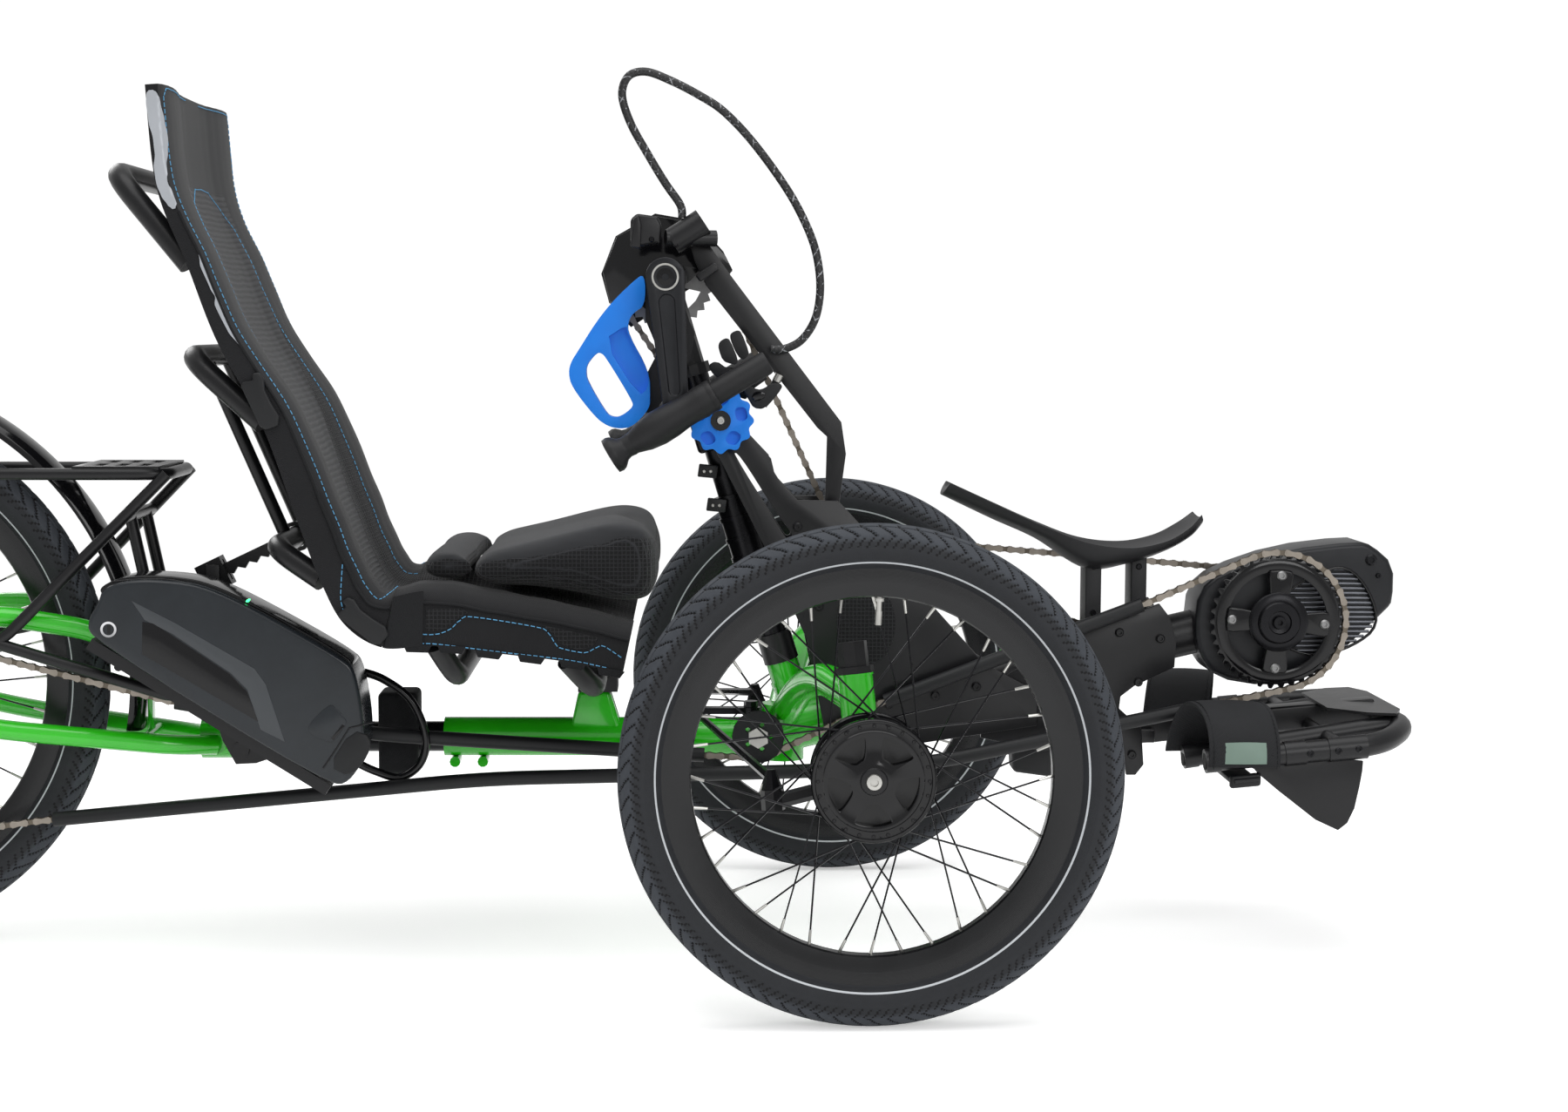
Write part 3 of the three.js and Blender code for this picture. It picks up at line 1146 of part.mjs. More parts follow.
function knobPiece() {
  const outline = [];
  const steps = knob.scallops * 3;
  for (let i = 0; i < steps; i += 1) {
    const angle = (2 * Math.PI * i) / steps;
    const radius = knob.radius - (knob.scallop / 2) * (1 - Math.cos(knob.scallops * angle));
    outline.push([knob.x + radius * Math.cos(angle), knob.z + radius * Math.sin(angle)]);
  }
  const disc = plate(outline, knob.yNear, knob.yFar);
  const pockets = [];
  for (let i = 0; i < 5; i += 1) {
    const angle = Math.PI / 2 + (2 * Math.PI * i) / 5;
    const middle = (knob.radius + knob.boss) / 2;
    pockets.push(pin(knob.x + middle * Math.cos(angle), knob.z + middle * Math.sin(angle), knob.yNear - overrun, knob.yNear + knob.pocket, knob.pocket, 6));
  }
  const stem = pin(knob.x, knob.z, knob.yFar - gap, -columnTube.collarRadius - 2 * gap, knob.stemRadius, 8);
  piece("column_knob", join(cut(disc, pockets), stem), finish.blue);
}

// Steered head: neck, crank housing, chain guard and lift handle

const head = { neckRadius: 14, neckBase: columnTube.top - gap, collarRadius: 19, collarHeight: 12, shellRadius: 23, shellHalf: 33, axleRadius: 11 };
const handTeeth = 28;

// The guard's outline is sized in pitch radii of the hand chainring that it covers.
const guard = { behind: 1.2695, below: 0.9521, across: 2.5743, tall: 2.2217, far: 50, thickness: 3, wall: 4, near: 12 };
const guardUnit = pitchRadius(handTeeth);
guard.x = crank.x - guard.behind * guardUnit;
guard.z = crank.z - guard.below * guardUnit;
guard.length = guard.across * guardUnit;
guard.height = guard.tall * guardUnit;
const guardShares = [[0.06, 0.21], [0, 0.47], [0.11, 0.8], [0.41, 1], [0.72, 0.94], [0.93, 0.67], [1, 0.5], [0.93, 0.45], [0.76, 0.41], [0.22, 0]];
const guardWallShares = guardShares.slice(0, 7);

function headPiece() {
  const neck = rod(onColumn(head.neckBase), crank, head.neckRadius, 10);
  const collar = rod(onColumn(head.neckBase), onColumn(head.neckBase - head.collarHeight), head.collarRadius, 12);
  const shell = pin(crank.x, crank.z, -head.shellHalf, guard.near, head.shellRadius, 14);
  const bore = pin(crank.x, crank.z, -head.shellHalf - overrun, head.shellHalf + overrun, boreFor(head.axleRadius, 12), 12);
  const outer = fitted(guard, guardShares);
  const centre = [guard.x + guard.length / 2, guard.z + guard.height / 2];
  const shrink = 1 - (2 * guard.wall) / guard.height;
  const inset = ([x, z]) => [centre[0] + (x - centre[0]) * shrink, centre[1] + (z - centre[1]) * shrink];
  const wallOuter = fitted(guard, guardWallShares);
  const wall = plate([...wallOuter, ...wallOuter.map(inset).reverse()], guard.near, guard.far);
  const face = plate(outer, guard.far - guard.thickness, guard.far, [circle(crank.x, crank.z, head.shellRadius, 14)]);
  const arm = plate(fitted(guard, guardArmShares), guard.near, guard.near + guard.thickness);
  const handleArm = plate(fitted(handle, handleArmShares), -handle.inner + gap, -handle.inner + gap + guard.thickness * 2);
  piece("crank_housing", cut(join(neck, collar, shell, wall, face, arm, handleArm), bore), finish.satinBlack);
}

const guardArmShares = [[0.3, 0.42], [0.28, 0.85], [0.41, 0.98], [0.6, 0.96], [0.62, 0.5]];

const handle = { x: -311, z: 578, length: 89, height: 170, inner: 26, outer: 52, recess: 9 };
const handleShares = [[0.94, 1], [0.8, 0.95], [0.51, 0.8], [0.32, 0.67], [0.13, 0.51], [0.03, 0.43], [0, 0.36], [0.04, 0.27],
  [0.32, 0.08], [0.47, 0.02], [0.64, 0], [0.8, 0.02], [0.99, 0.13], [1, 0.2], [0.99, 0.37], [0.73, 0.61], [0.73, 0.69], [0.8, 0.75], [0.94, 0.79]];
const handleWindow = { x: -292, z: 591, length: 51, height: 70 };
const windowShares = [[0, 0.71], [0.03, 0.83], [0.23, 1], [0.33, 1], [0.43, 0.93], [1, 0.25], [1, 0.15], [0.73, 0], [0.56, 0], [0.43, 0.06], [0.03, 0.56]];
const handlePocket = { x: -273, z: 614, length: 49, height: 78 };
const pocketShares = [[0, 0.78], [0.52, 1], [0.54, 0.87], [1, 0.35], [1, 0.11], [0.79, 0]];
const handleArmShares = [[0.94, 0.7], [0.94, 1], [1.2, 1], [1.55, 0.62], [1.5, 0.45], [1.3, 0.3], [1.05, 0.1], [0.86, 0.1], [0.9, 0.3], [1.1, 0.5]];

function handlePiece() {
  const body = plate(fitted(handle, handleShares), -handle.outer, -handle.inner, [fitted(handleWindow, windowShares)]);
  const pocket = plate(fitted(handlePocket, pocketShares), -handle.outer - overrun, -handle.outer + handle.recess);
  const shellRoom = pin(crank.x, crank.z, -handle.outer - overrun, overrun, head.shellRadius + gap, 14);
  piece("lift_handle", cut(body, pocket, shellRoom), finish.blue);
}

// Cranks, their axle and sprocket, and the grips

const crankArm = { inner: 83, thickness: 14, topRadius: 21, pinRadius: 13, recess: 3, bossRadius: 13 };

function crankArmPiece(side, name) {
  const a = crankArm;
  const ends = [side * a.inner, side * (a.inner + a.thickness)].sort((p, q) => p - q);
  const outline = capsule(crank, crankPin, a.topRadius, a.pinRadius, 8);
  const arm = plate(outline, ends[0], ends[1]);
  const outerFace = side * (a.inner + a.thickness);
  const dish = pin(crank.x, crank.z, outerFace - side * a.recess, outerFace + side * overrun, a.bossRadius, 12);
  const pinStub = pin(crankPin.x, crankPin.z, outerFace, side * grip.pinEnd, grip.pinRadius, 8);
  piece(`crank_arm_${name}`, join(cut(arm, dish), pinStub), finish.satinBlack);
}

function crankAxle() {
  const axle = pin(crank.x, crank.z, -crankArm.inner + gap, crankArm.inner - gap, head.axleRadius, 10);
  const ring = pitchRadius(handTeeth) - gear.tipBelow - gear.toothDepth;
  const holes = [];
  for (let i = 0; i < 4; i += 1) {
    const from = (Math.PI / 2) * i + 0.35;
    const outline = [];
    for (const [radius, sweep] of [[ring * 0.82, [0, 0.33, 0.67, 1]], [ring * 0.42, [0.85, 0.15]]]) {
      for (const share of sweep) {
        const angle = from + share * (Math.PI / 2 - 0.7);
        outline.push([crank.x + radius * Math.cos(angle), crank.z + radius * Math.sin(angle)]);
      }
    }
    holes.push(outline);
  }
  const disc = sprocket(crank, handTeeth, handChainLine, holes);
  piece("hand_chainring", join(axle, disc), finish.satinBlack);
}

const grip = { pinEnd: 132, pinRadius: 6, y: 118, flareEnd: [-264, 551], tubeEnd: [-95, 653], flareRadius: 20, neckRadius: 11 };
grip.swellRadius = 19;
grip.collarRadius = 17;
grip.tubeRadius = 13;
const gripShares = [[0, "flareRadius"], [0.03, "flareRadius"], [0.1, "neckRadius"], [0.3, "swellRadius"], [0.55, "collarRadius"],
  [0.66, "collarRadius"], [0.661, "tubeRadius"], [1, "tubeRadius"]];

function gripPiece(side, name) {
  const from = at(grip.flareEnd[0], side * grip.y, grip.flareEnd[1]);
  const to = at(grip.tubeEnd[0], side * grip.y, grip.tubeEnd[1]);
  const along = to.clone().sub(from);
  const profile = [new THREE.Vector2(0, 0)];
  for (const [share, size] of gripShares) profile.push(new THREE.Vector2(grip[size], share * along.length()));
  profile.push(new THREE.Vector2(0, along.length()));
  const turn = new THREE.Quaternion().setFromUnitVectors(at(0, 1, 0), along.clone().normalize());
  const body = placed(new THREE.LatheGeometry(profile, 10), new THREE.Matrix4().compose(from, turn, at(1, 1, 1)));
  const bore = pin(crankPin.x, crankPin.z, side * (crankArm.inner + crankArm.thickness), side * (grip.pinEnd + gap), boreFor(grip.pinRadius, 8), 8);
  piece(`hand_grip_${name}`, cut(body, bore), finish.rubber);
}

// Control bar, shifters and cables

const controlBar = { near: -32, far: -28, x: -182, z: 480, length: 176, height: 319, boltX: -19, boltZ: 490, boltRadius: 7 };
const barShares = [[0, 0.98], [0.06, 1], [0.28, 0.83], [0.97, 0.33], [1, 0.22], [0.96, 0.05], [0.95, 0], [0.84, 0],
  [0.87, 0.06], [0.88, 0.28], [0.82, 0.31], [0.12, 0.8], [0.05, 0.88]];
const pods = { yNear: -58, yFar: -34, size: 34, crossRadius: 9 };
const podPlaces = [[-226, 792], [-176, 790]];
const junction = { x: -110, z: 666, length: 40, height: 44 };

function controlBarPiece() {
  const bar = plate(fitted(controlBar, barShares), controlBar.near, controlBar.far);
  const cross = pods.crossRadius;
  const bodies = podPlaces.map(([x, z]) => block(x, (pods.yNear + pods.yFar) / 2, z, pods.size, pods.yFar - pods.yNear, pods.size));
  const link2 = rod(at(podPlaces[0][0], (pods.yNear + pods.yFar) / 2, podPlaces[0][1]), at(podPlaces[1][0], (pods.yNear + pods.yFar) / 2, podPlaces[1][1]), cross, 8);
  const stub = rod(at(podPlaces[1][0], pods.yFar - gap, podPlaces[1][1]), at(podPlaces[1][0], controlBar.far, podPlaces[1][1]), cross, 8);
  const splitter = block(junction.x, controlBar.near - junction.height / 4, junction.z, junction.length, junction.height / 2 + 2 * gap, junction.height);
  const spacer = pin(controlBar.boltX, controlBar.boltZ, -towerPlate.inner + gap, controlBar.far, controlBar.boltRadius, 10);
  piece("control_bar", join(bar, bodies, link2, stub, splitter, spacer), finish.satinBlack);
}

// The cable bundle is held in the shifter at one end and in the splitter at the other.
const cable = { radius: 4.5, y: -44 };
const cableRoute = [[-187, 808], [-189, 822], [-205, 845], [-224, 876], [-243, 910], [-252, 940], [-245, 960], [-226, 965], [-200, 956],
  [-170, 941], [-142, 923], [-110, 890], [-75, 843], [-54, 806], [-41, 772], [-36, 734], [-41, 700], [-56, 676], [-75, 666], [-89.7, 666]];

function cablePiece() {
  const curve = new THREE.CatmullRomCurve3(cableRoute.map(([x, z]) => at(x, cable.y, z)));
  const shape = new THREE.Shape(circle(0, 0, cable.radius, 6).map(([x, z]) => new THREE.Vector2(x, z)));
  piece("cable_bundle", toSolid(new THREE.ExtrudeGeometry(shape, { steps: 32, extrudePath: curve, bevelEnabled: false })), finish.rubber);
}

// Jackshaft, motor and rear sprockets

const jackTeeth = 13;
const jack = at(-28, 0, 428);
const motorInTeeth = 23;
const motorTeeth = 38;
const motorAxle = at(473, 0, 366);
const cogTeeth = 36;
const jockeyTeeth = 11;
const idler = { x: -103, z: 238, radius: 24, lip: 5, bore: 7, core: 12, wall: 1, holeRadius: 3, holes: 5, holeAt: 14 };
const jackshaft = { radius: 8 };

function jackshaftPiece() {
  const shaft = pin(jack.x, jack.z, -towerPlate.inner + 2 * gap, frontChainLine + 2 * link.outer, jackshaft.radius, 8);
  const cogs = [handChainLine, frontChainLine].map((y) => sprocket(jack, jackTeeth, y));
  piece("jackshaft", cut(join(shaft, cogs)), finish.steel);
}

const motor = { x: 384, z: 290, length: 224, height: 164, half: 38, axleRadius: 12 };
const motorShares = [[0, 0.39], [0.02, 0.66], [0.13, 0.79], [0.45, 0.94], [0.82, 1], [0.89, 0.97], [1, 0.84], [1, 0.59],
  [0.97, 0.53], [0.73, 0.22], [0.58, 0.05], [0.38, 0], [0.11, 0.06], [0.03, 0.22]];
const motorFins = { count: 9, depth: 5, slot: 5 };
const finShares = [[0.44, 0.57], [0.66, 0.78], [0.81, 0.8], [0.91, 0.6], [0.9, 0.36], [0.78, 0.28], [0.6, 0.3]];

function motorCase() {
  const body = plate(fitted(motor, motorShares), -motor.half, motor.half);
  const boomRoom = rod(onBoom(boom.frontX - motor.length), onBoom(boom.frontX + gap), boom.radius + gap, 12);
  const bore = pin(motorAxle.x, motorAxle.z, -motor.half - overrun, motor.half + overrun, boreFor(motor.axleRadius, 10), 10);
  const finField = plate(fitted(motor, finShares), -motor.half - overrun, -motor.half + motorFins.depth);
  const ribs = [];
  const finHeight = motor.height * 0.5;
  for (let i = 0; i <= motorFins.count; i += 1) {
    const z = motor.z + motor.height * 0.3 + (finHeight * i) / motorFins.count;
    ribs.push(block(motor.x + motor.length * 0.7, -motor.half + motorFins.depth / 2, z, motor.length * 0.6, motorFins.depth, motorFins.slot / 2));
  }
  const grooves = cut(finField, ribs);
  piece("motor_case", cut(body, boomRoom, bore, grooves), finish.satinBlack);
}

function motorChainring() {
  const ringInner = pitchRadius(motorTeeth) - gear.tipBelow - gear.toothDepth - 8;
  const holes = [];
  for (let i = 0; i < 4; i += 1) {
    const middle = (Math.PI / 2) * i + Math.PI / 4;
    const outline = [];
    for (const share of [-1, -0.5, 0, 0.5, 1]) {
      const angle = middle + share * THREE.MathUtils.degToRad(33);
      outline.push([motorAxle.x + ringInner * Math.cos(angle), motorAxle.z + ringInner * Math.sin(angle)]);
    }
    for (const share of [0.7, -0.7]) {
      const angle = middle + share * THREE.MathUtils.degToRad(26);
      outline.push([motorAxle.x + ringInner * 0.46 * Math.cos(angle), motorAxle.z + ringInner * 0.46 * Math.sin(angle)]);
    }
    holes.push(outline);
  }
  const ring = sprocket(motorAxle, motorTeeth, -chainLine, holes);
  const boss = turned([[0.001, -chainLine - 16], [10, -chainLine - 16], [18, -chainLine - 10], [23, -chainLine], [23, -motor.half - 2 * gap], [0.001, -motor.half - 2 * gap]],
    motorAxle.x, motorAxle.z, 12);
  const axle = pin(motorAxle.x, motorAxle.z, -chainLine, frontChainLine + link.outer, motor.axleRadius, 10);
  const input = sprocket(motorAxle, motorInTeeth, frontChainLine);
  piece("motor_chainring", join(ring, boss, axle, input), finish.satinBlack);
}

function idlerPiece() {
  const { x, z, radius, lip, bore, wall, holes, holeAt, holeRadius } = idler;
  const inner = link.outer + gap;
  const groove = radius - link.halfHeight - gap;
  const half = [[groove, inner], [radius + lip, inner], [radius + lip, inner + wall], [bore, inner + wall]];
  const profile = [...half, ...half.map(([r, w]) => [r, -w]).reverse()].map(([r, w]) => [r, w - chainLine]);
  const body = turned(profile, x, z, 16);
  const drilled = [];
  for (let i = 0; i < holes; i += 1) {
    const angle = (2 * Math.PI * i) / holes;
    const [hx, hz] = [x + holeAt * Math.cos(angle), z + holeAt * Math.sin(angle)];
    drilled.push(pin(hx, hz, -chainLine - 2 * inner, -chainLine + 2 * inner, holeRadius, 6));
  }
  piece("power_idler", cut(body, drilled), finish.satinBlack);
}

// The idler turns on a bolt that is screwed into a bracket on the main frame.
function idlerBracket() {
  const { x, z, bore, core, wall } = idler;
  const face = link.outer + gap + wall + gap;
  const shaft = pin(x, z, -chainLine - face - wall, 0, bore - 2 * gap, 8);
  const bolt = pin(x, z, -chainLine - face - 3 * wall, -chainLine - face, core, 6);
  const collar = pin(x, z, -chainLine + face, 0, core, 8);
  piece("idler_bolt", cut(join(shaft, bolt, collar), mainTubeRoom()), finish.steel);
}

function mainTubeRoom() {
  const hubRoom = rod(at(hubTube.x, 0, hubTube.bottom - overrun), at(hubTube.x, 0, hubTube.top + overrun), hubTube.radius + gap, mainTube.sides);
  const [rear, front] = [onMainTube(mainTube.rearX), onMainTube(mainTube.frontX)];
  return [rod(rear, front, mainTube.radius + gap, mainTube.sides), hubRoom, sweptArm(-1, armTube.radius + gap)];
}

const cassette = { teeth: [36, 28, 21], pitch: 5, coreRadius: 18 };
const cassetteLine = 50;

function cassettePiece() {
  const half = gear.thickness / 2;
  const inner = -rearWheel.hubHalfWidth - gap;
  const outer = -stay.dropoutY + stay.dropoutThickness / 2 + 2 * gap;
  const stack = cassette.teeth.map((teeth, i) => {
    const y = -cassetteLine - i * cassette.pitch;
    return i ? pin(rearAxle.x, rearAxle.z, y - half, y + half, pitchRadius(teeth) - gear.tipBelow, 14) : sprocket(rearAxle, teeth, y);
  });
  const core = pin(rearAxle.x, rearAxle.z, outer, inner, cassette.coreRadius, 10);
  const bore = pin(rearAxle.x, rearAxle.z, outer - overrun, inner + overrun, boreFor(stay.axleRadius, 8), 8);
  piece("cassette", cut(join(stack, core), bore), finish.steel);
}

// The derailleur hangs from the rear axle, so its places are given from there.
const jockeys = { upperAhead: 28, upperClearance: 1.6, lowerAhead: 18, apart: 17.9 };
jockeys.upperDrop = pitchRadius(cogTeeth) + pitchRadius(jockeyTeeth) + jockeys.upperClearance;
jockeys.lowerDrop = jockeys.upperDrop + 2 * pitchRadius(jockeyTeeth) + jockeys.apart;
const upperJockey = at(rearAxle.x + jockeys.upperAhead, 0, rearAxle.z - jockeys.upperDrop);
const lowerJockey = at(rearAxle.x + jockeys.lowerAhead, 0, rearAxle.z - jockeys.lowerDrop);
const mech = { pinRadius: 4.4, cageRadius: 11, cageGap: 1.2, cageThickness: 2, ahead: 16, drop: 68, bodyWidth: 14, bodyLength: 30 };
mech.bodyX = rearAxle.x + mech.ahead;
mech.bodyZ = rearAxle.z - mech.drop;
mech.bodyHeight = 44;
mech.hangerDrop = 8;
mech.hangerTop = rearAxle.z - mech.hangerDrop;
mech.hangerThickness = 5;
mech.axleRadius = 7;

function jockeyPiece(centre, name) {
  const disc = sprocket(centre, jockeyTeeth, -cassetteLine, [circle(centre.x, centre.z, boreFor(mech.pinRadius, 6), 6)]);
  piece(name, disc, finish.satinBlack);
}

// An outline round two circles, for arms and cage plates.
function capsule(from, to, fromRadius, toRadius, steps = 6) {
  const along = to.clone().sub(from).normalize();
  const outline = [];
  for (const [centre, radius, sign] of [[from, fromRadius, -1], [to, toRadius, 1]]) {
    for (let i = 0; i <= steps; i += 1) {
      const angle = (Math.PI * i) / steps - Math.PI / 2;
      const forward = sign * Math.cos(angle);
      const across = sign * Math.sin(angle);
      const x = centre.x + radius * (along.x * forward - along.z * across);
      outline.push([x, centre.z + radius * (along.z * forward + along.x * across)]);
    }
  }
  return outline;
}

// The cage hangs from a body outside the sprockets, which bolts to the dropout's outer face.
function derailleurPiece() {
  const inner = link.outer + mech.cageGap;
  const cage = [-1, 1].map((side) => {
    const y = -cassetteLine + side * (inner + mech.cageThickness / 2);
    const half = mech.cageThickness / 2;
    return plate(capsule(upperJockey, lowerJockey, mech.cageRadius, mech.cageRadius), y - half, y + half);
  });
  const axles = [upperJockey, lowerJockey].map((c) => pin(c.x, c.z, -cassetteLine - inner, -cassetteLine + inner, mech.pinRadius, 6));
  const outerFace = -stay.dropoutY - stay.dropoutThickness / 2 - gap;
  const bodyY = outerFace - mech.bodyWidth / 2;
  const body = block(mech.bodyX, bodyY, mech.bodyZ, mech.bodyLength, mech.bodyWidth, mech.bodyHeight);
  const arm = pin(upperJockey.x, upperJockey.z + mech.cageRadius / 2, bodyY, -cassetteLine - inner, mech.axleRadius, 10);
  const drop = block(mech.bodyX, bodyY, (mech.bodyZ + upperJockey.z) / 2, mech.bodyLength, mech.bodyWidth / 2, mech.bodyHeight);
  const hangerHeight = mech.hangerTop - mech.bodyZ;
  const hanger = block(mech.bodyX, outerFace - mech.hangerThickness / 2, mech.bodyZ + hangerHeight / 2,
    mech.bodyLength / 2, mech.hangerThickness, hangerHeight);
  const frameRoom = stayTube(stay.lower, stay.lowerY, -1, stay.lowerRadius + gap);
  const axleRoom = pin(rearAxle.x, rearAxle.z, -stay.dropoutY - 2 * stay.lugRadius, 0, stay.axleRadius + gap, 12);
  piece("derailleur", cut(join(cage, axles, body, arm, drop, hanger), frameRoom, axleRoom), finish.satinBlack);
}

function chains() {
  const stepAngle = THREE.MathUtils.degToRad(30);
  const wheel = (centre, teeth, turn, y) => ({ x: centre.x, z: centre.z, radius: pitchRadius(teeth), turn, y });
  const point = (x, z, y) => ({ x, z, radius: 0, turn: 0, y });
  const drive = [
    wheel(motorAxle, motorTeeth, 1, -chainLine),
    point(...tubeStops.front[0], -chainLine),
    point(...tubeStops.front[1], -chainLine),
    { x: idler.x, z: idler.z, radius: idler.radius, turn: -1, y: -chainLine },
    ...tubeStops.rear.map(([x, z]) => point(x, z, -chainLine)),
    wheel(rearAxle, cogTeeth, 1, -cassetteLine),
    wheel(upperJockey, jockeyTeeth, -1, -cassetteLine),
    wheel(lowerJockey, jockeyTeeth, 1, -cassetteLine),
    ...tubeStops.back.map(([x, z, line]) => point(x, z, -line)),
  ];
  piece("drive_chain", chainBelt(drive, stepAngle), finish.chain);
  const hand = [wheel(crank, handTeeth, 1, handChainLine), wheel(jack, jackTeeth, 1, handChainLine)];
  piece("hand_chain", chainBelt(hand, stepAngle), finish.chain);
  const front = [wheel(jack, jackTeeth, 1, frontChainLine), wheel(motorAxle, motorInTeeth, 1, frontChainLine)];
  piece("front_chain", chainBelt(front, stepAngle), finish.chain);
}

const tubeStops = {
  front: [[331, 388], [28, 274]],
  rear: [[-151, 217], [-541, 243], [-748, 279]],
  back: [[-891, 147, 54], [-402, 196, returnLine], [-45, 203, returnLine], [81, 210, returnLine], [233, 240, 66], [380, 268, chainLine]],
};
const chainTube = { radius: 8, bore: 6.4, endShare: 0.03 };

// A chain tube is a thin pipe that the chain runs through.
function hosePiece(name, stops) {
  const points = stops.map((p) => p.clone());
  const count = points.length;
  points[0].lerp(stops[1], chainTube.endShare);
  points[count - 1].lerp(stops[count - 2], chainTube.endShare);
  const longer = points.map((p) => p.clone());
  longer[0].lerp(points[1], -chainTube.endShare);
  longer[count - 1].lerp(points[count - 2], -chainTube.endShare);
  const settings = { sides: 8, bend: 0 };
  const bore = bentTube(longer, chainTube.bore, settings);
  piece(name, cut(bentTube(points, chainTube.radius, settings), bore), finish.satinBlack);
}

function chainTubes() {
  const line = ([x, z, y = chainLine]) => at(x, -y, z);
  hosePiece("upper_chain_tube_front", tubeStops.front.map(line));
  hosePiece("upper_chain_tube_rear", tubeStops.rear.map(line));
  hosePiece("return_chain_tube", tubeStops.back.map(line));
}

// Foot rests and the leg support

const footBeam = { rearX: 300, rearZ: 234, frontX: 596, frontZ: 259, size: 28 };
const foot = { radius: 12, outerY: 170, innerY: 90, rearX: 372, rearZ: 229, sideX: 560, sideZ: 246, noseX: 602, noseZ: 256, noseY: 118 };
foot.bend = 45;
foot.innerRearX = 364;
foot.innerRearZ = 220;
foot.crossX = 456;
const footStrap = { x: 398, length: 78, rise: 62, thickness: 4, slack: 0.8 };
const heelFlap = { x: 419, z: 150, length: 123, height: 83, thickness: 3 };
const flapShares = [[0, 0.93], [0.1, 0.75], [0.75, 0], [0.91, 0.19], [0.99, 0.76], [1, 1.02]];

function footBeamSolid(grow) {
  const size = footBeam.size / 2 + grow;
  const ring = (x, z) => [at(x, -size, z - size), at(x, size, z - size), at(x, size, z + size), at(x, -size, z + size)];
  const run = grow ? overrun : 0;
  return loft([ring(footBeam.rearX - run, footBeam.rearZ), ring(footBeam.frontX, footBeam.frontZ)]);
}

const footBeamRoom = () => footBeamSolid(gap);

function footFrame() {
  const f = foot;
  const outer = bentTube([at(f.rearX, -f.outerY, f.rearZ), at(f.sideX, -f.outerY, f.sideZ), at(f.noseX, -f.noseY, f.noseZ),
    at(f.noseX, f.noseY, f.noseZ), at(f.sideX, f.outerY, f.sideZ), at(f.rearX, f.outerY, f.rearZ)], f.radius, { sides: 6, bend: f.bend, bendSteps: 2 });
  const inner = [-1, 1].map((side) => rod(at(f.innerRearX, side * f.innerY, f.innerRearZ), at(f.noseX, side * f.innerY, f.noseZ), f.radius, 6));
  const crossZ = f.innerRearZ + ((f.noseZ - f.innerRearZ) * (f.crossX - f.innerRearX)) / (f.noseX - f.innerRearX);
  const cross = rod(at(f.crossX, -f.outerY, crossZ), at(f.crossX, f.outerY, crossZ), f.radius * 0.8, 6);
  const frontCross = rod(at(f.sideX - 40, -f.outerY, f.sideZ - 2), at(f.sideX - 40, f.outerY, f.sideZ - 2), f.radius * 0.6, 6);
  const flaps = [-1, 1].map((side) => {
    const ends = [side * f.outerY, side * (f.outerY + heelFlap.thickness)].sort((a, b) => a - b);
    return plate(fitted(heelFlap, flapShares), ends[0], ends[1]);
  });
  piece("foot_frame", join(outer, inner, cross, frontCross, flaps, footBeamSolid(0)), finish.satinBlack);
}

// An arched strap over each heel, from the outer tube to the inner one.
function footStrapPiece(side, name) {
  const s = footStrap;
  const middleY = (side * (foot.outerY + foot.innerY)) / 2;
  const halfY = (foot.outerY - foot.innerY) / 2 + foot.radius + s.thickness / 2 + s.slack;
  const baseZ = (foot.rearZ + foot.innerRearZ) / 2;
  const section = [];
  const steps = 10;
  const arc = (radiusY, radiusZ) => {
    const points = [];
    for (let i = 0; i <= steps; i += 1) {
      const angle = (Math.PI * i) / steps;
      points.push([middleY + radiusY * Math.cos(angle), baseZ + radiusZ * Math.sin(angle)]);
    }
    return points;
  };
  section.push(...arc(halfY + s.thickness / 2, s.rise + s.thickness / 2));
  section.push(...arc(halfY - s.thickness / 2, s.rise - s.thickness / 2).reverse());
  const rings = [s.x - s.length / 2, s.x + s.length / 2].map((x) => section.map(([y, z]) => at(x, y, z)));
  const half = section.length / 2;
  const index = [];
  const points = rings.flat();
  const count = section.length;
  for (let j = 0; j < count; j += 1) {
    const k = (j + 1) % count;
    index.push(j, count + j, count + k, j, count + k, k);
  }
  for (let j = 0; j < half - 1; j += 1) {
    const [a, b, c, d] = [j, j + 1, count - 2 - j, count - 1 - j];
    index.push(a, b, c, a, c, d, count + a, count + c, count + b, count + a, count + d, count + c);
  }
  const geometry = new THREE.BufferGeometry().setFromPoints(points);
  geometry.setIndex(index);
  piece(`foot_strap_${name}`, toSolid(geometry), finish.fabric);
}

const calf = { x: 102, z: 416, length: 295, height: 102, halfWidth: 49 };
const calfTop = [[0.03, 1], [0.21, 0.76], [0.38, 0.54], [0.55, 0.36], [0.71, 0.31], [0.84, 0.38], [0.93, 0.52], [0.985, 0.66]];
const calfBottom = [[0, 0.86], [0.19, 0.6], [0.36, 0.38], [0.55, 0.05], [0.71, 0.1], [0.85, 0.24], [0.95, 0.4], [1, 0.55]];
const calfWidthShares = [0.5, 0.72, 0.95, 1, 1, 0.95, 0.82, 0.55];
const calfPost = { firstX: 273, secondX: 324, length: 18, halfWidth: 20, footLift: 14 };

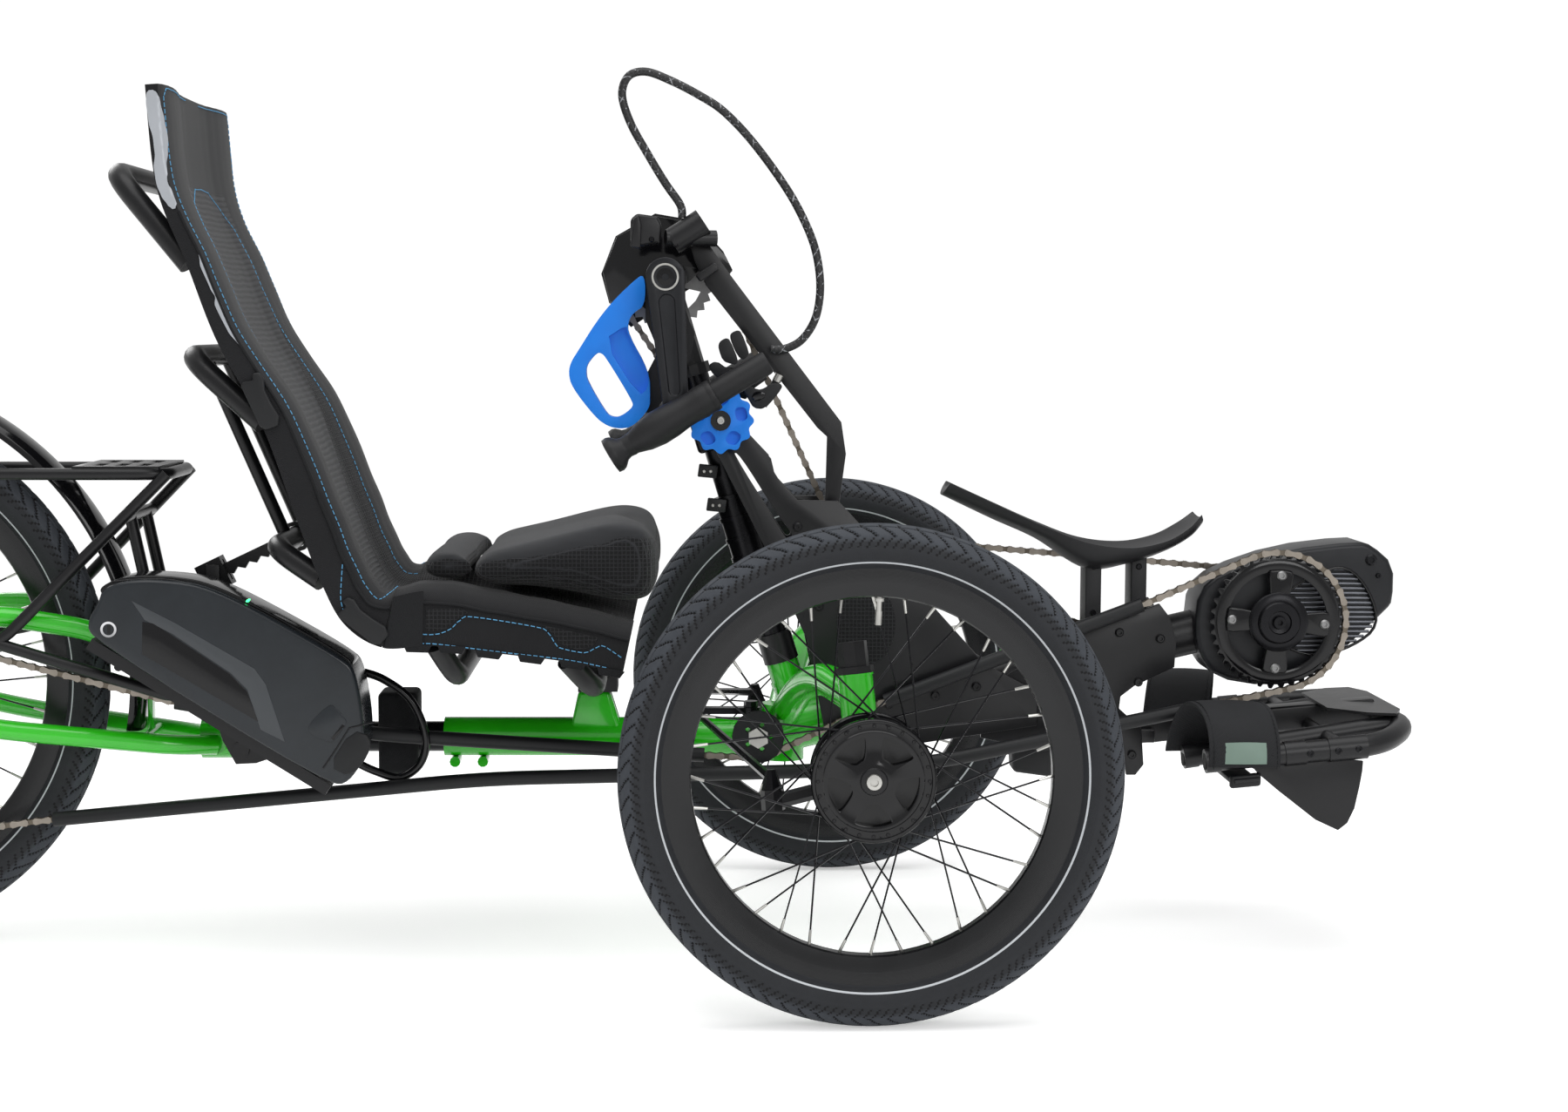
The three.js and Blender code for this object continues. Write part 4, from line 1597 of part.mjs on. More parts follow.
// A saddle-shaped shell that is dished across its width and keeled under its middle.
function calfRest() {
  const rings = calfTop.map((top, i) => {
    const [[tx, tz]] = fitted(calf, [top]);
    const [[bx, bz]] = fitted(calf, [calfBottom[i]]);
    const half = calf.halfWidth * calfWidthShares[i];
    const drop = (tz - bz) * 0.35;
    return [
      at(tx, -half, tz), at(tx, -half * 0.5, tz - drop * 0.7), at(tx, 0, tz - drop), at(tx, half * 0.5, tz - drop * 0.7), at(tx, half, tz),
      at(bx, half, tz - drop * 0.9), at(bx, half * 0.5, bz + drop * 0.5), at(bx, 0, bz), at(bx, -half * 0.5, bz + drop * 0.5), at(bx, -half, tz - drop * 0.9),
    ];
  });
  const body = loft(rings);
  const posts = [calfPost.firstX, calfPost.secondX].map((x) => {
    const footZ = onBoom(x).z + boom.radius + gap;
    const topZ = calf.z + calf.height * 0.25;
    return block(x, 0, (footZ + topZ) / 2, calfPost.length, 2 * calfPost.halfWidth, topZ - footZ);
  });
  const boomRoom = rod(onBoom(calf.x), onBoom(boom.frontX), boom.radius + gap, 12);
  const spacer = onBoom(bracketPlate.x + bracketPlate.length * 0.6);
  const spacerRoom = block(spacer.x, 0, spacer.z, 2 * boom.radius + 2 * gap, 2 * bracketPlate.outer, 1.4 * boom.radius + 2 * gap);
  piece("calf_rest", cut(join(body, posts), boomRoom, spacerRoom), finish.satinBlack);
}

// Assembly

mainFrame();
mainInnerTube();
rearFrame();
mudguardPiece();
rackPiece();
batteryCase();
batteryLockPiece();
batteryMount();
cableBoxPiece();
seatFramePiece();
piece("seat_back_cover", coverSolid(0, seatBackStations - 1), finish.fabric);
piece("seat_base_cover", coverSolid(seatBackStations - 1, seatEdgeShares.length - 1), finish.fabric);
cushionPiece();
seatMount();
strutPiece();
strutClampPiece();
frontBoom();
towerPlatePiece(-1, "right");
towerPlatePiece(1, "left");
columnPiece();
knobPiece();
headPiece();
handlePiece();
crankAxle();
controlBarPiece();
cablePiece();
jackshaftPiece();
motorCase();
motorChainring();
idlerPiece();
idlerBracket();
cassettePiece();
jockeyPiece(upperJockey, "jockey_wheel_upper");
jockeyPiece(lowerJockey, "jockey_wheel_lower");
derailleurPiece();
chains();
chainTubes();
footFrame();
calfRest();
bellCrank();
rearWheelPieces();
for (const [side, name] of [[-1, "right"], [1, "left"]]) {
  crankArmPiece(side, name);
  gripPiece(side, name);
  footStrapPiece(side, name);
  knuckle(side, name);
  tieRodPiece(side, name);
  frontWheelPieces(side, name);
}

const bounds = new THREE.Box3().setFromObject(model);
const middle = bounds.getCenter(new THREE.Vector3());
model.position.set(-middle.x, -middle.y, -bounds.min.z);
model.updateMatrixWorld(true);

export default model;
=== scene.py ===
# %% [markdown]
# # A recumbent handcycle, dressed in Blender
# The rider lies back in a strap seat and turns two hand cranks. A chain carries that work past an
# electric motor at the nose to the single rear wheel, and the two front wheels steer.
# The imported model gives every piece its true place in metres. This lesson gives the pieces their looks:
# it adds round tubes, tyres, links, cloth and stitching, and a material for each surface.

import math

import bmesh
import bpy
from mathutils import Matrix, Vector


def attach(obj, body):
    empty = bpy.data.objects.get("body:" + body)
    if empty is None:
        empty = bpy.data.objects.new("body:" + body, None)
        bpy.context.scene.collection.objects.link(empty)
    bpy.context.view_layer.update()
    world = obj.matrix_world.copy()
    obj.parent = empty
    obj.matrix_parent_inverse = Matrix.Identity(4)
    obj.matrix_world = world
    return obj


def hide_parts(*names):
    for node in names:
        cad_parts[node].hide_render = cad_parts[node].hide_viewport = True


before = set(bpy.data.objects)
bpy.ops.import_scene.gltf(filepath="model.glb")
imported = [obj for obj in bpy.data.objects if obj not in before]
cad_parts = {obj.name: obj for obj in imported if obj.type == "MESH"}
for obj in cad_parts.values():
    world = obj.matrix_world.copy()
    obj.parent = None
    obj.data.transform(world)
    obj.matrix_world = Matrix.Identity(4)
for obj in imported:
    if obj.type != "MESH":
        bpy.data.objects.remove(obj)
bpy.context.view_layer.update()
bpy.ops.object.select_all(action="DESELECT")

# %% [markdown]
# ## Places
# The drawing measures millimetres from the front axle. Blender works in metres from the middle of the
# machine, so one small function turns the first into the second. Every later cell uses it.

# %% Places shared by the pieces
MM = 0.001
AXLE_AHEAD = 0.426357
HALF_TRACK = 375
FRONT_AXLE = (0, 250)
REAR_AXLE = (-1124, 300)
CRANK = (-205, 743)
CRANK_PIN = (-193.01, 593.98)
JACK = (-28, 428)
MOTOR = (473, 366)
KNOB = (-145, 588)
CHAIN_PITCH = 12.7
HANDS = ((-1, "right"), (1, "left"))


def at(x, y, z):
    return Vector((x / 1000 + AXLE_AHEAD, y / 1000, z / 1000))


def drawn(place):
    """The drawing's (x, z) of a place in metres."""
    return (place.x - AXLE_AHEAD) * 1000, place.z * 1000


# %% [markdown]
# ## Camera
# The photograph was taken from the rider's right, a little above axle height, with a short telephoto
# lens. The camera's three directions were solved from the wheels, chains and cranks, so they are set as
# a matrix and nothing has to be nudged by eye.

# %% Camera
EYE = at(-180.9, -2865.4, 690.2)
camera_data = bpy.data.cameras.new("camera")
camera_data.sensor_fit = "HORIZONTAL"
camera_data.sensor_width = 36
camera_data.lens = 58.95
camera = bpy.data.objects.new("camera", camera_data)
bpy.context.collection.objects.link(camera)
right = Vector((0.99930, -0.03732, 0.00334)).normalized()
forward = Vector((0.03747, 0.99533, -0.08897)).normalized()
up = right.cross(forward).normalized()
turn = Matrix((right, up, -forward)).transposed()
camera.matrix_world = Matrix.Translation(EYE) @ turn.to_4x4()
bpy.context.scene.camera = camera
print("camera at", tuple(round(v, 3) for v in camera.location))

# %% [markdown]
# ## Shader arithmetic
# A material is a chain of nodes, and its sums read best as sums. One small class wraps a socket, so that
# `1 - mask * 0.3` adds the Math nodes by itself. A second class holds a material while it is built.


# %% Shader helpers
class Sum:
    def __init__(self, paint, socket):
        self.paint = paint
        self.socket = socket

    def _do(self, operation, *values):
        return self.paint.number("ShaderNodeMath", {"operation": operation}, values)

    def __add__(self, other):
        return self._do("ADD", self, other)

    def __sub__(self, other):
        return self._do("SUBTRACT", self, other)

    def __rsub__(self, other):
        return self._do("SUBTRACT", other, self)

    def __mul__(self, other):
        return self._do("MULTIPLY", self, other)

    def __truediv__(self, other):
        return self._do("DIVIDE", self, other)

    def __lt__(self, other):
        return self._do("LESS_THAN", self, other)

    def __gt__(self, other):
        return self._do("GREATER_THAN", self, other)

    __radd__ = __add__
    __rmul__ = __mul__

    def sin(self):
        return self._do("SINE", self)

    def size(self):
        return self._do("ABSOLUTE", self)

    def part(self):
        return self._do("FRACT", self)

    def power(self, other):
        return self._do("POWER", self, other)

    def least(self, other):
        return self._do("MINIMUM", self, other)

    def most(self, other):
        return self._do("MAXIMUM", self, other)

    def angle(self, other):
        return self._do("ARCTAN2", self, other)

    def between(self, low, high):
        return (self > low) * (self < high)


class Paint:
    def __init__(self, name):
        self.material = bpy.data.materials.new(name)
        self.material.use_nodes = True
        self.tree = self.material.node_tree
        self.shader = self.tree.nodes["Principled BSDF"]

    def node(self, kind, settings=None, values=()):
        node = self.tree.nodes.new(kind)
        for key, value in (settings or {}).items():
            setattr(node, key, value)
        pairs = values.items() if isinstance(values, dict) else enumerate(values)
        for key, value in pairs:
            self.feed(node.inputs[key], value)
        return node

    def feed(self, socket, value):
        if isinstance(value, Sum):
            value = value.socket
        if isinstance(value, bpy.types.NodeSocket):
            self.tree.links.new(value, socket)
        else:
            socket.default_value = value

    def number(self, kind, settings=None, values=(), output=0):
        return Sum(self, self.node(kind, settings, values).outputs[output])

    def place(self):
        return self.node("ShaderNodeTexCoord").outputs["Object"]

    def axes(self, vector):
        parts = self.node("ShaderNodeSeparateXYZ", values=[vector])
        return [Sum(self, out) for out in parts.outputs]

    def from_axle(self, centre):
        """Metres along and up from the axle through centre (x, z), and millimetres straight out."""
        x, _, z = self.axes(self.place())
        away_x, away_z = x - at(centre[0], 0, 0).x, z - centre[1] * MM
        return away_x, away_z, (away_x * away_x + away_z * away_z).power(0.5) * 1000

    def noise(self, scale, detail=3, rough=0.5, vector=None):
        values = {"Vector": vector or self.place(), "Scale": scale, "Detail": detail, "Roughness": rough}
        return self.number("ShaderNodeTexNoise", values=values)

    def cells(self, scale, random=0.3, feature="F1", vector=None):
        values = {"Vector": vector or self.place(), "Scale": scale, "Randomness": random}
        return self.number("ShaderNodeTexVoronoi", {"feature": feature}, values)

    def mix(self, share, first, second):
        node = self.tree.nodes.new("ShaderNodeMix")
        node.data_type = "RGBA"
        for socket, value in zip([node.inputs[0], node.inputs[6], node.inputs[7]], [share, first, second]):
            self.feed(socket, value)
        return node.outputs[2]

    def bump(self, height, depth, strength=1.0, normal=None):
        values = {"Height": height, "Distance": depth, "Strength": strength}
        if normal is not None:
            values["Normal"] = normal
        return self.node("ShaderNodeBump", values=values).outputs["Normal"]

    def set(self, **sockets):
        for name, value in sockets.items():
            self.feed(self.shader.inputs[name.replace("_", " ")], value)
        return self.material


def srgb(red, green, blue):
    def linear(value):
        value /= 255
        return value / 12.92 if value <= 0.04045 else ((value + 0.055) / 1.055) ** 2.4

    return (linear(red), linear(green), linear(blue), 1)


def scaled(colour, factor):
    return tuple(min(1, v * factor) for v in colour[:3]) + (1,)


# %% [markdown]
# ## Paint, plastic and metal
# The frame is bright green gloss paint. Nearly everything else is black, but no two blacks are alike:
# powder coat is satin with a fine orange peel, forged arms are smooth anodised metal, plastic has a
# spark texture. Each finish gets its own roughness, grain and a little dust or wear.


# %% Painted and coated metal
DULL = 0.34


def green_paint():
    paint = Paint("green_gloss_paint")
    peel = paint.noise(900, 2)
    cloud = paint.noise(7, 3)
    colour = paint.mix(cloud, srgb(26, 188, 10), srgb(54, 216, 26))
    return paint.set(Base_Color=colour, Roughness=0.2 + cloud * 0.1, Coat_Weight=0.6, Coat_Roughness=0.06,
                     Normal=paint.bump(peel, 0.00001, 0.3))


def black_coat(name, shade, roughness, peel_scale, peel_depth, metallic=0.0):
    paint = Paint(name)
    peel = paint.noise(peel_scale, 3, 0.6)
    wear = paint.noise(28, 5, 0.65)
    colour = paint.mix(wear, scaled(shade, 0.75), scaled(shade, 1.35))
    return paint.set(Base_Color=colour, Roughness=roughness - 0.06 + wear * 0.12, Metallic=metallic,
                     Specular_IOR_Level=DULL, Normal=paint.bump(peel, peel_depth, 0.6))


GREEN = green_paint()
POWDER = black_coat("black_powder_coat", srgb(20, 20, 22), 0.36, 1400, 0.00008)
ANODISED = black_coat("black_anodised", srgb(22, 22, 25), 0.28, 2200, 0.00003, 0.55)
FORGED = black_coat("forged_black_arm", srgb(32, 33, 36), 0.32, 1800, 0.00004, 0.4)
PLASTIC = black_coat("black_moulded_plastic", srgb(20, 21, 23), 0.5, 1900, 0.00012)
GLOSS = black_coat("black_gloss_plastic", srgb(14, 14, 16), 0.12, 500, 0.00002)
GRIP = black_coat("grip_rubber", srgb(24, 24, 26), 0.5, 1500, 0.00015)
DARK_GREY = black_coat("battery_shell", srgb(36, 40, 44), 0.22, 1700, 0.00008)
print("coats:", GREEN.name, POWDER.name, ANODISED.name)


# %% Steel, alloy and blue plastic
def bright_metal(name, colour, roughness, grain=350):
    paint = Paint(name)
    x, y, z = paint.axes(paint.place())
    stretched = paint.node("ShaderNodeCombineXYZ", values=[x, y * 8, z]).outputs[0]
    brushed = paint.noise(grain, 4, 0.7, stretched)
    oil = paint.noise(60, 4)
    shade = paint.mix(oil, scaled(colour, 0.55), colour)
    return paint.set(Base_Color=shade, Roughness=roughness + brushed * 0.18, Metallic=1.0,
                     Normal=paint.bump(brushed, 0.00004, 0.4))


def blue_plastic():
    paint = Paint("blue_moulded_plastic")
    spark = paint.cells(1500, 1)
    cloud = paint.noise(18, 3)
    colour = paint.mix(cloud, srgb(0, 112, 224), srgb(0, 142, 250))
    return paint.set(Base_Color=colour, Roughness=0.4 + cloud * 0.12, Normal=paint.bump(spark, 0.00012, 0.5))


STEEL = bright_metal("bright_steel", srgb(206, 205, 200), 0.24)
CHAIN = bright_metal("chain_steel", srgb(158, 150, 140), 0.26)
CHAIN_INNER = bright_metal("chain_inner_plates", srgb(116, 108, 97), 0.3)
SPROCKET = bright_metal("sprocket_steel", srgb(150, 150, 150), 0.3)
CHROME = bright_metal("chromed_lock", srgb(225, 225, 228), 0.08, 120)
BLUE = blue_plastic()

# %% [markdown]
# ## Modelling helpers
# Most of the machine is bent tube, turned rings and flat plates. Each has one helper that does what a
# hand would do: sweep a round section along a path, spin a profile, or extrude an outline. They all
# leave the object at the origin, with its place in the mesh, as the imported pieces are.
# The first helpers work out points: places round a circle, smooth curves through a few points, and
# outlines with their corners cut.


# %% Points, curves and outlines
def polar(centre, radius, angle):
    return centre[0] + radius * math.cos(angle), centre[1] + radius * math.sin(angle)


def on_circle(centre, radius, angle, y):
    x, z = polar(centre, radius, angle)
    return at(x, y, z)


def turns(count):
    return [2 * math.pi * i / count for i in range(count)]


def ring_points(centre, radius, count=24):
    return [polar(centre, radius, angle) for angle in turns(count)]


def rectangle(x0, x1, z0, z1):
    return [(x0, z0), (x1, z0), (x1, z1), (x0, z1)]


def fitted(box, shares):
    """Shares of a box (x, z, length, height) as points of the drawing."""
    x, z, length, height = box
    return [(x + a * length, z + b * height) for a, b in shares]


def outward(side, inner, outer):
    """The two faces of a plate on one side of the machine, the lower y first."""
    return sorted((side * inner, side * outer))


def ease(t):
    return t * t * (3 - 2 * t)


def round_outline(points, passes=2):
    for _ in range(passes):
        cut = []
        for a, b in zip(points, points[1:] + points[:1]):
            cut.append((a[0] * 0.75 + b[0] * 0.25, a[1] * 0.75 + b[1] * 0.25))
            cut.append((a[0] * 0.25 + b[0] * 0.75, a[1] * 0.25 + b[1] * 0.75))
        points = cut
    return points


def rounded_path(points, bend, steps=8):
    path = [points[0]]
    for before, corner, after in zip(points, points[1:], points[2:]):
        reach = min(bend * MM, (before - corner).length / 2.02, (after - corner).length / 2.02)
        start = corner + (before - corner).normalized() * reach
        end = corner + (after - corner).normalized() * reach
        for i in range(steps + 1):
            t = i / steps
            path.append(start * (1 - t) ** 2 + corner * 2 * t * (1 - t) + end * t * t)
    return path + [points[-1]]


def smooth_value(values, share):
    """The value at a share of the way along a smooth curve through a list, counted in its steps."""
    last = len(values) - 1
    k = min(int(share), last - 1)
    t = share - k
    a, b, c, d = values[max(k - 1, 0)], values[k], values[k + 1], values[min(k + 2, last)]
    return 0.5 * (2 * b + (c - a) * t + (2 * a - 5 * b + 4 * c - d) * t * t
                  + (3 * b - a - 3 * c + d) * t ** 3)


def flowing(points, count=60):
    return [smooth_value(points, i / count * (len(points) - 1)) for i in range(count + 1)]


def grid_faces(rows, columns):
    """Quads of an open sheet with columns + 1 points in each row."""
    step = columns + 1
    return [tuple(i * step + j + corner for corner in (0, step, step + 1, 1))
            for i in range(rows) for j in range(columns)]


def ring_faces(rings, count):
    """Quads of a closed skin over rings of count points, with a cap at each end."""
    faces = []
    for i in range(rings):
        for j in range(count):
            k = (j + 1) % count
            faces.append((i * count + j, (i + 1) * count + j, (i + 1) * count + k, i * count + k))
    return faces + [tuple(range(count)), tuple(range(rings * count, (rings + 1) * count))]


# %% Helpers for every new piece
def only(piece):
    bpy.ops.object.select_all(action="DESELECT")
    piece.select_set(True)
    bpy.context.view_layer.objects.active = piece


def raw_mesh(name, points, edges=(), faces=()):
    mesh = bpy.data.meshes.new(name)
    mesh.from_pydata([tuple(p) for p in points], list(edges), list(faces))
    piece = bpy.data.objects.new(name, mesh)
    bpy.context.collection.objects.link(piece)
    only(piece)
    return piece


def outwards(piece, merge=0.00001):
    only(piece)
    bpy.ops.object.mode_set(mode="EDIT")
    bpy.ops.mesh.select_all(action="SELECT")
    bpy.ops.mesh.remove_doubles(threshold=merge)
    bpy.ops.mesh.normals_make_consistent(inside=False)
    bpy.ops.object.mode_set(mode="OBJECT")
    return piece


def modify(piece, kind, **settings):
    only(piece)
    modifier = piece.modifiers.new(kind.lower(), kind)
    for key, value in settings.items():
        setattr(modifier, key, value)
    bpy.ops.object.modifier_apply(modifier=modifier.name)
    return piece


def soften(piece, width=0.8, segments=2, angle=35):
    return modify(piece, "BEVEL", width=width * MM, segments=segments, limit_method="ANGLE",
                  angle_limit=math.radians(angle), use_clamp_overlap=True)


def shade(piece, angle=38):
    only(piece)
    bpy.ops.object.shade_smooth_by_angle(angle=math.radians(angle))
    return piece


def join(name, pieces):
    bpy.ops.object.select_all(action="DESELECT")
    for piece in pieces:
        piece.select_set(True)
    bpy.context.view_layer.objects.active = pieces[0]
    if len(pieces) > 1:
        bpy.ops.object.join()
    whole = bpy.context.view_layer.objects.active
    whole.name = name
    whole.data.name = name
    return whole


def settle(piece, body, material=None, stands_for=(), slot=None, angle=38):
    if angle:
        shade(piece, angle)
    if material:
        piece.data.materials.clear()
        piece.data.materials.append(material)
    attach(piece, body)
    if stands_for:
        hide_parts(*stands_for)
    return piece


def trim(piece, body, material, slot, angle=38):
    """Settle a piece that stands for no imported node."""
    return settle(piece, body, material, (), slot, angle)


def tube(name, points, radius, bend=0.0, round_steps=4, steps=8, closed=False):
    curve = bpy.data.curves.new(name, "CURVE")
    curve.dimensions = "3D"
    curve.bevel_depth = radius * MM
    curve.bevel_resolution = round_steps
    curve.use_fill_caps = not closed
    path = rounded_path(points, bend, steps) if bend else points
    spline = curve.splines.new("POLY")
    spline.points.add(len(path) - 1)
    for point, place in zip(spline.points, path):
        point.co = (*place, 1)
    spline.use_cyclic_u = closed
    piece = bpy.data.objects.new(name, curve)
    bpy.context.collection.objects.link(piece)
    only(piece)
    bpy.ops.object.convert(target="MESH")
    return outwards(bpy.context.view_layer.objects.active)


def rod(name, start, end, radius, round_steps=5):
    return tube(name, [start, end], radius, 0, round_steps)


def turned(name, profile, centre, steps=64, closed=True, wedges=1):
    """Spin a profile of (radius, y) about the axle through centre (x, z).

    A fine piece is spun as one wedge first, and the wedge is repeated round the axle, which is quicker.
    """
    points = [at(centre[0] + radius, y, centre[1]) for radius, y in profile]
    count = len(points)
    edges = [(i, i + 1) for i in range(count - 1)]
    if closed:
        edges.append((count - 1, 0))
    piece = raw_mesh(name, points, edges)
    middle, wedge, axle = at(centre[0], 0, centre[1]), 2 * math.pi / wedges, (0, 1, 0)
    bpy.ops.object.mode_set(mode="EDIT")
    bpy.ops.mesh.select_all(action="SELECT")
    bpy.ops.mesh.spin(steps=steps // wedges, angle=wedge, center=middle, axis=axle)
    if wedges > 1:
        rest = wedges - 1
        bpy.ops.mesh.select_all(action="SELECT")
        bpy.ops.mesh.spin(steps=rest, angle=wedge * rest, dupli=True, center=middle, axis=axle)
        bpy.ops.mesh.select_all(action="SELECT")
        bpy.ops.mesh.remove_doubles(threshold=0.00002)
    bpy.ops.object.mode_set(mode="OBJECT")
    return outwards(piece)


def plate(name, outline, near, far):
    """Extrude an outline of (x, z) points from one y to another."""
    piece = raw_mesh(name, [at(x, near, z) for x, z in outline], faces=[tuple(range(len(outline)))])
    bpy.ops.object.mode_set(mode="EDIT")
    bpy.ops.mesh.select_all(action="SELECT")
    bpy.ops.mesh.extrude_region_move(TRANSFORM_OT_translate={"value": (0, (far - near) * MM, 0)})
    bpy.ops.object.mode_set(mode="OBJECT")
    return outwards(piece)


def carve(piece, cutters):
    for cutter in cutters:
        modifier = piece.modifiers.new("carve", "BOOLEAN")
        modifier.operation = "DIFFERENCE"
        modifier.solver = "EXACT"
        modifier.object = cutter
        only(piece)
        bpy.ops.object.modifier_apply(modifier=modifier.name)
        bpy.data.objects.remove(cutter, do_unlink=True)
    return piece


def copies(name, pattern, places):
    """One mesh made of a small pattern repeated at many places."""
    source = pattern.data
    points, faces = [], []
    for place in places:
        start = len(points)
        points += [place @ v.co for v in source.vertices]
        faces += [tuple(start + i for i in polygon.vertices) for polygon in source.polygons]
    bpy.data.objects.remove(pattern, do_unlink=True)
    return raw_mesh(name, points, faces=faces)


def bolt(x, z, face, radius=5, height=4, side=-1):
    """A button-headed bolt with a sunk socket, seen from the side it faces."""
    shoulder, top, floor = (face + side * height * share for share in (0.45, 1, 0.4))
    profile = [(0, face), (radius, face), (radius, shoulder), (radius * 0.72, top),
               (radius * 0.45, top), (radius * 0.42, floor), (0, floor)]
    return turned("bolt", profile, (x, z), 18, closed=False)


# %% [markdown]
# ## Tyres
# A cycle tyre is a round section with a thin bead at each side. The profile is one arc that is spun
# round the axle. The tread is cut into the mesh: each point in a groove is pushed in by the groove's
# depth. The fine side ribs, the pale stripe and the dust come from the material, which works out the
# angle round the axle and the distance from it.


# %% Tyre material
def tyre_rubber(name, centre, radius):
    paint = Paint(name)
    away_x, away_z, radial = paint.from_axle(centre)
    round_share = away_z.angle(away_x) / (2 * math.pi)
    knurl = (round_share * 900).part() < 0.5
    rings = ((radial * 1.6).part() < 0.5) * radial.between(radius - 42, radius - 38)
    relief = rings * 0.5 + knurl * radial.between(radius - 35, radius - 27) * 0.3
    stripe = radial.between(radius - 38, radius - 36.2)
    dust = paint.noise(40, 5, 0.7)
    # The rubber is lighter towards the tread: the ramp rises between 17 and 12 mm below the tyre's top.
    tread_ramp = ((radial - radius + 17) * 0.2).most(0).least(1)
    clean = paint.mix(tread_ramp, srgb(27, 28, 31), srgb(48, 51, 57))
    dusty = paint.mix(tread_ramp, srgb(46, 48, 52), srgb(70, 74, 80))
    colour = paint.mix(stripe, paint.mix(dust, clean, dusty), srgb(198, 202, 206))
    fine = paint.bump(paint.noise(1300, 3), 0.0001, 0.4)
    return paint.set(Base_Color=colour, Roughness=0.62 + dust * 0.18 - stripe * 0.3,
                     Specular_IOR_Level=DULL, Normal=paint.bump(relief, 0.0011, 1.0, fine))


# %% Tread
PITCHES = 84
STEPS_PER_PITCH = 8
SECTION = 23.5
# Painted shade: the faces in the tread's grooves get a darker black than the tyre's surface.
GROOVE_SHADE = black_coat("tyre_groove_shade", srgb(16, 16, 18), 0.8, 900, 0.0001)


def groove_depth(turn, width):
    """Depth of the tread at a turn counted in pitches and a width from the tyre's middle."""
    side, width = (1 if width > 0 else -1), abs(width)
    if 2.0 < width < 3.6 or 10.2 < width < 11.6:
        return 1.5
    if 4 < width < 10.2 and (turn + side * 0.25 - width * 0.05) % 1 < 0.2:
        return 1.3
    if 11.6 <= width < 25 and (turn + side * 0.25 + width * 0.06) % 1 < 0.2:
        return 1.7
    if 25 <= width < 36 and (turn * 2 - width * 0.08) % 1 < 0.4:
        return 0.8
    return 0


def cut_tread(piece, centre, middle, y):
    """Push the groove points towards the section's middle, and say which they are."""
    cx, cut = at(centre[0], 0, 0).x, set()
    for vertex in piece.data.vertices:
        away_x, away_z = (vertex.co.x - cx) * 1000, vertex.co.z * 1000 - centre[1]
        radius = math.hypot(away_x, away_z)
        lean = math.atan2(vertex.co.y * 1000 - y, radius - middle)
        turn = math.atan2(away_z, away_x) / (2 * math.pi) * PITCHES + 0.06
        depth = groove_depth(turn, lean * SECTION)
        if depth:
            cut.add(vertex.index)
            new = radius - depth * math.cos(lean)
            vertex.co.x = cx + away_x * new / radius * MM
            vertex.co.y -= depth * math.sin(lean) * MM
            vertex.co.z = (centre[1] + away_z * new / radius) * MM
    return cut


# %% Tyres
def tyre(name, centre, radius, y, bead, body, node):
    middle = radius - SECTION
    widths = [-62 + 4 * i for i in range(6)]
    widths += [-38.4 + 1.2 * i for i in range(65)]
    widths += [42 + 4 * i for i in range(6)]
    profile = []
    for angle in (width / SECTION for width in widths):
        profile.append((max(bead + 0.5, middle + SECTION * math.cos(angle)), y + SECTION * math.sin(angle)))
    piece = turned(name, profile, centre, PITCHES * STEPS_PER_PITCH, wedges=28)
    cut = cut_tread(piece, centre, middle, y)
    settle(piece, body, tyre_rubber(name + "_rubber", centre, radius), [node], angle=32)
    # The groove faces take the second material, the painted groove shade.
    piece.data.materials.append(GROOVE_SHADE)
    for face in piece.data.polygons:
        face.material_index = 1 if sum(i in cut for i in face.vertices) > 2 else 0
    return piece


for side, hand in HANDS:
    wheel, node = f"front_wheel_{hand}", f"front_tyre_{hand}"
    tyre(f"tyre_front_{hand}", FRONT_AXLE, 250, side * HALF_TRACK, 203.5, wheel, node)
tyre("tyre_rear", REAR_AXLE, 300, 0, 254, "rear_wheel", "rear_tyre")

# %% [markdown]
# ## Wheels
# A wheel is a rim, thirty-six thin spokes and a hub. The front hubs are drum brakes: a wide flange with
# five scooped pockets round a silver axle nut. The rim is spun from a hollow section. One spoke and one
# silver nipple are modelled and set at each spoke's own two ends.


# %% Rim
def rim_profile(bead, inner, y):
    half = [(inner, 6), (inner + 1.5, 8.5), (bead - 9, 12.2), (bead - 2, 12.5), (bead + 5.5, 12.9),
            (bead + 6.5, 12.2), (bead + 6, 11.2), (bead + 1, 10.6), (bead - 1, 6)]
    return [(r, y + w) for r, w in half] + [(r, y - w) for r, w in reversed(half)]


def rim_material(name, centre, bead):
    paint = Paint(name)
    _, _, radial = paint.from_axle(centre)
    lathe = ((radial * 6).sin() * 0.5 + 0.5) * (radial > bead - 9)
    haze = paint.noise(30, 4, 0.6)
    colour = paint.mix(haze, srgb(14, 14, 16), srgb(26, 27, 29))
    return paint.set(Base_Color=colour, Roughness=0.2 + haze * 0.1, Metallic=0.3,
                     Normal=paint.bump(lathe, 0.00008, 0.5))


# %% Spokes with their nipples
SPOKES = 36
SPOKE_CROSS = math.radians(44)


def spoke_lines(y, rim_inner, flange, offset, centre):
    lines = []
    for i, angle in enumerate(turns(SPOKES)):
        side = 1 if i % 2 else -1
        lead = 1 if (i // 2) % 2 else -1
        start = on_circle(centre, flange - 5, angle + lead * SPOKE_CROSS, y + side * offset + lead * 2.3)
        lines.append((start, on_circle(centre, rim_inner, angle, y + lead * 1.2)))
    return lines


def aligned(start, end):
    along = (end - start).normalized()
    return Matrix.Translation(start) @ along.to_track_quat("Z", "Y").to_matrix().to_4x4()


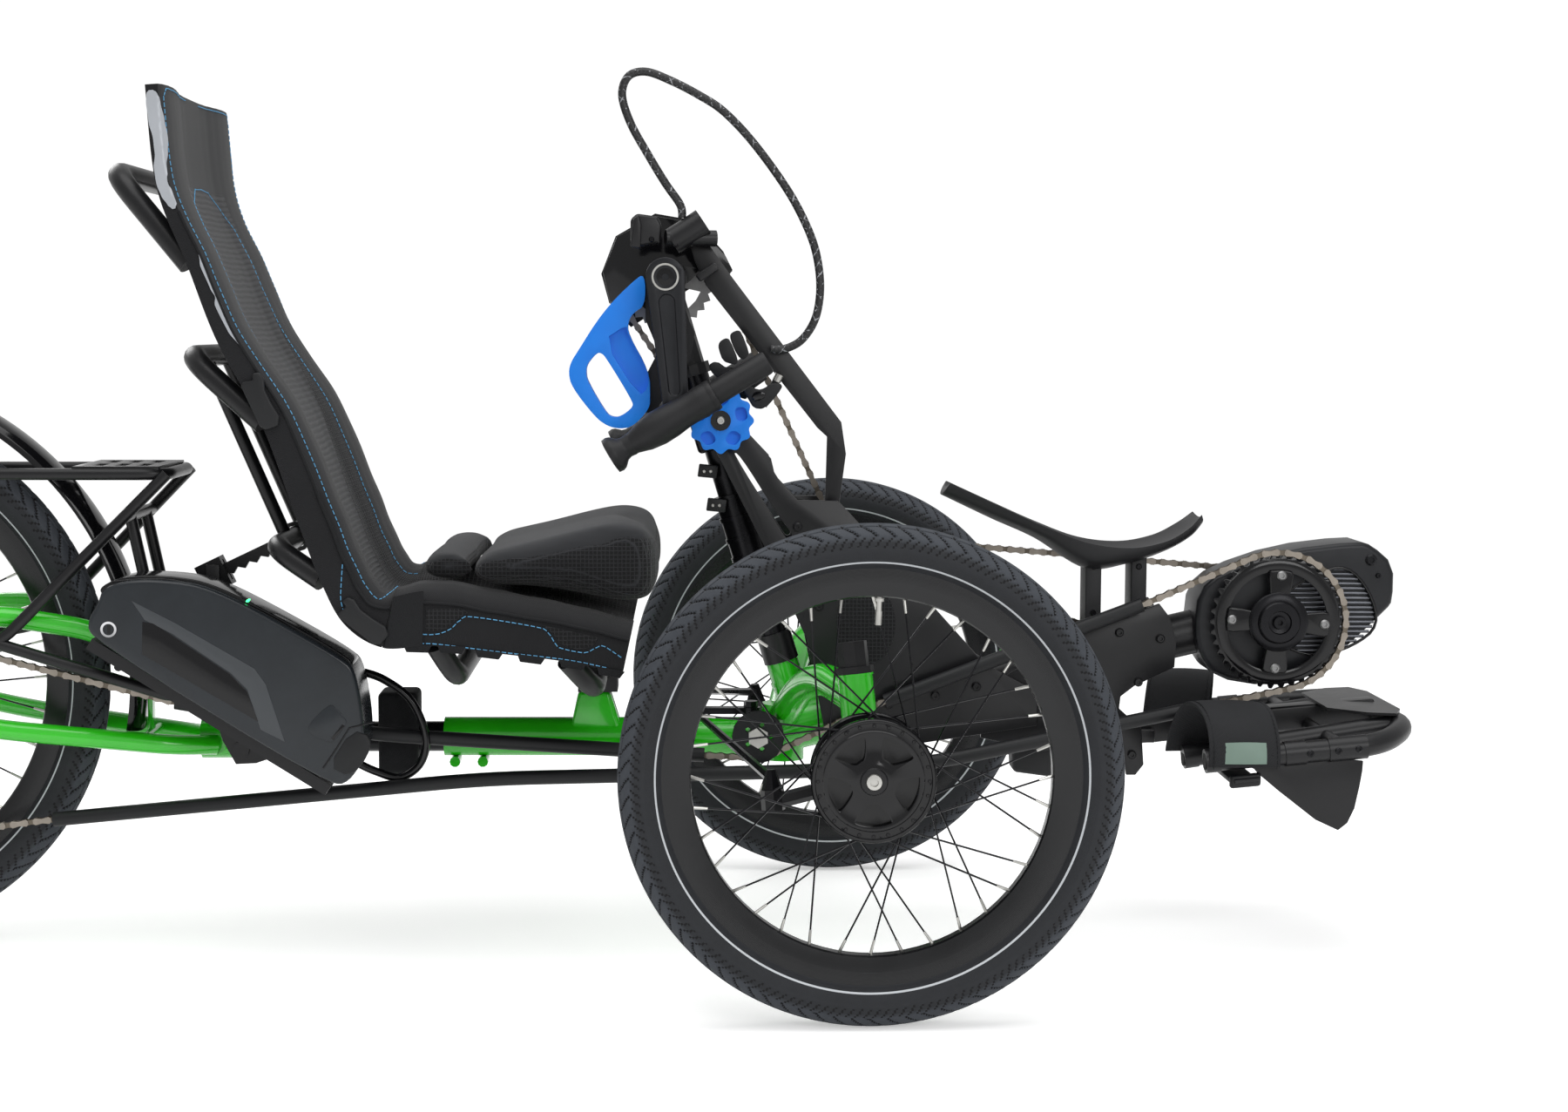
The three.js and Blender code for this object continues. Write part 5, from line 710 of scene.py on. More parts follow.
def bar_pattern(length, radius, sides, taper=1.0):
    bpy.ops.mesh.primitive_cone_add(vertices=sides, radius1=radius * MM, radius2=radius * taper * MM,
                                    depth=length, location=(0, 0, length / 2), end_fill_type="NGON")
    bpy.ops.object.transform_apply(location=True, rotation=True, scale=True)
    return bpy.context.view_layer.objects.active


def spokes_of(name, lines, body):
    length = (lines[0][1] - lines[0][0]).length
    places = [aligned(start, end) for start, end in lines]
    trim(copies(name + "_spokes", bar_pattern(length, 1.0, 6), places), body, ANODISED, "wheel_alloy")
    places = [aligned(end, start) for start, end in lines]
    trim(copies(name + "_nipples", bar_pattern(0.014, 1.7, 8, 0.8), places), body, STEEL, "wheel_alloy")


# %% Front drum hub
def pocket(centre, y, side, index):
    middle = math.pi / 2 + 2 * math.pi * (index + 0.5) / 5
    half = math.radians(26)
    outline = [polar(centre, 45, middle - half + half * 2 * j / 6) for j in range(7)]
    outline += [polar(centre, 23, middle + share * half) for share in (0.55, 0, -0.55)]
    face = y + side * 30
    return plate("pocket", round_outline(outline, 2), face - side * 13, face + side * 6)


def drum_hub(name, y, side):
    outer = [(51, 22), (53, 22.4), (60.5, 22.6), (61.5, 24), (61.5, 28), (60, 30), (57.5, 30), (56.8, 29),
             (50, 29.2), (49, 30.2), (46, 30.2), (44, 29.6), (19, 29.6), (17.5, 30.4), (9.2, 30.4)]
    inner = [(51, -22), (58, -22.5), (60, -24), (60, -28), (57, -30), (40, -30.5), (9.2, -30.5)]
    profile = [(r, y + side * w) for r, w in outer + inner[::-1]]
    hub = turned(name, profile, FRONT_AXLE, 96)
    carve(hub, [pocket(FRONT_AXLE, y, side, i) for i in range(5)])
    return soften(hub, 1.2, 3, 40)


def flange_heads(name, y, side, body):
    turn = Matrix.Rotation(side * -math.pi / 2, 4, "X")
    spots = [on_circle(FRONT_AXLE, 54.5, angle, y + side * 29.1) for angle in turns(24)]
    places = [Matrix.Translation(spot) @ turn for spot in spots]
    return trim(copies(name, bar_pattern(0.0012, 2.0, 10, 0.7), places), body, POWDER, "wheel_alloy")


def axle_end(name, y, side, body):
    """A black washer and a silver nut; their profiles count outwards from the hub's face."""
    washer = [(8, 0), (13.4, 0), (13.8, 1.2), (12.5, 3), (8, 3.4)]
    nut = [(0, 0), (8.4, 0), (8.4, 4.6), (7.4, 6.2), (4.2, 6.4), (4, 3.5), (0, 3.5)]
    for part, shape, material, slot in (("_washer", washer, POWDER, "black_paint"),
                                        ("", nut, STEEL, "steel")):
        profile = [(r, y + side * 30.4 + side * out) for r, out in shape]
        trim(turned(name + part, profile, FRONT_AXLE, 32, closed=False), body, material, slot)


# %% Front wheels
for side, hand in HANDS:
    y, body = side * HALF_TRACK, f"front_wheel_{hand}"
    rim = turned(f"rim_front_{hand}", rim_profile(203, 178, y), FRONT_AXLE, 96)
    settle(rim, body, rim_material(f"rim_front_{hand}_black", FRONT_AXLE, 203), [body], angle=30)
    trim(drum_hub(f"hub_front_{hand}", y, side), body, GLOSS, "wheel_alloy", 30)
    spokes_of(f"front_{hand}", spoke_lines(y, 178, 60, 26.5, FRONT_AXLE), body)
    flange_heads(f"rivets_front_{hand}", y, side, body)
    axle_end(f"axle_nut_{hand}", y, side, body)

# %% Rear wheel
rim = turned("rim_rear", rim_profile(253.5, 231, 0), REAR_AXLE, 112)
settle(rim, "rear_wheel", rim_material("rim_rear_black", REAR_AXLE, 253.5), ["rear_wheel"], angle=30)
half = [(8.2, 30.8), (17, 30.8), (19, 30), (19, 29.6), (29.5, 29.4), (30, 28.8), (30, 24), (29, 23.4),
        (19, 23), (16, 18), (15, 0)]
profile = half + [(r, -w) for r, w in reversed(half[:-1])]
hub = soften(turned("hub_rear", profile, REAR_AXLE, 48), 0.5, 2, 40)
trim(hub, "rear_wheel", ANODISED, "wheel_alloy", 30)
spokes_of("rear", spoke_lines(0, 231, 30, 26.5, REAR_AXLE), "rear_wheel")

# %% [markdown]
# ## Valves
# Each inner tube has a silver valve that stands out of the rim towards the hub, held by a small ring.


# %% Valves
def valve(name, centre, y, rim_inner, degrees, body):
    angle = math.radians(degrees)
    inner = on_circle(centre, rim_inner - 28, angle, y)
    outer = on_circle(centre, rim_inner + 2, angle, y)
    lock = outer.lerp(inner, 0.12)
    parts = [rod(name, outer, inner, 2.9, 3), rod("cap", inner, inner.lerp(outer, 0.45), 3.6, 3),
             rod("ring", lock, lock.lerp(inner, 0.12), 5.2, 3)]
    return trim(join(name, parts), body, STEEL, "steel")


valve("valve_front_right", FRONT_AXLE, -HALF_TRACK, 178, 88, "front_wheel_right")
valve("valve_front_left", FRONT_AXLE, HALF_TRACK, 178, 130, "front_wheel_left")
valve("valve_rear", REAR_AXLE, 0, 231, 200, "rear_wheel")

# %% [markdown]
# ## Main frame
# The green frame is welded from round tube: a keel along the middle, a short upright where everything
# meets, and two arms that sweep up and out to the steering heads. Each tube is swept along the same
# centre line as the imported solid, but with a round section, and the welds get small beads.


# %% Centre lines of the frame
BOOM_SLOPE = 0.23198
COLUMN_SLOPE = (0.2907, 0.9568)
KINGPIN_LEAN = math.tan(math.radians(6))


def keel(x):
    return at(x, 0, 231 - (x + 453) / 393)


def kingpin(side, above):
    return at(-3 - above * KINGPIN_LEAN, side * (312 - above * KINGPIN_LEAN), 250 + above)


def column(down):
    return at(CRANK[0] + COLUMN_SLOPE[0] * down, 0, CRANK[1] - COLUMN_SLOPE[1] * down)


def boom_height(x):
    return 246 + (x + 52) * BOOM_SLOPE


def boom(x):
    return at(x, 0, boom_height(x))


# %% Main frame
bead = (column(488) - column(416)).normalized() * 0.0022
parts = [rod("main_frame_tubes", keel(-453), keel(-60), 22, 6),
         rod("hub", at(-74, 0, 205), at(-74, 0, 268), 24, 6),
         rod("column_socket", column(416), column(488), 18, 6),
         rod("boom_socket", boom(-74), boom(-22), 28.5, 7),
         rod("bead", column(470) - bead, column(470) + bead, 19.3, 4)]
for side in (-1, 1):
    stops = [at(x, side * y, z) for x, y, z in ((-78, 0, 246), (-57, 110, 303), (-38, 180, 322))]
    parts.append(tube("arm", stops + [kingpin(side, 66)], 17, 90, 6, 10))
    parts.append(rod("head", kingpin(side, 30), kingpin(side, 92), 18, 6))
    for above in (31, 91):
        parts.append(rod("head_ring", kingpin(side, above - 1), kingpin(side, above + 1), 19, 6))
for x in (-441, -410):
    parts.append(rod("clamp_boss", at(x, -14, 204), at(x, 14, 204), 6, 3))
settle(join("main_frame_tubes", parts), "frame", GREEN, ["main_frame"], angle=45)

# %% Pylon under the seat pivot
corners = []
for rear, front, z in ((-313, -254, 238), (-303, -268, 284)):
    corners += [at(rear, -17, z), at(front, -17, z), at(front, 17, z), at(rear, 17, z)]
faces = [(0, 1, 2, 3), (4, 5, 6, 7), (0, 1, 5, 4), (1, 2, 6, 5), (2, 3, 7, 6), (3, 0, 4, 7)]
pylon = soften(outwards(raw_mesh("pylon", corners, faces=faces)), 5, 3, 30)
trim(pylon, "frame", GREEN, "green_paint")

# %% Sliding inner tube
piece = rod("sliding_tube", at(-700, 0, 231), at(-393.6, 0, 231), 17, 6)
settle(piece, "frame", ANODISED, ["main_inner_tube"])

# %% [markdown]
# ## Rear frame
# Two pairs of stays splay from a lug behind the seat to the rear axle. Each ends in a flat dropout plate.

# %% Rear frame
UPPER = [(-702, 262, 24), (-782, 331, 44), (-829, 358, 56), (-932, 377, 72), (-1050, 366, 79),
         (-1112, 318, 80)]
LOWER = [(-704, 226, 24), (-746, 229, 46), (-935, 252, 76), (-1110, 292, 80)]
DROPOUT = [(-1.4, -1.6), (1.6, -1.3), (2.6, 0), (1.8, 2.2), (-0.6, 2), (-1.6, 0.6)]
UPPER_RADIUS, LOWER_RADIUS = 11.5, 11
parts = [rod("rear_frame_tubes", at(-722, 0, 231), at(-668, 0, 231), 24, 6)]
for side in (-1, 1):
    parts.append(tube("upper_stay", [at(x, side * y, z) for x, z, y in UPPER], UPPER_RADIUS, 34, 5, 6))
    parts.append(tube("lower_stay", [at(x, side * y, z) for x, z, y in LOWER], LOWER_RADIUS, 34, 5, 6))
    outline = round_outline(fitted((*REAR_AXLE, 13, 13), DROPOUT), 1)
    parts.append(soften(plate("dropout", outline, side * 71 - 3, side * 71 + 3), 0.6))
for (x, z, y), radius in ((UPPER[0], UPPER_RADIUS), (LOWER[0], LOWER_RADIUS)):
    parts.append(rod("bridge", at(x, -y, z), at(x, y, z), radius))
parts.append(soften(plate("web", rectangle(-708, -696, 226, 262), -12, 12), 1.5))
parts.append(soften(plate("guard_bracket", rectangle(-781.6, -776.6, 236, 331), -9, 9), 0.8))
for z, y in ((331, 44), (236, 46)):
    parts.append(rod("cross", at(-779.1, -y, z), at(-779.1, y, z), 5, 4))
parts.append(rod("axle", at(REAR_AXLE[0], -78, REAR_AXLE[1]), at(REAR_AXLE[0], 78, REAR_AXLE[1]), 7, 4))
settle(join("rear_frame_tubes", parts), "frame", GREEN, ["rear_frame"], angle=45)

# %% [markdown]
# ## Carrier
# The luggage carrier is thin black tube, with a flat plate and a cleat under it for the seat's strut.

# %% Carrier
WIRE = 6.5
DECK = 529
parts = []
for side in (-1, 1):
    y, foot = side * 70, at(-1128, side * 88, 312)
    leg = at(-922, side * 92, 347)
    parts.append(tube("carrier", [at(-744, y, DECK), leg, foot], WIRE, 24, 5, 6))
    parts.append(tube("rail", [leg, at(-737, side * 71, 285), at(-706, side * 56, 296)], WIRE, 24, 5, 6))
    parts.append(rod("rear_leg", at(-1330, y, DECK), foot, WIRE))
    parts.append(rod("brace", at(-790, side * 40, 482), at(-756, side * 40, 318), WIRE))
corners = ((-744, 0), (-744, -70), (-1402, -70), (-1402, 70), (-744, 70), (-744, 0))
parts.append(tube("loop", [at(x, y, DECK) for x, y in corners], WIRE, 30, 5, 8))
parts.append(rod("low_cross", at(-706, -56, 296), at(-706, 56, 296), WIRE))
parts.append(rod("high_cross", at(-790, -76, 482), at(-790, 76, 482), WIRE))
parts.append(rod("post", at(-706, 0, 369), at(-706, 0, 296), 7))
slots = [plate("slot", rectangle(x, x - 12, 520, 550), y, y + 44)
         for x in (-768, -792, -816) for y in (-54, 10)]
parts.append(soften(carve(plate("top_plate", rectangle(-752, -846, 533.5, 537.5), -70, 70), slots), 0.8))
for side in (-1, 1):
    parts.append(soften(plate("cheek", rectangle(-713.5, -698.5, 366, 426), *outward(side, 14.3, 18.3)), 1))
parts.append(soften(plate("bridge", rectangle(-713.5, -698.5, 371, 379), -18.3, 18.3), 0.8))
settle(join("carrier", parts), "frame", POWDER, ["rear_rack"], angle=45)

# %% [markdown]
# ## Mudguard
# A thin gloss shell that follows the rear tyre. Its crowned section is swept round the axle in small
# steps, which keeps the highlight along it smooth.


# %% Mudguard
def mudguard(rings=90):
    half = [(12, 341.6), (22, 339.5), (28, 335), (31, 331)]
    across = [(-w, r) for w, r in reversed(half)] + [(0, 342)] + half
    section = across + [(w, r - 3) for w, r in reversed(across)]
    points = []
    for i in range(rings + 1):
        angle = math.radians(-10 + 208 * i / rings)
        points += [on_circle(REAR_AXLE, r, angle, w) for w, r in section]
    return outwards(raw_mesh("mudguard_shell", points, faces=ring_faces(rings, len(section))))


settle(mudguard(), "frame", GLOSS, ["mudguard"], angle=40)

# %% [markdown]
# ## Boom and tower
# A round boom carries the motor. Two folded plates stand on it and hold the crank column between them.
# The plates are cut from sheet, so they only need clean outlines, small edge rounds and their bolts.

# %% Boom
BRACKET = [(0.29, 0.84), (0.87, 1), (0.95, 0.92), (1, 0.78), (0.99, 0.63), (0.69, 0.52), (0.59, 0.46),
           (0.58, 0.39), (0.75, 0.27), (0.77, 0.06), (0.71, 0), (0.64, 0), (0.61, 0.2), (0.01, 0.14)]
TOWER_BOX = (-159, 213, 367, 387)
parts = [rod("front_boom_tube", boom(-51.7), boom(392), 25, 8)]
for share in (0.51, 0.81):
    x = TOWER_BOX[0] + TOWER_BOX[2] * share
    z = boom_height(x)
    parts.append(soften(plate("collar", rectangle(x - 12.5, x + 12.5, z - 20, z + 20), -38, 38), 2))
outline = [(146, 287.5)] + fitted((214, 191, 150, 193), BRACKET) + [(146, 233.5)]
for side in (-1, 1):
    parts.append(soften(plate("bracket", outline, *outward(side, 33, 38)), 0.8))
x, z = 304, boom_height(304)
parts.append(soften(plate("block", rectangle(x - 25, x + 25, z - 17, z + 17), -35.5, 35.5), 2))
parts.append(soften(plate("beam_seat", rectangle(314, 342, 227, 241), -35.5, 35.5), 1))
for x, z in ((300, 352), (346, 345), (322, 296), (238, 262), (172, 262), (316, 214)):
    parts.append(bolt(x, z, -38, 5, 3.4))
settle(join("front_boom_tube", parts), "frame", POWDER, ["front_boom"], angle=40)

# %% Tower plates
TOWER = [(-0.01, 0.945), (-0.005, 0.985), (0.02, 1.01), (0.05, 1.015), (0.085, 0.99), (0.12, 0.93),
         (0.19, 0.86), (0.2, 0.82), (0.22, 0.79), (0.27, 0.74), (0.39, 0.74), (0.45, 0.68), (0.64, 0.48),
         (0.84, 0.27), (1, 0.19), (1, 0.09), (0.37, 0), (0.35, 0.1), (0.3, 0.34), (0.17, 0.61), (0.03, 0.87)]
SLOT = [(0, 0.99), (0.1, 1), (0.71, 0.31), (1, 0.05), (0.9, 0), (0.82, 0.08)]
TOWER_BOLTS = ((-3, 262), (42, 272), (94, 282), (140, 292), (-60, 470), (-36, 382))
TOWER_FACE = 43.3
for side, hand in HANDS:
    near, far = outward(side, 38.3, TOWER_FACE)
    hole = ring_points(JACK, 8.4, 32) if side > 0 else ring_points(KNOB, 6.4, 32)
    slot = round_outline(fitted((-132, 453, 70, 99), SLOT), 2)
    sheet = plate(f"tower_sheet_{hand}", fitted(TOWER_BOX, TOWER), near, far)
    carve(sheet, [plate("slot", slot, near - 3, far + 3), plate("hole", hole, near - 3, far + 3)])
    heads = [bolt(x, z, side * TOWER_FACE, 5.2, 3.2, side) for x, z in TOWER_BOLTS]
    piece = join(f"tower_sheet_{hand}", [soften(sheet, 0.7)] + heads)
    settle(piece, "frame", POWDER, [f"tower_plate_{hand}"], angle=35)

# %% Socket sleeve
trim(rod("socket_sleeve", column(413), column(446), 19.6, 6), "frame", POWDER, "black_paint")

# %% Steering column
parts = [rod("column_tube", column(463.7), column(112), 15, 7)]
parts.append(rod("sleeve", column(320), column(250), 20, 7))
for down in (322, 300, 276, 252):
    parts.append(rod("rib", column(down + 2.4), column(down - 2.4), 21.4, 7))
bpy.ops.mesh.primitive_cube_add(size=1, location=(0, 0, 0))
clamp = bpy.context.view_layer.objects.active
bpy.ops.transform.resize(value=(0.043, 0.058, 0.056))
bpy.ops.object.transform_apply(location=False, rotation=False, scale=True)
lean = Matrix.Rotation(-math.atan2(*COLUMN_SLOPE), 4, "Y")
clamp.data.transform(Matrix.Translation(column(168) + Vector((0, -0.009, 0))) @ lean)
parts.append(soften(clamp, 5, 4))
parts.append(rod("spacer", at(KNOB[0], 0, KNOB[1]), at(KNOB[0], -37.9, KNOB[1]), 9, 4))
settle(join("column_tube", parts), "frame", ANODISED, ["steering_column"], angle=40)

# %% [markdown]
# ## Blue controls
# The blue handle lifts the crank head and the blue knob clamps it. Both are moulded, so their edges are
# well rounded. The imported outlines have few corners, and cutting each corner twice makes them flow.

# %% Lift handle
HANDLE = [(0.94, 1), (0.8, 0.95), (0.51, 0.8), (0.32, 0.67), (0.13, 0.51), (0.03, 0.43), (0, 0.36),
          (0.04, 0.27), (0.32, 0.08), (0.47, 0.02), (0.64, 0), (0.8, 0.02), (0.99, 0.13), (1, 0.2),
          (0.99, 0.37), (0.73, 0.61), (0.73, 0.69), (0.8, 0.75), (0.94, 0.79)]
WINDOW = [(0, 0.71), (0.03, 0.83), (0.23, 1), (0.33, 1), (0.43, 0.93), (1, 0.25), (1, 0.15), (0.73, 0),
          (0.56, 0), (0.43, 0.06), (0.03, 0.56)]
POCKET = [(0, 0.78), (0.52, 1), (0.54, 0.87), (1, 0.35), (1, 0.11), (0.79, 0)]
handle = plate("lift_handle_moulding", round_outline(fitted((-311, 578, 89, 170), HANDLE), 2), -52, -26)
carve(handle, [plate("window", round_outline(fitted((-292, 591, 51, 70), WINDOW), 2), -60, -20),
               plate("pocket", round_outline(fitted((-273, 614, 49, 78), POCKET), 1), -60, -43),
               plate("shell_room", ring_points(CRANK, 23.4, 40), -60, -20)])
settle(soften(handle, 3.2, 4, 50), "head", BLUE, ["lift_handle"], angle=50)


# %% Clamp knob
def scalloped(count=144, lobes=12):
    outline = []
    for t in turns(count):
        radius = 35 - 2 * (1 - math.cos(lobes * t))
        outline.append((KNOB[0] + radius * math.cos(t) * 1.04, KNOB[1] + radius * math.sin(t) * 1.04))
    return outline


def scoop(angle):
    """An oval pocket that is longer round the knob than across."""
    x, z = polar(KNOB, 23.5, angle)
    blob = []
    for t in turns(24):
        stretch = 1 + 0.16 * math.cos(2 * (t - angle - math.pi / 2))
        blob.append((x + 7.6 * math.cos(t) * stretch, z + 7.6 * math.sin(t)))
    return plate("scoop", blob, -70, -57)


knob = plate("clamp_knob", scalloped(), -64, -47)
carve(knob, [scoop(math.pi / 2 + 2 * math.pi * i / 5) for i in range(5)])
soften(knob, 1.8, 3, 45)
stem = rod("stem", at(KNOB[0], -47.3, KNOB[1]), at(KNOB[0], -20.6, KNOB[1]), 6, 4)
settle(join("clamp_knob", [knob, stem]), "knob", BLUE, ["column_knob"], angle=50)
washer = turned("knob_washer", [(5, -64), (11, -64), (11, -65.6), (5, -65.6)], KNOB, 32)
trim(washer, "knob", GLOSS, "black_plastic")
trim(bolt(*KNOB, -64, 5.2, 3.4), "knob", STEEL, "steel")

# %% [markdown]
# ## Cranks and grips
# The crank arms are forged, with a shallow groove down the face. The grips slant across them and turn
# freely: a swelling for the palm, a flared stop below and a plain tube above.


# %% Crank arms
ARM_FACE = 97


def capsule(start, end, start_radius, end_radius, steps=16):
    base = math.atan2(end[1] - start[1], end[0] - start[0])
    points = []
    for centre, radius, first in ((end, end_radius, -90), (start, start_radius, 90)):
        for i in range(steps + 1):
            points.append(polar(centre, radius, base + math.radians(first + 180 * i / steps)))
    return points


def crank_arm(side, hand):
    face = side * ARM_FACE
    arm = plate(f"forged_arm_{hand}", capsule(CRANK, CRANK_PIN, 21, 13), *outward(side, 83, ARM_FACE))
    low, high = outward(side, ARM_FACE - 2.2, ARM_FACE + 3)
    groove = plate("groove", capsule((-203.3, 716), (-195.2, 622), 8.5, 6), low, high)
    carve(arm, [groove, plate("dish", ring_points(CRANK, 13, 40), low - 0.8, high)])
    soften(arm, 2.4, 3, 45)
    pin = rod("pin", *[at(CRANK_PIN[0], y, CRANK_PIN[1]) for y in (face - side, side * 132)], 6, 4)
    settle(join(f"forged_arm_{hand}", [arm, pin]), "cranks", FORGED, [f"crank_arm_{hand}"], angle=40)


def crank_trim(side, hand):
    """A silver ring round a dark bolt with a silver point. Heights count outwards from the arm's face."""
    ring = [(12.4, -1.5), (12.6, 0.7), (14.6, 0.7), (15, -1.5)]
    cap = [(0, -2.9), (3.4, -2.9), (3.8, -1.8), (9.5, -2.2), (10, -2.9), (12.4, -2.6), (12.4, -3.4),
           (0, -3.4)]
    dot = [(0, -2.6), (3.2, -2.6), (3.2, -3), (0, -3)]
    for name, shape, steps, material, slot in (("ring", ring, 40, STEEL, "steel"),
                                               ("bolt", cap, 36, GLOSS, "black_plastic"),
                                               ("pin", dot, 24, STEEL, "steel")):
        profile = [(r, side * ARM_FACE + side * height) for r, height in shape]
        piece = turned(f"crank_{name}_{hand}", profile, CRANK, steps, closed=name == "ring")
        trim(piece, "cranks", material, slot)


for side, hand in HANDS:
    crank_arm(side, hand)
    crank_trim(side, hand)


# %% Hand grips
GRIP_SHAPE = [(0, 0), (0, 15), (0.004, 19.4), (0.03, 20), (0.05, 18.6), (0.08, 13), (0.11, 11.2),
              (0.15, 12.4), (0.22, 16.8), (0.3, 19), (0.38, 18.6), (0.47, 16.6), (0.54, 16.8), (0.56, 17.4),
              (0.655, 17.2), (0.662, 16.6), (0.664, 13.2), (0.98, 13), (0.995, 12.2), (1, 11), (1, 0)]
GRIP_RINGS = ((0.105, 11.9), (0.118, 12.1), (0.131, 12.4), (0.575, 18.0), (0.64, 17.9))


def grip(side, hand):
    start, end = at(-264, side * 118, 551), at(-95, side * 118, 653)
    length = (end - start).length * 1000
    points = [Vector((r * MM, 0, s * length * MM)) for s, r in GRIP_SHAPE]
    piece = raw_mesh(f"palm_grip_{hand}", points, [(i, i + 1) for i in range(len(points) - 1)])
    bpy.ops.object.mode_set(mode="EDIT")
    bpy.ops.mesh.select_all(action="SELECT")
    bpy.ops.mesh.spin(steps=40, angle=2 * math.pi, center=(0, 0, 0), axis=(0, 0, 1))
    bpy.ops.object.mode_set(mode="OBJECT")
    outwards(piece)
    piece.data.transform(aligned(start, end))
    settle(piece, f"grip_{hand}", GRIP, [f"hand_grip_{hand}"], angle=32)
    half = (end - start).normalized() * 0.0014
    middles = [(start.lerp(end, share), radius) for share, radius in GRIP_RINGS]
    rings = [rod("ring", middle - half, middle + half, radius, 7) for middle, radius in middles]
    trim(join(f"grip_rings_{hand}", rings), f"grip_{hand}", GRIP, "grip_rubber", 32)


for side, hand in HANDS:
    grip(side, hand)

# %% [markdown]
# ## Chains
# A bicycle chain has a pin every half inch, and links that alternate between a wide pair of plates and a
# narrow pair round a roller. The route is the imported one: straight runs, and arcs round each sprocket.
# It is walked pin by pin, and one of two small patterns is set between each pair of pins.


# %% Chain route
def pitch_radius(teeth):
    return CHAIN_PITCH / (2 * math.sin(math.pi / teeth))


def wheel_stop(place, teeth, turn, y, radius=None):
    """A sprocket on the route; turn is 1 where the chain bends left, and -1 where it bends right."""
    return {"x": place[0], "z": place[1], "radius": radius or pitch_radius(teeth), "turn": turn, "y": y}


def guides(run):
    return [{"x": x, "z": z, "radius": 0, "turn": 0, "y": y} for x, y, z in run]


def chain_route(stops):
    def heading(a, b):
        length = math.hypot(b["x"] - a["x"], b["z"] - a["z"])
        shift = b["turn"] * b["radius"] - a["turn"] * a["radius"]
        return math.atan2(b["z"] - a["z"], b["x"] - a["x"]) - math.asin(shift / length)

    route = []
    for i, stop in enumerate(stops):
        enter = heading(stops[i - 1], stop)
        bend = (heading(stop, stops[(i + 1) % len(stops)]) - enter + math.pi) % (2 * math.pi) - math.pi
        if stop["turn"] > 0 and bend < 0:
            bend += 2 * math.pi
        if stop["turn"] < 0 and bend > 0:
            bend -= 2 * math.pi
        steps = max(1, int(abs(bend) / math.radians(4))) if stop["turn"] else 0
        for j in range(steps + 1):
            angle = enter + bend * j / max(steps, 1)
            reach = stop["turn"] * stop["radius"]
            x, z = stop["x"] + reach * math.sin(angle), stop["z"] - reach * math.cos(angle)
            route.append(at(x, stop["y"], z))
    return route


def pins_along(route):
    closed = route + [route[0]]
    lengths = [(b - a).length for a, b in zip(closed, closed[1:])]
    total = sum(lengths)
    count = 2 * round(total / (CHAIN_PITCH * MM) / 2)
    pins, k, used = [], 0, 0.0
    for target in (i * (total / count) for i in range(count)):
        while used + lengths[k] < target:
            used += lengths[k]
            k += 1
        pins.append(closed[k].lerp(closed[k + 1], (target - used) / max(lengths[k], 1e-9)))
    return pins


# %% Chain links
HALF_PITCH = CHAIN_PITCH / 2
PLATE_END = 4.1
PLATE_WAIST = 2.5


def side_plate(name, y, thick):
    outline = []
    for end in (1, -1):
        for degrees in (-70, -25, 25, 70):
            angle = math.radians(degrees) + (0 if end > 0 else math.pi)
            outline.append(polar((end * HALF_PITCH, 0), PLATE_END, angle))
        outline.append((0, end * PLATE_WAIST))
    points = [Vector((a * MM, y * MM, b * MM)) for a, b in outline]
    piece = raw_mesh(name, points, faces=[tuple(range(len(points)))])
    bpy.ops.object.mode_set(mode="EDIT")
    bpy.ops.mesh.select_all(action="SELECT")
    bpy.ops.mesh.extrude_region_move(TRANSFORM_OT_translate={"value": (0, thick * MM, 0)})
    bpy.ops.mesh.select_all(action="SELECT")
    bpy.ops.mesh.normals_make_consistent(inside=False)
    bpy.ops.object.mode_set(mode="OBJECT")
    return piece


def rod_pattern(radius, length, sides, along, x=0.0):
    """A small cylinder at the origin, turned by Euler angles, for copies() to repeat."""
    bpy.ops.mesh.primitive_cylinder_add(vertices=sides, radius=radius * MM, depth=length * MM,
                                        location=(x * MM, 0, 0), rotation=along)
    bpy.ops.object.transform_apply(location=True, rotation=True, scale=True)
    return bpy.context.view_layer.objects.active


def link_pattern(wide):
    near, thick = (2.95, 0.85) if wide else (2.1, 0.8)
    radius, length = (1.8, 8.0) if wide else (3.8, 4.1)
    parts = [side_plate("link", near, thick), side_plate("link", -near - thick, thick)]
    parts += [rod_pattern(radius, length, 8, (math.pi / 2, 0, 0), x) for x in (-HALF_PITCH, HALF_PITCH)]
    return join("link", parts)


def strung(name, stops, node):
    pins = pins_along(chain_route(stops))
    meshes = []
    for first, material in ((0, CHAIN), (1, CHAIN_INNER)):
        places = []
        for i in range(first, len(pins), 2):
            a, b = pins[i], pins[(i + 1) % len(pins)]
            along = (b - a).normalized()
            over = along.cross(Vector((0, 1, 0))).normalized()
            turn = Matrix((along, over.cross(along), over)).transposed().to_4x4()
            places.append(Matrix.Translation((a + b) / 2) @ turn)
        links = copies(name, link_pattern(first == 0), places)
        links.data.materials.append(material)
        meshes.append(links)
    print(name, "links:", len(pins))
    return settle(join(name, meshes), "frame", None, [node], angle=30)


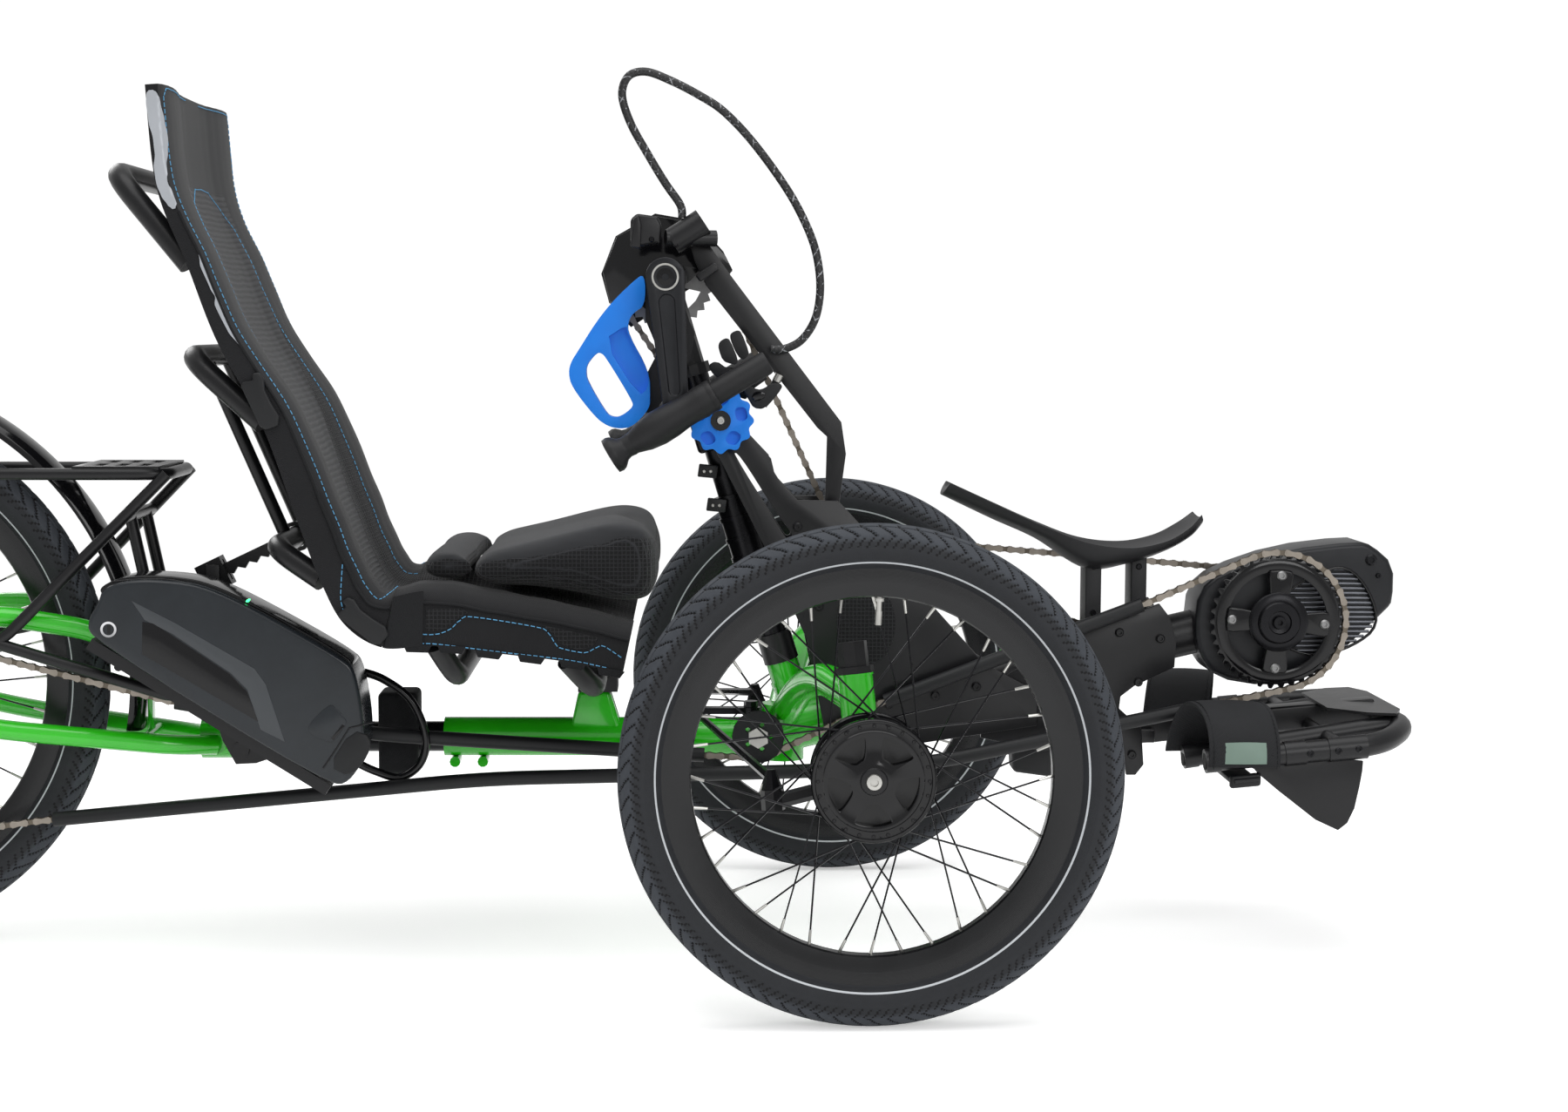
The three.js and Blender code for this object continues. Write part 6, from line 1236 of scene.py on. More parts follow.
# %% The three chains
UPPER_RUN = [(331, -54, 388), (28, -54, 274)]
MIDDLE_RUN = [(-151, -54, 217), (-541, -54, 243), (-748, -54, 279)]
RETURN_RUN = [(-891, -54, 147), (-402, -76, 196), (-45, -76, 203), (81, -76, 210), (233, -66, 240),
              (380, -54, 268)]
drive = [wheel_stop(MOTOR, 38, 1, -54), *guides(UPPER_RUN), wheel_stop((-103, 238), 0, -1, -54, 24),
         *guides(MIDDLE_RUN), wheel_stop(REAR_AXLE, 36, 1, -50), wheel_stop((-1096, 203), 11, -1, -50),
         wheel_stop((-1106, 140), 11, 1, -50), *guides(RETURN_RUN)]
strung("drive_chain_links", drive, "drive_chain")
strung("hand_chain_links", [wheel_stop(CRANK, 28, 1, 27), wheel_stop(JACK, 13, 1, 27)], "hand_chain")
strung("front_chain_links", [wheel_stop(JACK, 13, 1, 56), wheel_stop(MOTOR, 23, 1, 56)], "front_chain")

# %% [markdown]
# ## Chain tubes
# Where the chain passes the rider it runs in black plastic tube, open at both ends.


# %% Chain tubes
def pipe(name, run, node):
    points = [at(*place) for place in run]
    points[0], points[-1] = points[0].lerp(points[1], 0.03), points[-1].lerp(points[-2], 0.03)
    outer = tube(name, points, 8, 60, 6, 8)
    only(outer)
    for face in outer.data.polygons:
        face.select = len(face.vertices) > 4
    bpy.context.tool_settings.mesh_select_mode = (False, False, True)
    bpy.ops.object.mode_set(mode="EDIT")
    bpy.ops.mesh.delete(type="FACE")
    bpy.ops.object.mode_set(mode="OBJECT")
    modify(outer, "SOLIDIFY", thickness=0.0016, offset=-1)
    return settle(outer, "frame", PLASTIC, [node], angle=50)


pipe("front_guard_pipe", UPPER_RUN, "upper_chain_tube_front")
pipe("middle_guard_pipe", MIDDLE_RUN, "upper_chain_tube_rear")
pipe("return_guard_pipe", RETURN_RUN, "return_chain_tube")

# %% [markdown]
# ## Placing
# Small details were read off the photograph. The camera is known, so a point of the picture and a depth
# give one place in space. This keeps bolts, patches and stitches where they are seen, on the surface
# that carries them.


# %% From picture to place
PICTURE_MIDDLE = (900, 638.5)
FOCUS = 2947.33


def seen(px, py, y):
    u, v = (px - PICTURE_MIDDLE[0]) / FOCUS, -(py - PICTURE_MIDDLE[1]) / FOCUS
    ray = forward + right * u + up * v
    return EYE + ray * ((y * MM - EYE.y) / ray.y)


def seen_outline(points, y):
    return [drawn(seen(px, py, y)) for px, py in points]


def seen_plate(name, picture, near, far, edge, passes=0, segments=2, angle=40):
    """A plate whose outline was read off the photograph at the depth of its near face."""
    outline = round_outline(seen_outline(picture, near), passes)
    return soften(plate(name, outline, near, far), edge, segments, angle)


# %% [markdown]
# ## Seat fabric
# The seat is a padded sling. Its middle is a thick spacer mesh with open cells, and the borders are a
# smooth knit. Both are dark, so painted light and shade, lighter on raised strands and rib crests and
# darker in the cells and hollows, and their soft sheen tell them apart. The pattern follows the cloth
# through a UV map in metres: the first number runs across, the second along.


# %% Cloth materials
CLOTH_DULL = 0.3
MESH_FROM = 0.1
MESH_HALF = 0.107


def open_mesh(paint, random, vector=None):
    return 1 - (paint.cells(230, random, "DISTANCE_TO_EDGE", vector) * 7).least(1)


def seat_cloth():
    """A ribbed channel that narrows upwards, between two strips of open mesh, on a plain knit."""
    paint = Paint("seat_cloth")
    uv = paint.node("ShaderNodeUVMap", {"uv_map": "cloth"}).outputs[0]
    across, along, _ = paint.axes(uv)
    edge = ((along - 0.25) * 5).most(0).least(1) * -0.052 + MESH_HALF
    middle = (across.size() < edge) * (along > MESH_FROM)
    bolster = (across.size() < MESH_HALF) * (along > MESH_FROM) * (1 - middle)
    border = 1 - middle.most(bolster)
    holes = open_mesh(paint, 0.08, uv) * bolster
    ribs = ((along * 950 + paint.noise(14, 2, 0.5, uv) * 5).sin() * 0.5 + 0.5) * middle
    knit = (((across * 3600).sin() * (along * 3600).sin()) * 0.5 + 0.5) * border
    # Painted light and shade: mesh strands and rib crests are lighter, open cells and rib hollows darker; the
    # border gets a random tone.
    light = holes + ribs * 0.7 + paint.noise(9, 4, 0.6) * border * 0.35
    colour = paint.mix(light.least(1), srgb(14, 14, 16), srgb(48, 49, 52))
    return paint.set(Base_Color=colour, Roughness=0.84 - middle * 0.16, Sheen_Weight=0.12,
                     Specular_IOR_Level=CLOTH_DULL,
                     Normal=paint.bump(holes * 1.4 + ribs * 1.6 + knit * 0.2, 0.0009, 1.0))


def cushion_cloth():
    """A plain cover on top, and open mesh down the sides."""
    paint = Paint("cushion_cloth")
    _, _, facing_up = paint.axes(paint.node("ShaderNodeTexCoord").outputs["Normal"])
    top = facing_up > 0.45
    holes = open_mesh(paint, 0.1)
    height = holes * (1 - top) + paint.noise(1500, 2) * top * 0.35
    fade = paint.noise(14, 4, 0.6)
    # Painted shade: the open cells of the side mesh are darker than its raised strands.
    side = paint.mix(holes, srgb(12, 12, 14), srgb(46, 47, 50))
    cover = paint.mix(fade, srgb(27, 28, 30), srgb(40, 41, 44))
    return paint.set(Base_Color=paint.mix(top, side, cover), Roughness=0.9 - fade * 0.08, Sheen_Weight=0.12,
                     Specular_IOR_Level=CLOTH_DULL, Normal=paint.bump(height, 0.0008, 0.9))


def webbing(name, low, high):
    paint = Paint(name)
    x, y, z = paint.axes(paint.place())
    ribs = ((x + y + z) * 2600).sin() * ((x - z) * 1500).sin()
    fade = paint.noise(25, 4)
    return paint.set(Base_Color=paint.mix(fade, low, high), Roughness=0.8 + fade * 0.1,
                     Specular_IOR_Level=CLOTH_DULL, Normal=paint.bump(ribs * 0.5 + 0.5, 0.0003, 0.8))


def plain(name, colour, roughness, metallic=0.0, glow=None):
    paint = Paint(name)
    haze = paint.noise(45, 4)
    if glow:
        paint.set(Emission_Strength=glow, Emission_Color=colour)
    return paint.set(Base_Color=paint.mix(haze, scaled(colour, 0.82), colour), Metallic=metallic,
                     Roughness=roughness - 0.04 + haze * 0.08)


SEAT_CLOTH = seat_cloth()
CUSHION_CLOTH = cushion_cloth()
WEBBING = webbing("black_webbing", srgb(18, 18, 20), srgb(32, 33, 35))
THREAD = plain("pale_blue_thread", srgb(96, 168, 214), 0.7)
REFLECTIVE = plain("silver_reflective_tape", srgb(186, 190, 196), 0.4, 0.2)
PATCH = plain("grey_green_patch", srgb(118, 140, 128), 0.55)

# %% [markdown]
# ## Seat shell
# One outline runs down the back and forward along the base. The section across it has two raised
# bolsters and a lower middle. A function gives the skin's point for any place along and across, so the
# shell, its stitching and its patches all lie on the same surface.


# %% Seat skin
EDGE = [(0.01, 1), (0.03, 0.83), (0.09, 0.7), (0.15, 0.57), (0.24, 0.43), (0.31, 0.27), (0.36, 0.16),
        (0.41, 0.085), (0.49, 0.045), (0.6, 0.048), (0.73, 0.035), (0.88, 0.02), (1, 0)]
SEAT_LINE = [Vector((x, 0, z)) for x, z in fitted((-740, 327, 491, 607), EDGE)]
DEPTHS = [20, 21, 25, 29, 38, 44, 46, 50, 62, 66, 62, 56, 52]
ACROSS = [(0, 0.55), (0.2, 0.56), (0.36, 0.62), (0.5, 0.78), (0.62, 0.92), (0.74, 0.99), (0.86, 0.97),
          (0.95, 0.86), (1, 0.7)]
HALF_WIDTH = 194
WALL = 194.4


def seat_frame_at(station):
    """The seat line's place, its normal and the padding's depth, in the drawing's millimetres."""
    ahead = smooth_value(SEAT_LINE, min(12, station + 0.8)) - smooth_value(SEAT_LINE, max(0, station - 0.8))
    ahead.normalize()
    return smooth_value(SEAT_LINE, station), Vector((-ahead.z, 0, ahead.x)), smooth_value(DEPTHS, station)


def row_value(rows, share, column=1):
    """A column of the rows at a share, eased from one row to the next. Each row starts with its share."""
    for a, b in zip(rows, rows[1:]):
        if share <= b[0]:
            return a[column] + (b[column] - a[column]) * ease((share - a[0]) / (b[0] - a[0]))
    return rows[-1][column]


def padding(station, share, depth):
    return depth * row_value(ACROSS, abs(share)) * (1 + 0.008 * math.sin(station * 9.3 + share * 4))


def off_line(station, height, y):
    """A place at a height above the seat's line, in millimetres."""
    place, normal, _ = seat_frame_at(station)
    spot = place + normal * height
    return at(spot.x, y, spot.z)


def skin(station, share, lift=0.0):
    depth = seat_frame_at(station)[2]
    return off_line(station, padding(station, share, depth) + lift, share * HALF_WIDTH)


def wall_spot(station, rise, side, out):
    return off_line(station, seat_frame_at(station)[2] * rise, side * (WALL + out))


# %% Seat shell pieces
def seat_shell(name, first, last, rings):
    tops = [i / 22 for i in range(-22, 23)]
    points, uvs, along, before = [], [], 0.0, None
    for i in range(rings + 1):
        station = first + (last - first) * i / rings
        place, _, depth = seat_frame_at(station)
        along += (place - before).length * MM if before else 0.0
        before = place
        ring = [(share * HALF_WIDTH, padding(station, share, depth)) for share in tops]
        under = [(194.6, depth * 0.4), (194, 1.2), (190.5, 0.6), (190.5, 12.6), (170, 12.6)]
        ring += under + [(0, min(depth * 0.55 - 4, 12.6))] + [(-y, height) for y, height in reversed(under)]
        points += [off_line(station, height, y) for y, height in ring]
        uvs += [(y * MM, along + first * 0.11) for y, _ in ring]
    piece = raw_mesh(name, points, faces=ring_faces(rings, len(ring)))
    layer = piece.data.uv_layers.new(name="cloth")
    for loop in piece.data.loops:
        layer.data[loop.index].uv = uvs[loop.vertex_index]
    return outwards(piece)


for part, first, last, rings in (("back", 0, 7.98, 84), ("base", 8.0, 12, 46)):
    shell = seat_shell(f"seat_{part}_shell", first, last, rings)
    settle(shell, "seat", SEAT_CLOTH, [f"seat_{part}_cover"], angle=50)

# %% [markdown]
# ## Stitching and patches
# Pale blue thread runs in short dashes round the mesh panel and along the borders. One dash is modelled
# and copied along each seam. Silver tape is laid on the shoulders of the back.


# %% Stitching
def dash_pattern(length=4.6):
    return rod_pattern(0.55, length, 6, (0, math.pi / 2, 0))


def seam(path, spacing=6.6):
    places, used = [], 0.0
    for a, b in zip(path, path[1:]):
        length, along = (b - a).length * 1000, (b - a).normalized()
        while used < length:
            spot = a.lerp(b, used / max(length, 1e-6))
            places.append(Matrix.Translation(spot) @ along.to_track_quat("X", "Z").to_matrix().to_4x4())
            used += spacing
        used -= length
    return places


def skin_line(pairs, side, count=120, lift=0.35):
    line = []
    for i in range(count + 1):
        t = i / count * (len(pairs) - 1)
        k = min(int(t), len(pairs) - 2)
        t -= k
        station, share = (a * (1 - t) + b * t for a, b in zip(pairs[k], pairs[k + 1]))
        line.append(skin(station, side * share, lift))
    return line


MESH_SEAM = [(0.95, 0), (0.97, 0.2), (1.15, 0.38), (1.5, 0.5), (3, 0.55), (6, 0.55), (7.9, 0.55)]
BORDER_SEAM = [(0.06, 0.2), (0.06, 0.9), (0.2, 0.955), (3, 0.955), (7.2, 0.955), (7.9, 0.7)]
PANEL_SEAM = [(8.6, 0.24), (9.0, 0.2), (9.25, 0.3), (9.42, 0.48), (9.6, 0.56), (10.5, 0.57), (10.68, 0.5),
              (10.82, 0.3), (10.95, 0.25), (11.25, 0.26), (11.4, 0.4), (11.52, 0.46), (11.95, 0.3)]
HEM_SEAM = [(8.55, 0.06), (9, 0.05), (10, 0.05), (11, 0.06), (11.6, 0.06)]
FLAP_SEAM = [(5.9, 0.62), (6.2, 0.42), (6.5, 0.26), (6.85, 0.16)]

places = []
for side in (-1, 1):
    for pairs in (MESH_SEAM, BORDER_SEAM):
        places += seam(skin_line(pairs, side))
    for wall in (PANEL_SEAM, HEM_SEAM, FLAP_SEAM):
        places += seam(flowing([wall_spot(station, rise, side, 0.7) for station, rise in wall], 60))
trim(copies("seat_stitches", dash_pattern(), places), "seat", THREAD, "black_fabric", 0)
print("stitches:", len(places))


# %% Silver tape and piping
def edge_spot(station, down, side, lift):
    """A point on the seat's rounded edge: down is the distance past the corner, onto the side wall."""
    if down <= 0:
        spot = skin(station, side * (1 + down / HALF_WIDTH), lift)
        return spot + Vector((0, side * lift * MM * (1 + down / 30), 0))
    return wall_spot(station, 0.7 - down / seat_frame_at(station)[2], side, lift)


def edge_tape(name, rows, side, lift=0.6, steps=48, columns=9):
    """Tape along the edge; each row is a station and how far down its two borders lie."""
    points = []
    for i in range(steps + 1):
        station = rows[0][0] + (rows[-1][0] - rows[0][0]) * i / steps
        low, high = (row_value(rows, station, column) for column in (1, 2))
        for j in range(columns + 1):
            points.append(edge_spot(station, low + (high - low) * j / columns, side, lift))
    piece = raw_mesh(name, points, faces=grid_faces(steps, columns))
    modify(piece, "SOLIDIFY", thickness=0.0007, offset=0)
    return trim(piece, "seat", REFLECTIVE, "black_fabric", 50)


def edge_piping(name, side, first, length, steps):
    out = Vector((0, side * 0.0006, 0))
    edge = [skin(first + length * i / steps, side, 0.2) + out for i in range(steps + 1)]
    return trim(tube(name, edge, 1.5, 0, 3), "seat", WEBBING, "black_fabric", 60)


SHOULDER = [(0.1, 5, 9), (0.14, 1, 12), (0.25, -2, 13), (0.42, -6, 12), (0.58, -9, 9), (0.7, -6, 9),
            (0.82, -1, 12), (0.98, 1, 12.5), (1.12, -1, 11), (1.24, -1, 8), (1.3, 2, 5)]
WAIST = [(1.95, 0, 1.2), (2.1, -1, 4), (2.4, -1, 3), (2.5, 0, 1.5), (2.6, -2, 5), (2.95, -2, 4), (3.15, 0, 1)]
for side, hand in HANDS:
    edge_tape(f"shoulder_tape_{hand}", SHOULDER, side)
    edge_tape(f"waist_tape_{hand}", WAIST, side)
    edge_piping(f"back_piping_{hand}", side, 1.34, 6.62, 80)
    edge_piping(f"base_piping_{hand}", side, 8.05, 3.9, 50)


# %% [markdown]
# ## Straps on the seat
# Webbing holds the cover to its frame: a broad band over the corner, narrow straps across the open back
# between the rails, tabs along the hem and plastic clips on the sides. Two mesh panels sit in the side
# of the base.


# %% Seat straps
def strap(name, path, width, thick, across):
    points = []
    for i, p in enumerate(path):
        along = (path[min(i + 1, len(path) - 1)] - path[max(i - 1, 0)]).normalized()
        out = along.cross(across).normalized()
        for a, b in ((-0.5, -0.5), (0.5, -0.5), (0.5, 0.5), (-0.5, 0.5)):
            points.append(p + across * a * width * MM + out * b * thick * MM)
    return outwards(raw_mesh(name, points, faces=ring_faces(len(path) - 1, 4)))


def back_strap(station):
    normal = seat_frame_at(station)[1]
    path = [off_line(station, 2.2, y) for y in (-186, -90, 0, 90, 186)]
    return strap("back_strap", path, 24, 1.4, Vector((normal.z, 0, -normal.x)))


def corner_band(side, steps=8, rows=12):
    points = []
    for station in (8.05 + 0.75 * i / steps for i in range(steps + 1)):
        points += [wall_spot(station, 0.9 - 0.88 * j / rows, side, 1.2) for j in range(rows + 1)]
    piece = raw_mesh("corner_band", points, faces=grid_faces(steps, rows))
    return modify(piece, "SOLIDIFY", thickness=0.0018, offset=0)


def on_wall(station, rise, shape):
    """A small shape turned with the seat's line, as points of the drawing."""
    place, normal, depth = seat_frame_at(station)
    along = Vector((normal.z, 0, -normal.x))
    centre = place + normal * depth * rise
    return [(p.x, p.z) for p in (centre + along * a + normal * b for a, b in shape)]


def wall_plates(name, outlines, inner, outer, edge, segments, material, slot):
    """Thin plates on both side walls of the seat, between two distances from its middle."""
    plates = []
    for side in (-1, 1):
        for outline in outlines:
            flat = plate(name, outline, *outward(side, inner, outer))
            plates.append(soften(flat, edge, segments, 40))
    return trim(join(name, plates), "seat", material, slot, 40)


MESH_PANELS = ([(8.85, 0.6), (9.4, 0.66), (9.52, 0.62), (9.34, 0.46), (9.2, 0.31), (9.0, 0.25), (8.85, 0.27)],
               [(10.58, 0.62), (11.4, 0.6), (11.35, 0.42), (11.2, 0.3), (10.98, 0.29), (10.85, 0.36),
                (10.74, 0.5)])
CLIP = [(-27, -9), (-23, -12), (22, -12), (28, -7), (29, 6), (20, 11), (4, 9), (-10, 9), (-22, 13), (-29, 11),
        (-31, 4), (-24, 2)]
TAB = [(-15, 3), (-11, -5), (11, -5), (15, 3)]
straps = [back_strap(station) for station in (1.4, 2.4, 3.2, 4.6, 5.4)]
trim(join("back_straps", straps), "seat", WEBBING, "black_fabric", 30)
trim(join("corner_bands", [corner_band(-1), corner_band(1)]), "seat", WEBBING, "black_fabric", 30)
panels = [[drawn(wall_spot(station, rise, 1, 0)) for station, rise in panel] for panel in MESH_PANELS]
wall_plates("mesh_insets", panels, 194.5, 195.6, 0.4, 2, CUSHION_CLOTH, "black_fabric")
clips = [on_wall(station, 0.32, CLIP) for station in (3.8, 7.3)]
wall_plates("cover_clips", clips, 194.6, 199.5, 2, 3, PLASTIC, "black_plastic")
tabs = [on_wall(station, 0, TAB) for station in (8.7, 9.3, 9.9, 10.5, 11.1, 11.7)]
wall_plates("hem_tabs", tabs, 194.8, 196.2, 0.5, 2, WEBBING, "black_fabric")

# %% [markdown]
# ## Cushion
# The foam wedge under the rider has a soft cover, and a roll closes it at the back. Each starts as a
# slightly small loft of its section, is remeshed into even quads, and Blender's Cloth inflates it. A cap
# on how far any point may move keeps it inside its place.


# %% Inflate
def inflate(piece, voxel, pressure, cap):
    modify(piece, "REMESH", mode="VOXEL", voxel_size=voxel * MM)
    rest = [v.co.copy() for v in piece.data.vertices]
    cloth = piece.modifiers.new("cloth", "CLOTH")
    cloth.settings.quality = 5
    cloth.settings.mass = 0.3
    cloth.settings.use_pressure = True
    cloth.settings.uniform_pressure_force = pressure
    cloth.settings.effector_weights.gravity = 0
    cloth.settings.shrink_min = -0.01
    for number in range(1, 17):
        bpy.context.scene.frame_set(number)
    only(piece)
    bpy.ops.object.modifier_apply(modifier="cloth")
    for vertex, start in zip(piece.data.vertices, rest):
        move = vertex.co - start
        if move.length > cap * MM:
            vertex.co = start + move.normalized() * cap * MM
    modify(piece, "SMOOTH", factor=0.6, iterations=14)
    return modify(piece, "SUBSURF", levels=1, render_levels=1)


# %% Cushion pieces
WEDGE = [(0.2, 0.38), (0.22, 0.56), (0.27, 0.61), (0.49, 0.74), (0.69, 0.88), (0.84, 0.955), (0.93, 0.93),
         (0.975, 0.8), (0.985, 0.12), (0.88, 0.11), (0.73, 0.2), (0.49, 0.31), (0.29, 0.32)]
ROLL = [(0.01, 0.42), (0.02, 0.55), (0.07, 0.635), (0.14, 0.63), (0.2, 0.55), (0.21, 0.36), (0.05, 0.36)]
CUSHION = (-468, 387, 262, 100)
CROWN = [(0, 0.955), (0.3, 0.985), (0.6, 1.0), (0.86, 0.985), (0.96, 0.92), (1, 0.8)]


def pad_loft(name, shares, half_width, shrink):
    """The section swept from side to side; CROWN gives its size at each share of the half width."""
    outline = round_outline(fitted(CUSHION, shares), 2)
    mx, mz = CUSHION[0] + CUSHION[2] / 2, CUSHION[1] + CUSHION[3] / 2
    rows = [(-across, grow) for across, grow in reversed(CROWN)] + CROWN[1:]
    points = []
    for across, grow in rows:
        for x, z in outline:
            ahead, above = (x - mx) * shrink * (0.5 + 0.5 * grow), (z - mz) * shrink * grow
            points.append(at(mx + ahead, across * half_width * shrink, mz + above))
    return outwards(raw_mesh(name, points, faces=ring_faces(len(rows) - 1, len(outline))))


wedge = inflate(pad_loft("thigh_cushion", WEDGE, 172, 0.965), 5, 2.4, 4)
settle(wedge, "seat", CUSHION_CLOTH, ["seat_cushion"], angle=80)
roll = inflate(pad_loft("rear_cushion_roll", ROLL, 150, 0.99), 4, 2.4, 3)
trim(roll, "seat", CUSHION_CLOTH, "black_fabric", 80)
print("cushion vertices:", len(wedge.data.vertices), len(roll.data.vertices))

# %% Seat frame
CROSS_LOOPS = (((-777, 848), 2), ((-702, 657), 4), ((-616, 456), 6), ((-426, 319), 9), ((-281, 306), 11))
parts = []
for side in (-1, 1):
    rail = [off_line(station, 6.2, side * 180) for station in range(1, 13)]
    parts.append(tube("seat_rails", flowing(rail, 60), 6, 0, 5))
for (x, z), station in CROSS_LOOPS:
    path = [off_line(station, 1, -177), at(x, -150, z), at(x, 150, z), off_line(station, 1, 177)]
    parts.append(tube("loop", path, 12, 42, 6, 8))
for side in (-1, 1):
    parts.append(rod("stay", at(-702, side * 60, 657), at(-616, side * 60, 456), 7))
settle(join("seat_rails", parts), "seat", POWDER, ["seat_frame"], angle=50)

# %% [markdown]
# ## Battery
# The battery is a rounded shell with a gloss crown, a gloss inlay low on its side and a paler band
# between them. The panels are thin overlays whose corners were read off the photograph. The charge
# port has its own cover, and the lock is a turned ring round a dark slot, painted shade for the keyway.


# %% Battery shell
BATTERY_FACE = -148
BATTERY = [(0.01, 0.71), (0, 0.8), (0.04, 0.88), (0.06, 0.96), (0.17, 1), (0.33, 0.99), (0.44, 0.96),
           (0.6, 0.86), (0.93, 0.62), (0.97, 0.55), (1, 0.29), (0.99, 0.13), (0.94, 0.02), (0.87, 0)]
BATTERY_CROWN = [(-808, 408), (-790, 421), (-764, 426), (-718, 424), (-686, 417), (-640, 395), (-545, 341),
                 (-534, 326), (-560, 318), (-640, 360), (-700, 390), (-780, 395)]
outline = round_outline(fitted((-815, 200, 291, 223), BATTERY), 2)
shell = soften(plate("battery_shell", outline, BATTERY_FACE, -66), 11, 6, 25)
settle(shell, "frame", DARK_GREY, ["battery_case"], angle=40)
crown = soften(plate("battery_crown", round_outline(BATTERY_CROWN, 2), -136, -80), 6, 5, 25)
trim(crown, "frame", GLOSS, "black_plastic", 40)

# %% Battery panels
INLAY = [(163.5, 714), (176, 716), (198, 730), (264, 774), (283, 793), (297, 829), (163, 751)]
STRIPE = [(151, 690), (200, 715), (292, 768), (305, 786), (327, 852), (299, 838), (284, 792), (265, 773),
          (198, 728), (166, 712)]
END_CAP = [(404, 838), (427, 846), (422, 870), (403, 892), (377, 880)]
CHARGE_COVER = [(376, 810), (384, 810), (398, 827), (397, 832), (383, 853), (374, 851), (355, 843),
                (354, 832)]
CHARGE_SLOT = [(393, 832), (396, 834), (383, 850), (380, 848)]
LIGHT = [(281.5, 691), (285, 687.5), (288, 688), (285, 692)]
END_SEAM = ((430, 829), (401, 836), (386, 860), (371, 882))
RIDGE = ((128, 668), (170, 665), (208, 668), (252, 682), (300, 703), (352, 733), (386, 762), (398, 776))
BAND = plain("battery_band", srgb(62, 66, 70), 0.4)
LED = plain("green_light", (0.05, 1.0, 0.25, 1), 0.4, 0, 3.0)


def overlay(name, picture, y, thick, material, slot, passes=1, edge=0.4):
    """A thin panel that stands out from the battery's face at y."""
    piece = plate(name, round_outline(seen_outline(picture, y), passes), y - thick, y + 1.5)
    return trim(soften(piece, edge, 2, 40), "frame", material, slot, 40)


overlay("battery_inlay", INLAY, BATTERY_FACE, 0.5, GLOSS, "black_plastic", 0)
overlay("battery_stripe", STRIPE, BATTERY_FACE, 0.35, BAND, "grey_plastic", 0)
overlay("battery_end_cap", END_CAP, BATTERY_FACE + 0.6, 2, PLASTIC, "black_plastic", edge=1)
overlay("charge_cover", CHARGE_COVER, BATTERY_FACE, 1.0, DARK_GREY, "grey_plastic", edge=0.6)
overlay("charge_slot", CHARGE_SLOT, BATTERY_FACE - 1, 0.6, GLOSS, "black_plastic", 0, 0.2)
overlay("battery_light", LIGHT, -136.5, 1.2, LED, "green_paint", edge=0.1)
end_seam = [seen(px, py, BATTERY_FACE - 0.4) for px, py in END_SEAM]
trim(tube("battery_seam", end_seam, 0.9, 0, 2), "frame", GLOSS, "black_plastic")
ridge = flowing([seen(px, py, -141) for px, py in RIDGE], 50)
trim(tube("battery_ridge", ridge, 1.1, 0, 3), "frame", GLOSS, "black_plastic")


# %% Battery lock and bolts
def seen_bolt(px, py, face, radius, height):
    return bolt(*drawn(seen(px, py, face)), face, radius, height)


ring = [(0, -147.5), (5.8, -147.5), (6.0, -149.6), (8.4, -149.8), (8.9, -148.8), (8.9, -140), (0, -140)]
settle(turned("lock_ring", ring, (-791.7, 369.5), 36, closed=False), "lock", CHROME, ["battery_lock"])
# Painted shade: a dark plate on the lock's chrome face stands in for the keyway.
trim(plate("keyway_shade", rectangle(-793.2, -790.2, 365, 374), -148.3, -146), "lock", GLOSS, "chrome")
washer = [(0, -74), (9.5, -74), (9.8, -76), (8.6, -77.2), (5, -77.4), (4, -76.2), (0, -76.2)]
trim(turned("battery_lug_bolt", washer, (-666, 230), 32, closed=False), "frame", STEEL, "steel")
bolts = [seen_bolt(220, 803, -72, 4.5, 3), seen_bolt(318, 866, -72, 3.5, 3)]
trim(join("battery_rail_bolts", bolts), "frame", STEEL, "steel")

# %% [markdown]
# ## Motor
# The motor hangs at the nose. Its case is cast, with a sunk field of cooling ribs in a rounded frame.
# In front of it turns a chainring on a four-armed spider with a domed cap.


# %% Motor case
MOTOR_BOX = (384, 290, 224, 164)
CASE = [(0, 0.39), (0.02, 0.66), (0.13, 0.79), (0.45, 0.94), (0.82, 1), (0.89, 0.97), (1, 0.84), (1, 0.59),
        (0.97, 0.53), (0.73, 0.22), (0.58, 0.05), (0.38, 0), (0.11, 0.06), (0.03, 0.22)]
FIELD = [(0.40, 0.60), (0.6, 0.78), (0.76, 0.84), (0.88, 0.66), (0.93, 0.42), (0.8, 0.28), (0.6, 0.2),
         (0.42, 0.3)]
CAST = black_coat("cast_motor_case", srgb(27, 28, 31), 0.36, 1300, 0.00007, 0.2)
RIB = bright_metal("dull_rib_metal", srgb(122, 124, 130), 0.38)


def span_at(outline, z):
    """The outline's first and last x at a height."""
    hits = []
    for (x0, z0), (x1, z1) in zip(outline, outline[1:] + outline[:1]):
        if (z0 - z) * (z1 - z) < 0:
            hits.append(x0 + (x1 - x0) * (z - z0) / (z1 - z0))
    return (min(hits), max(hits)) if hits else (0, 0)


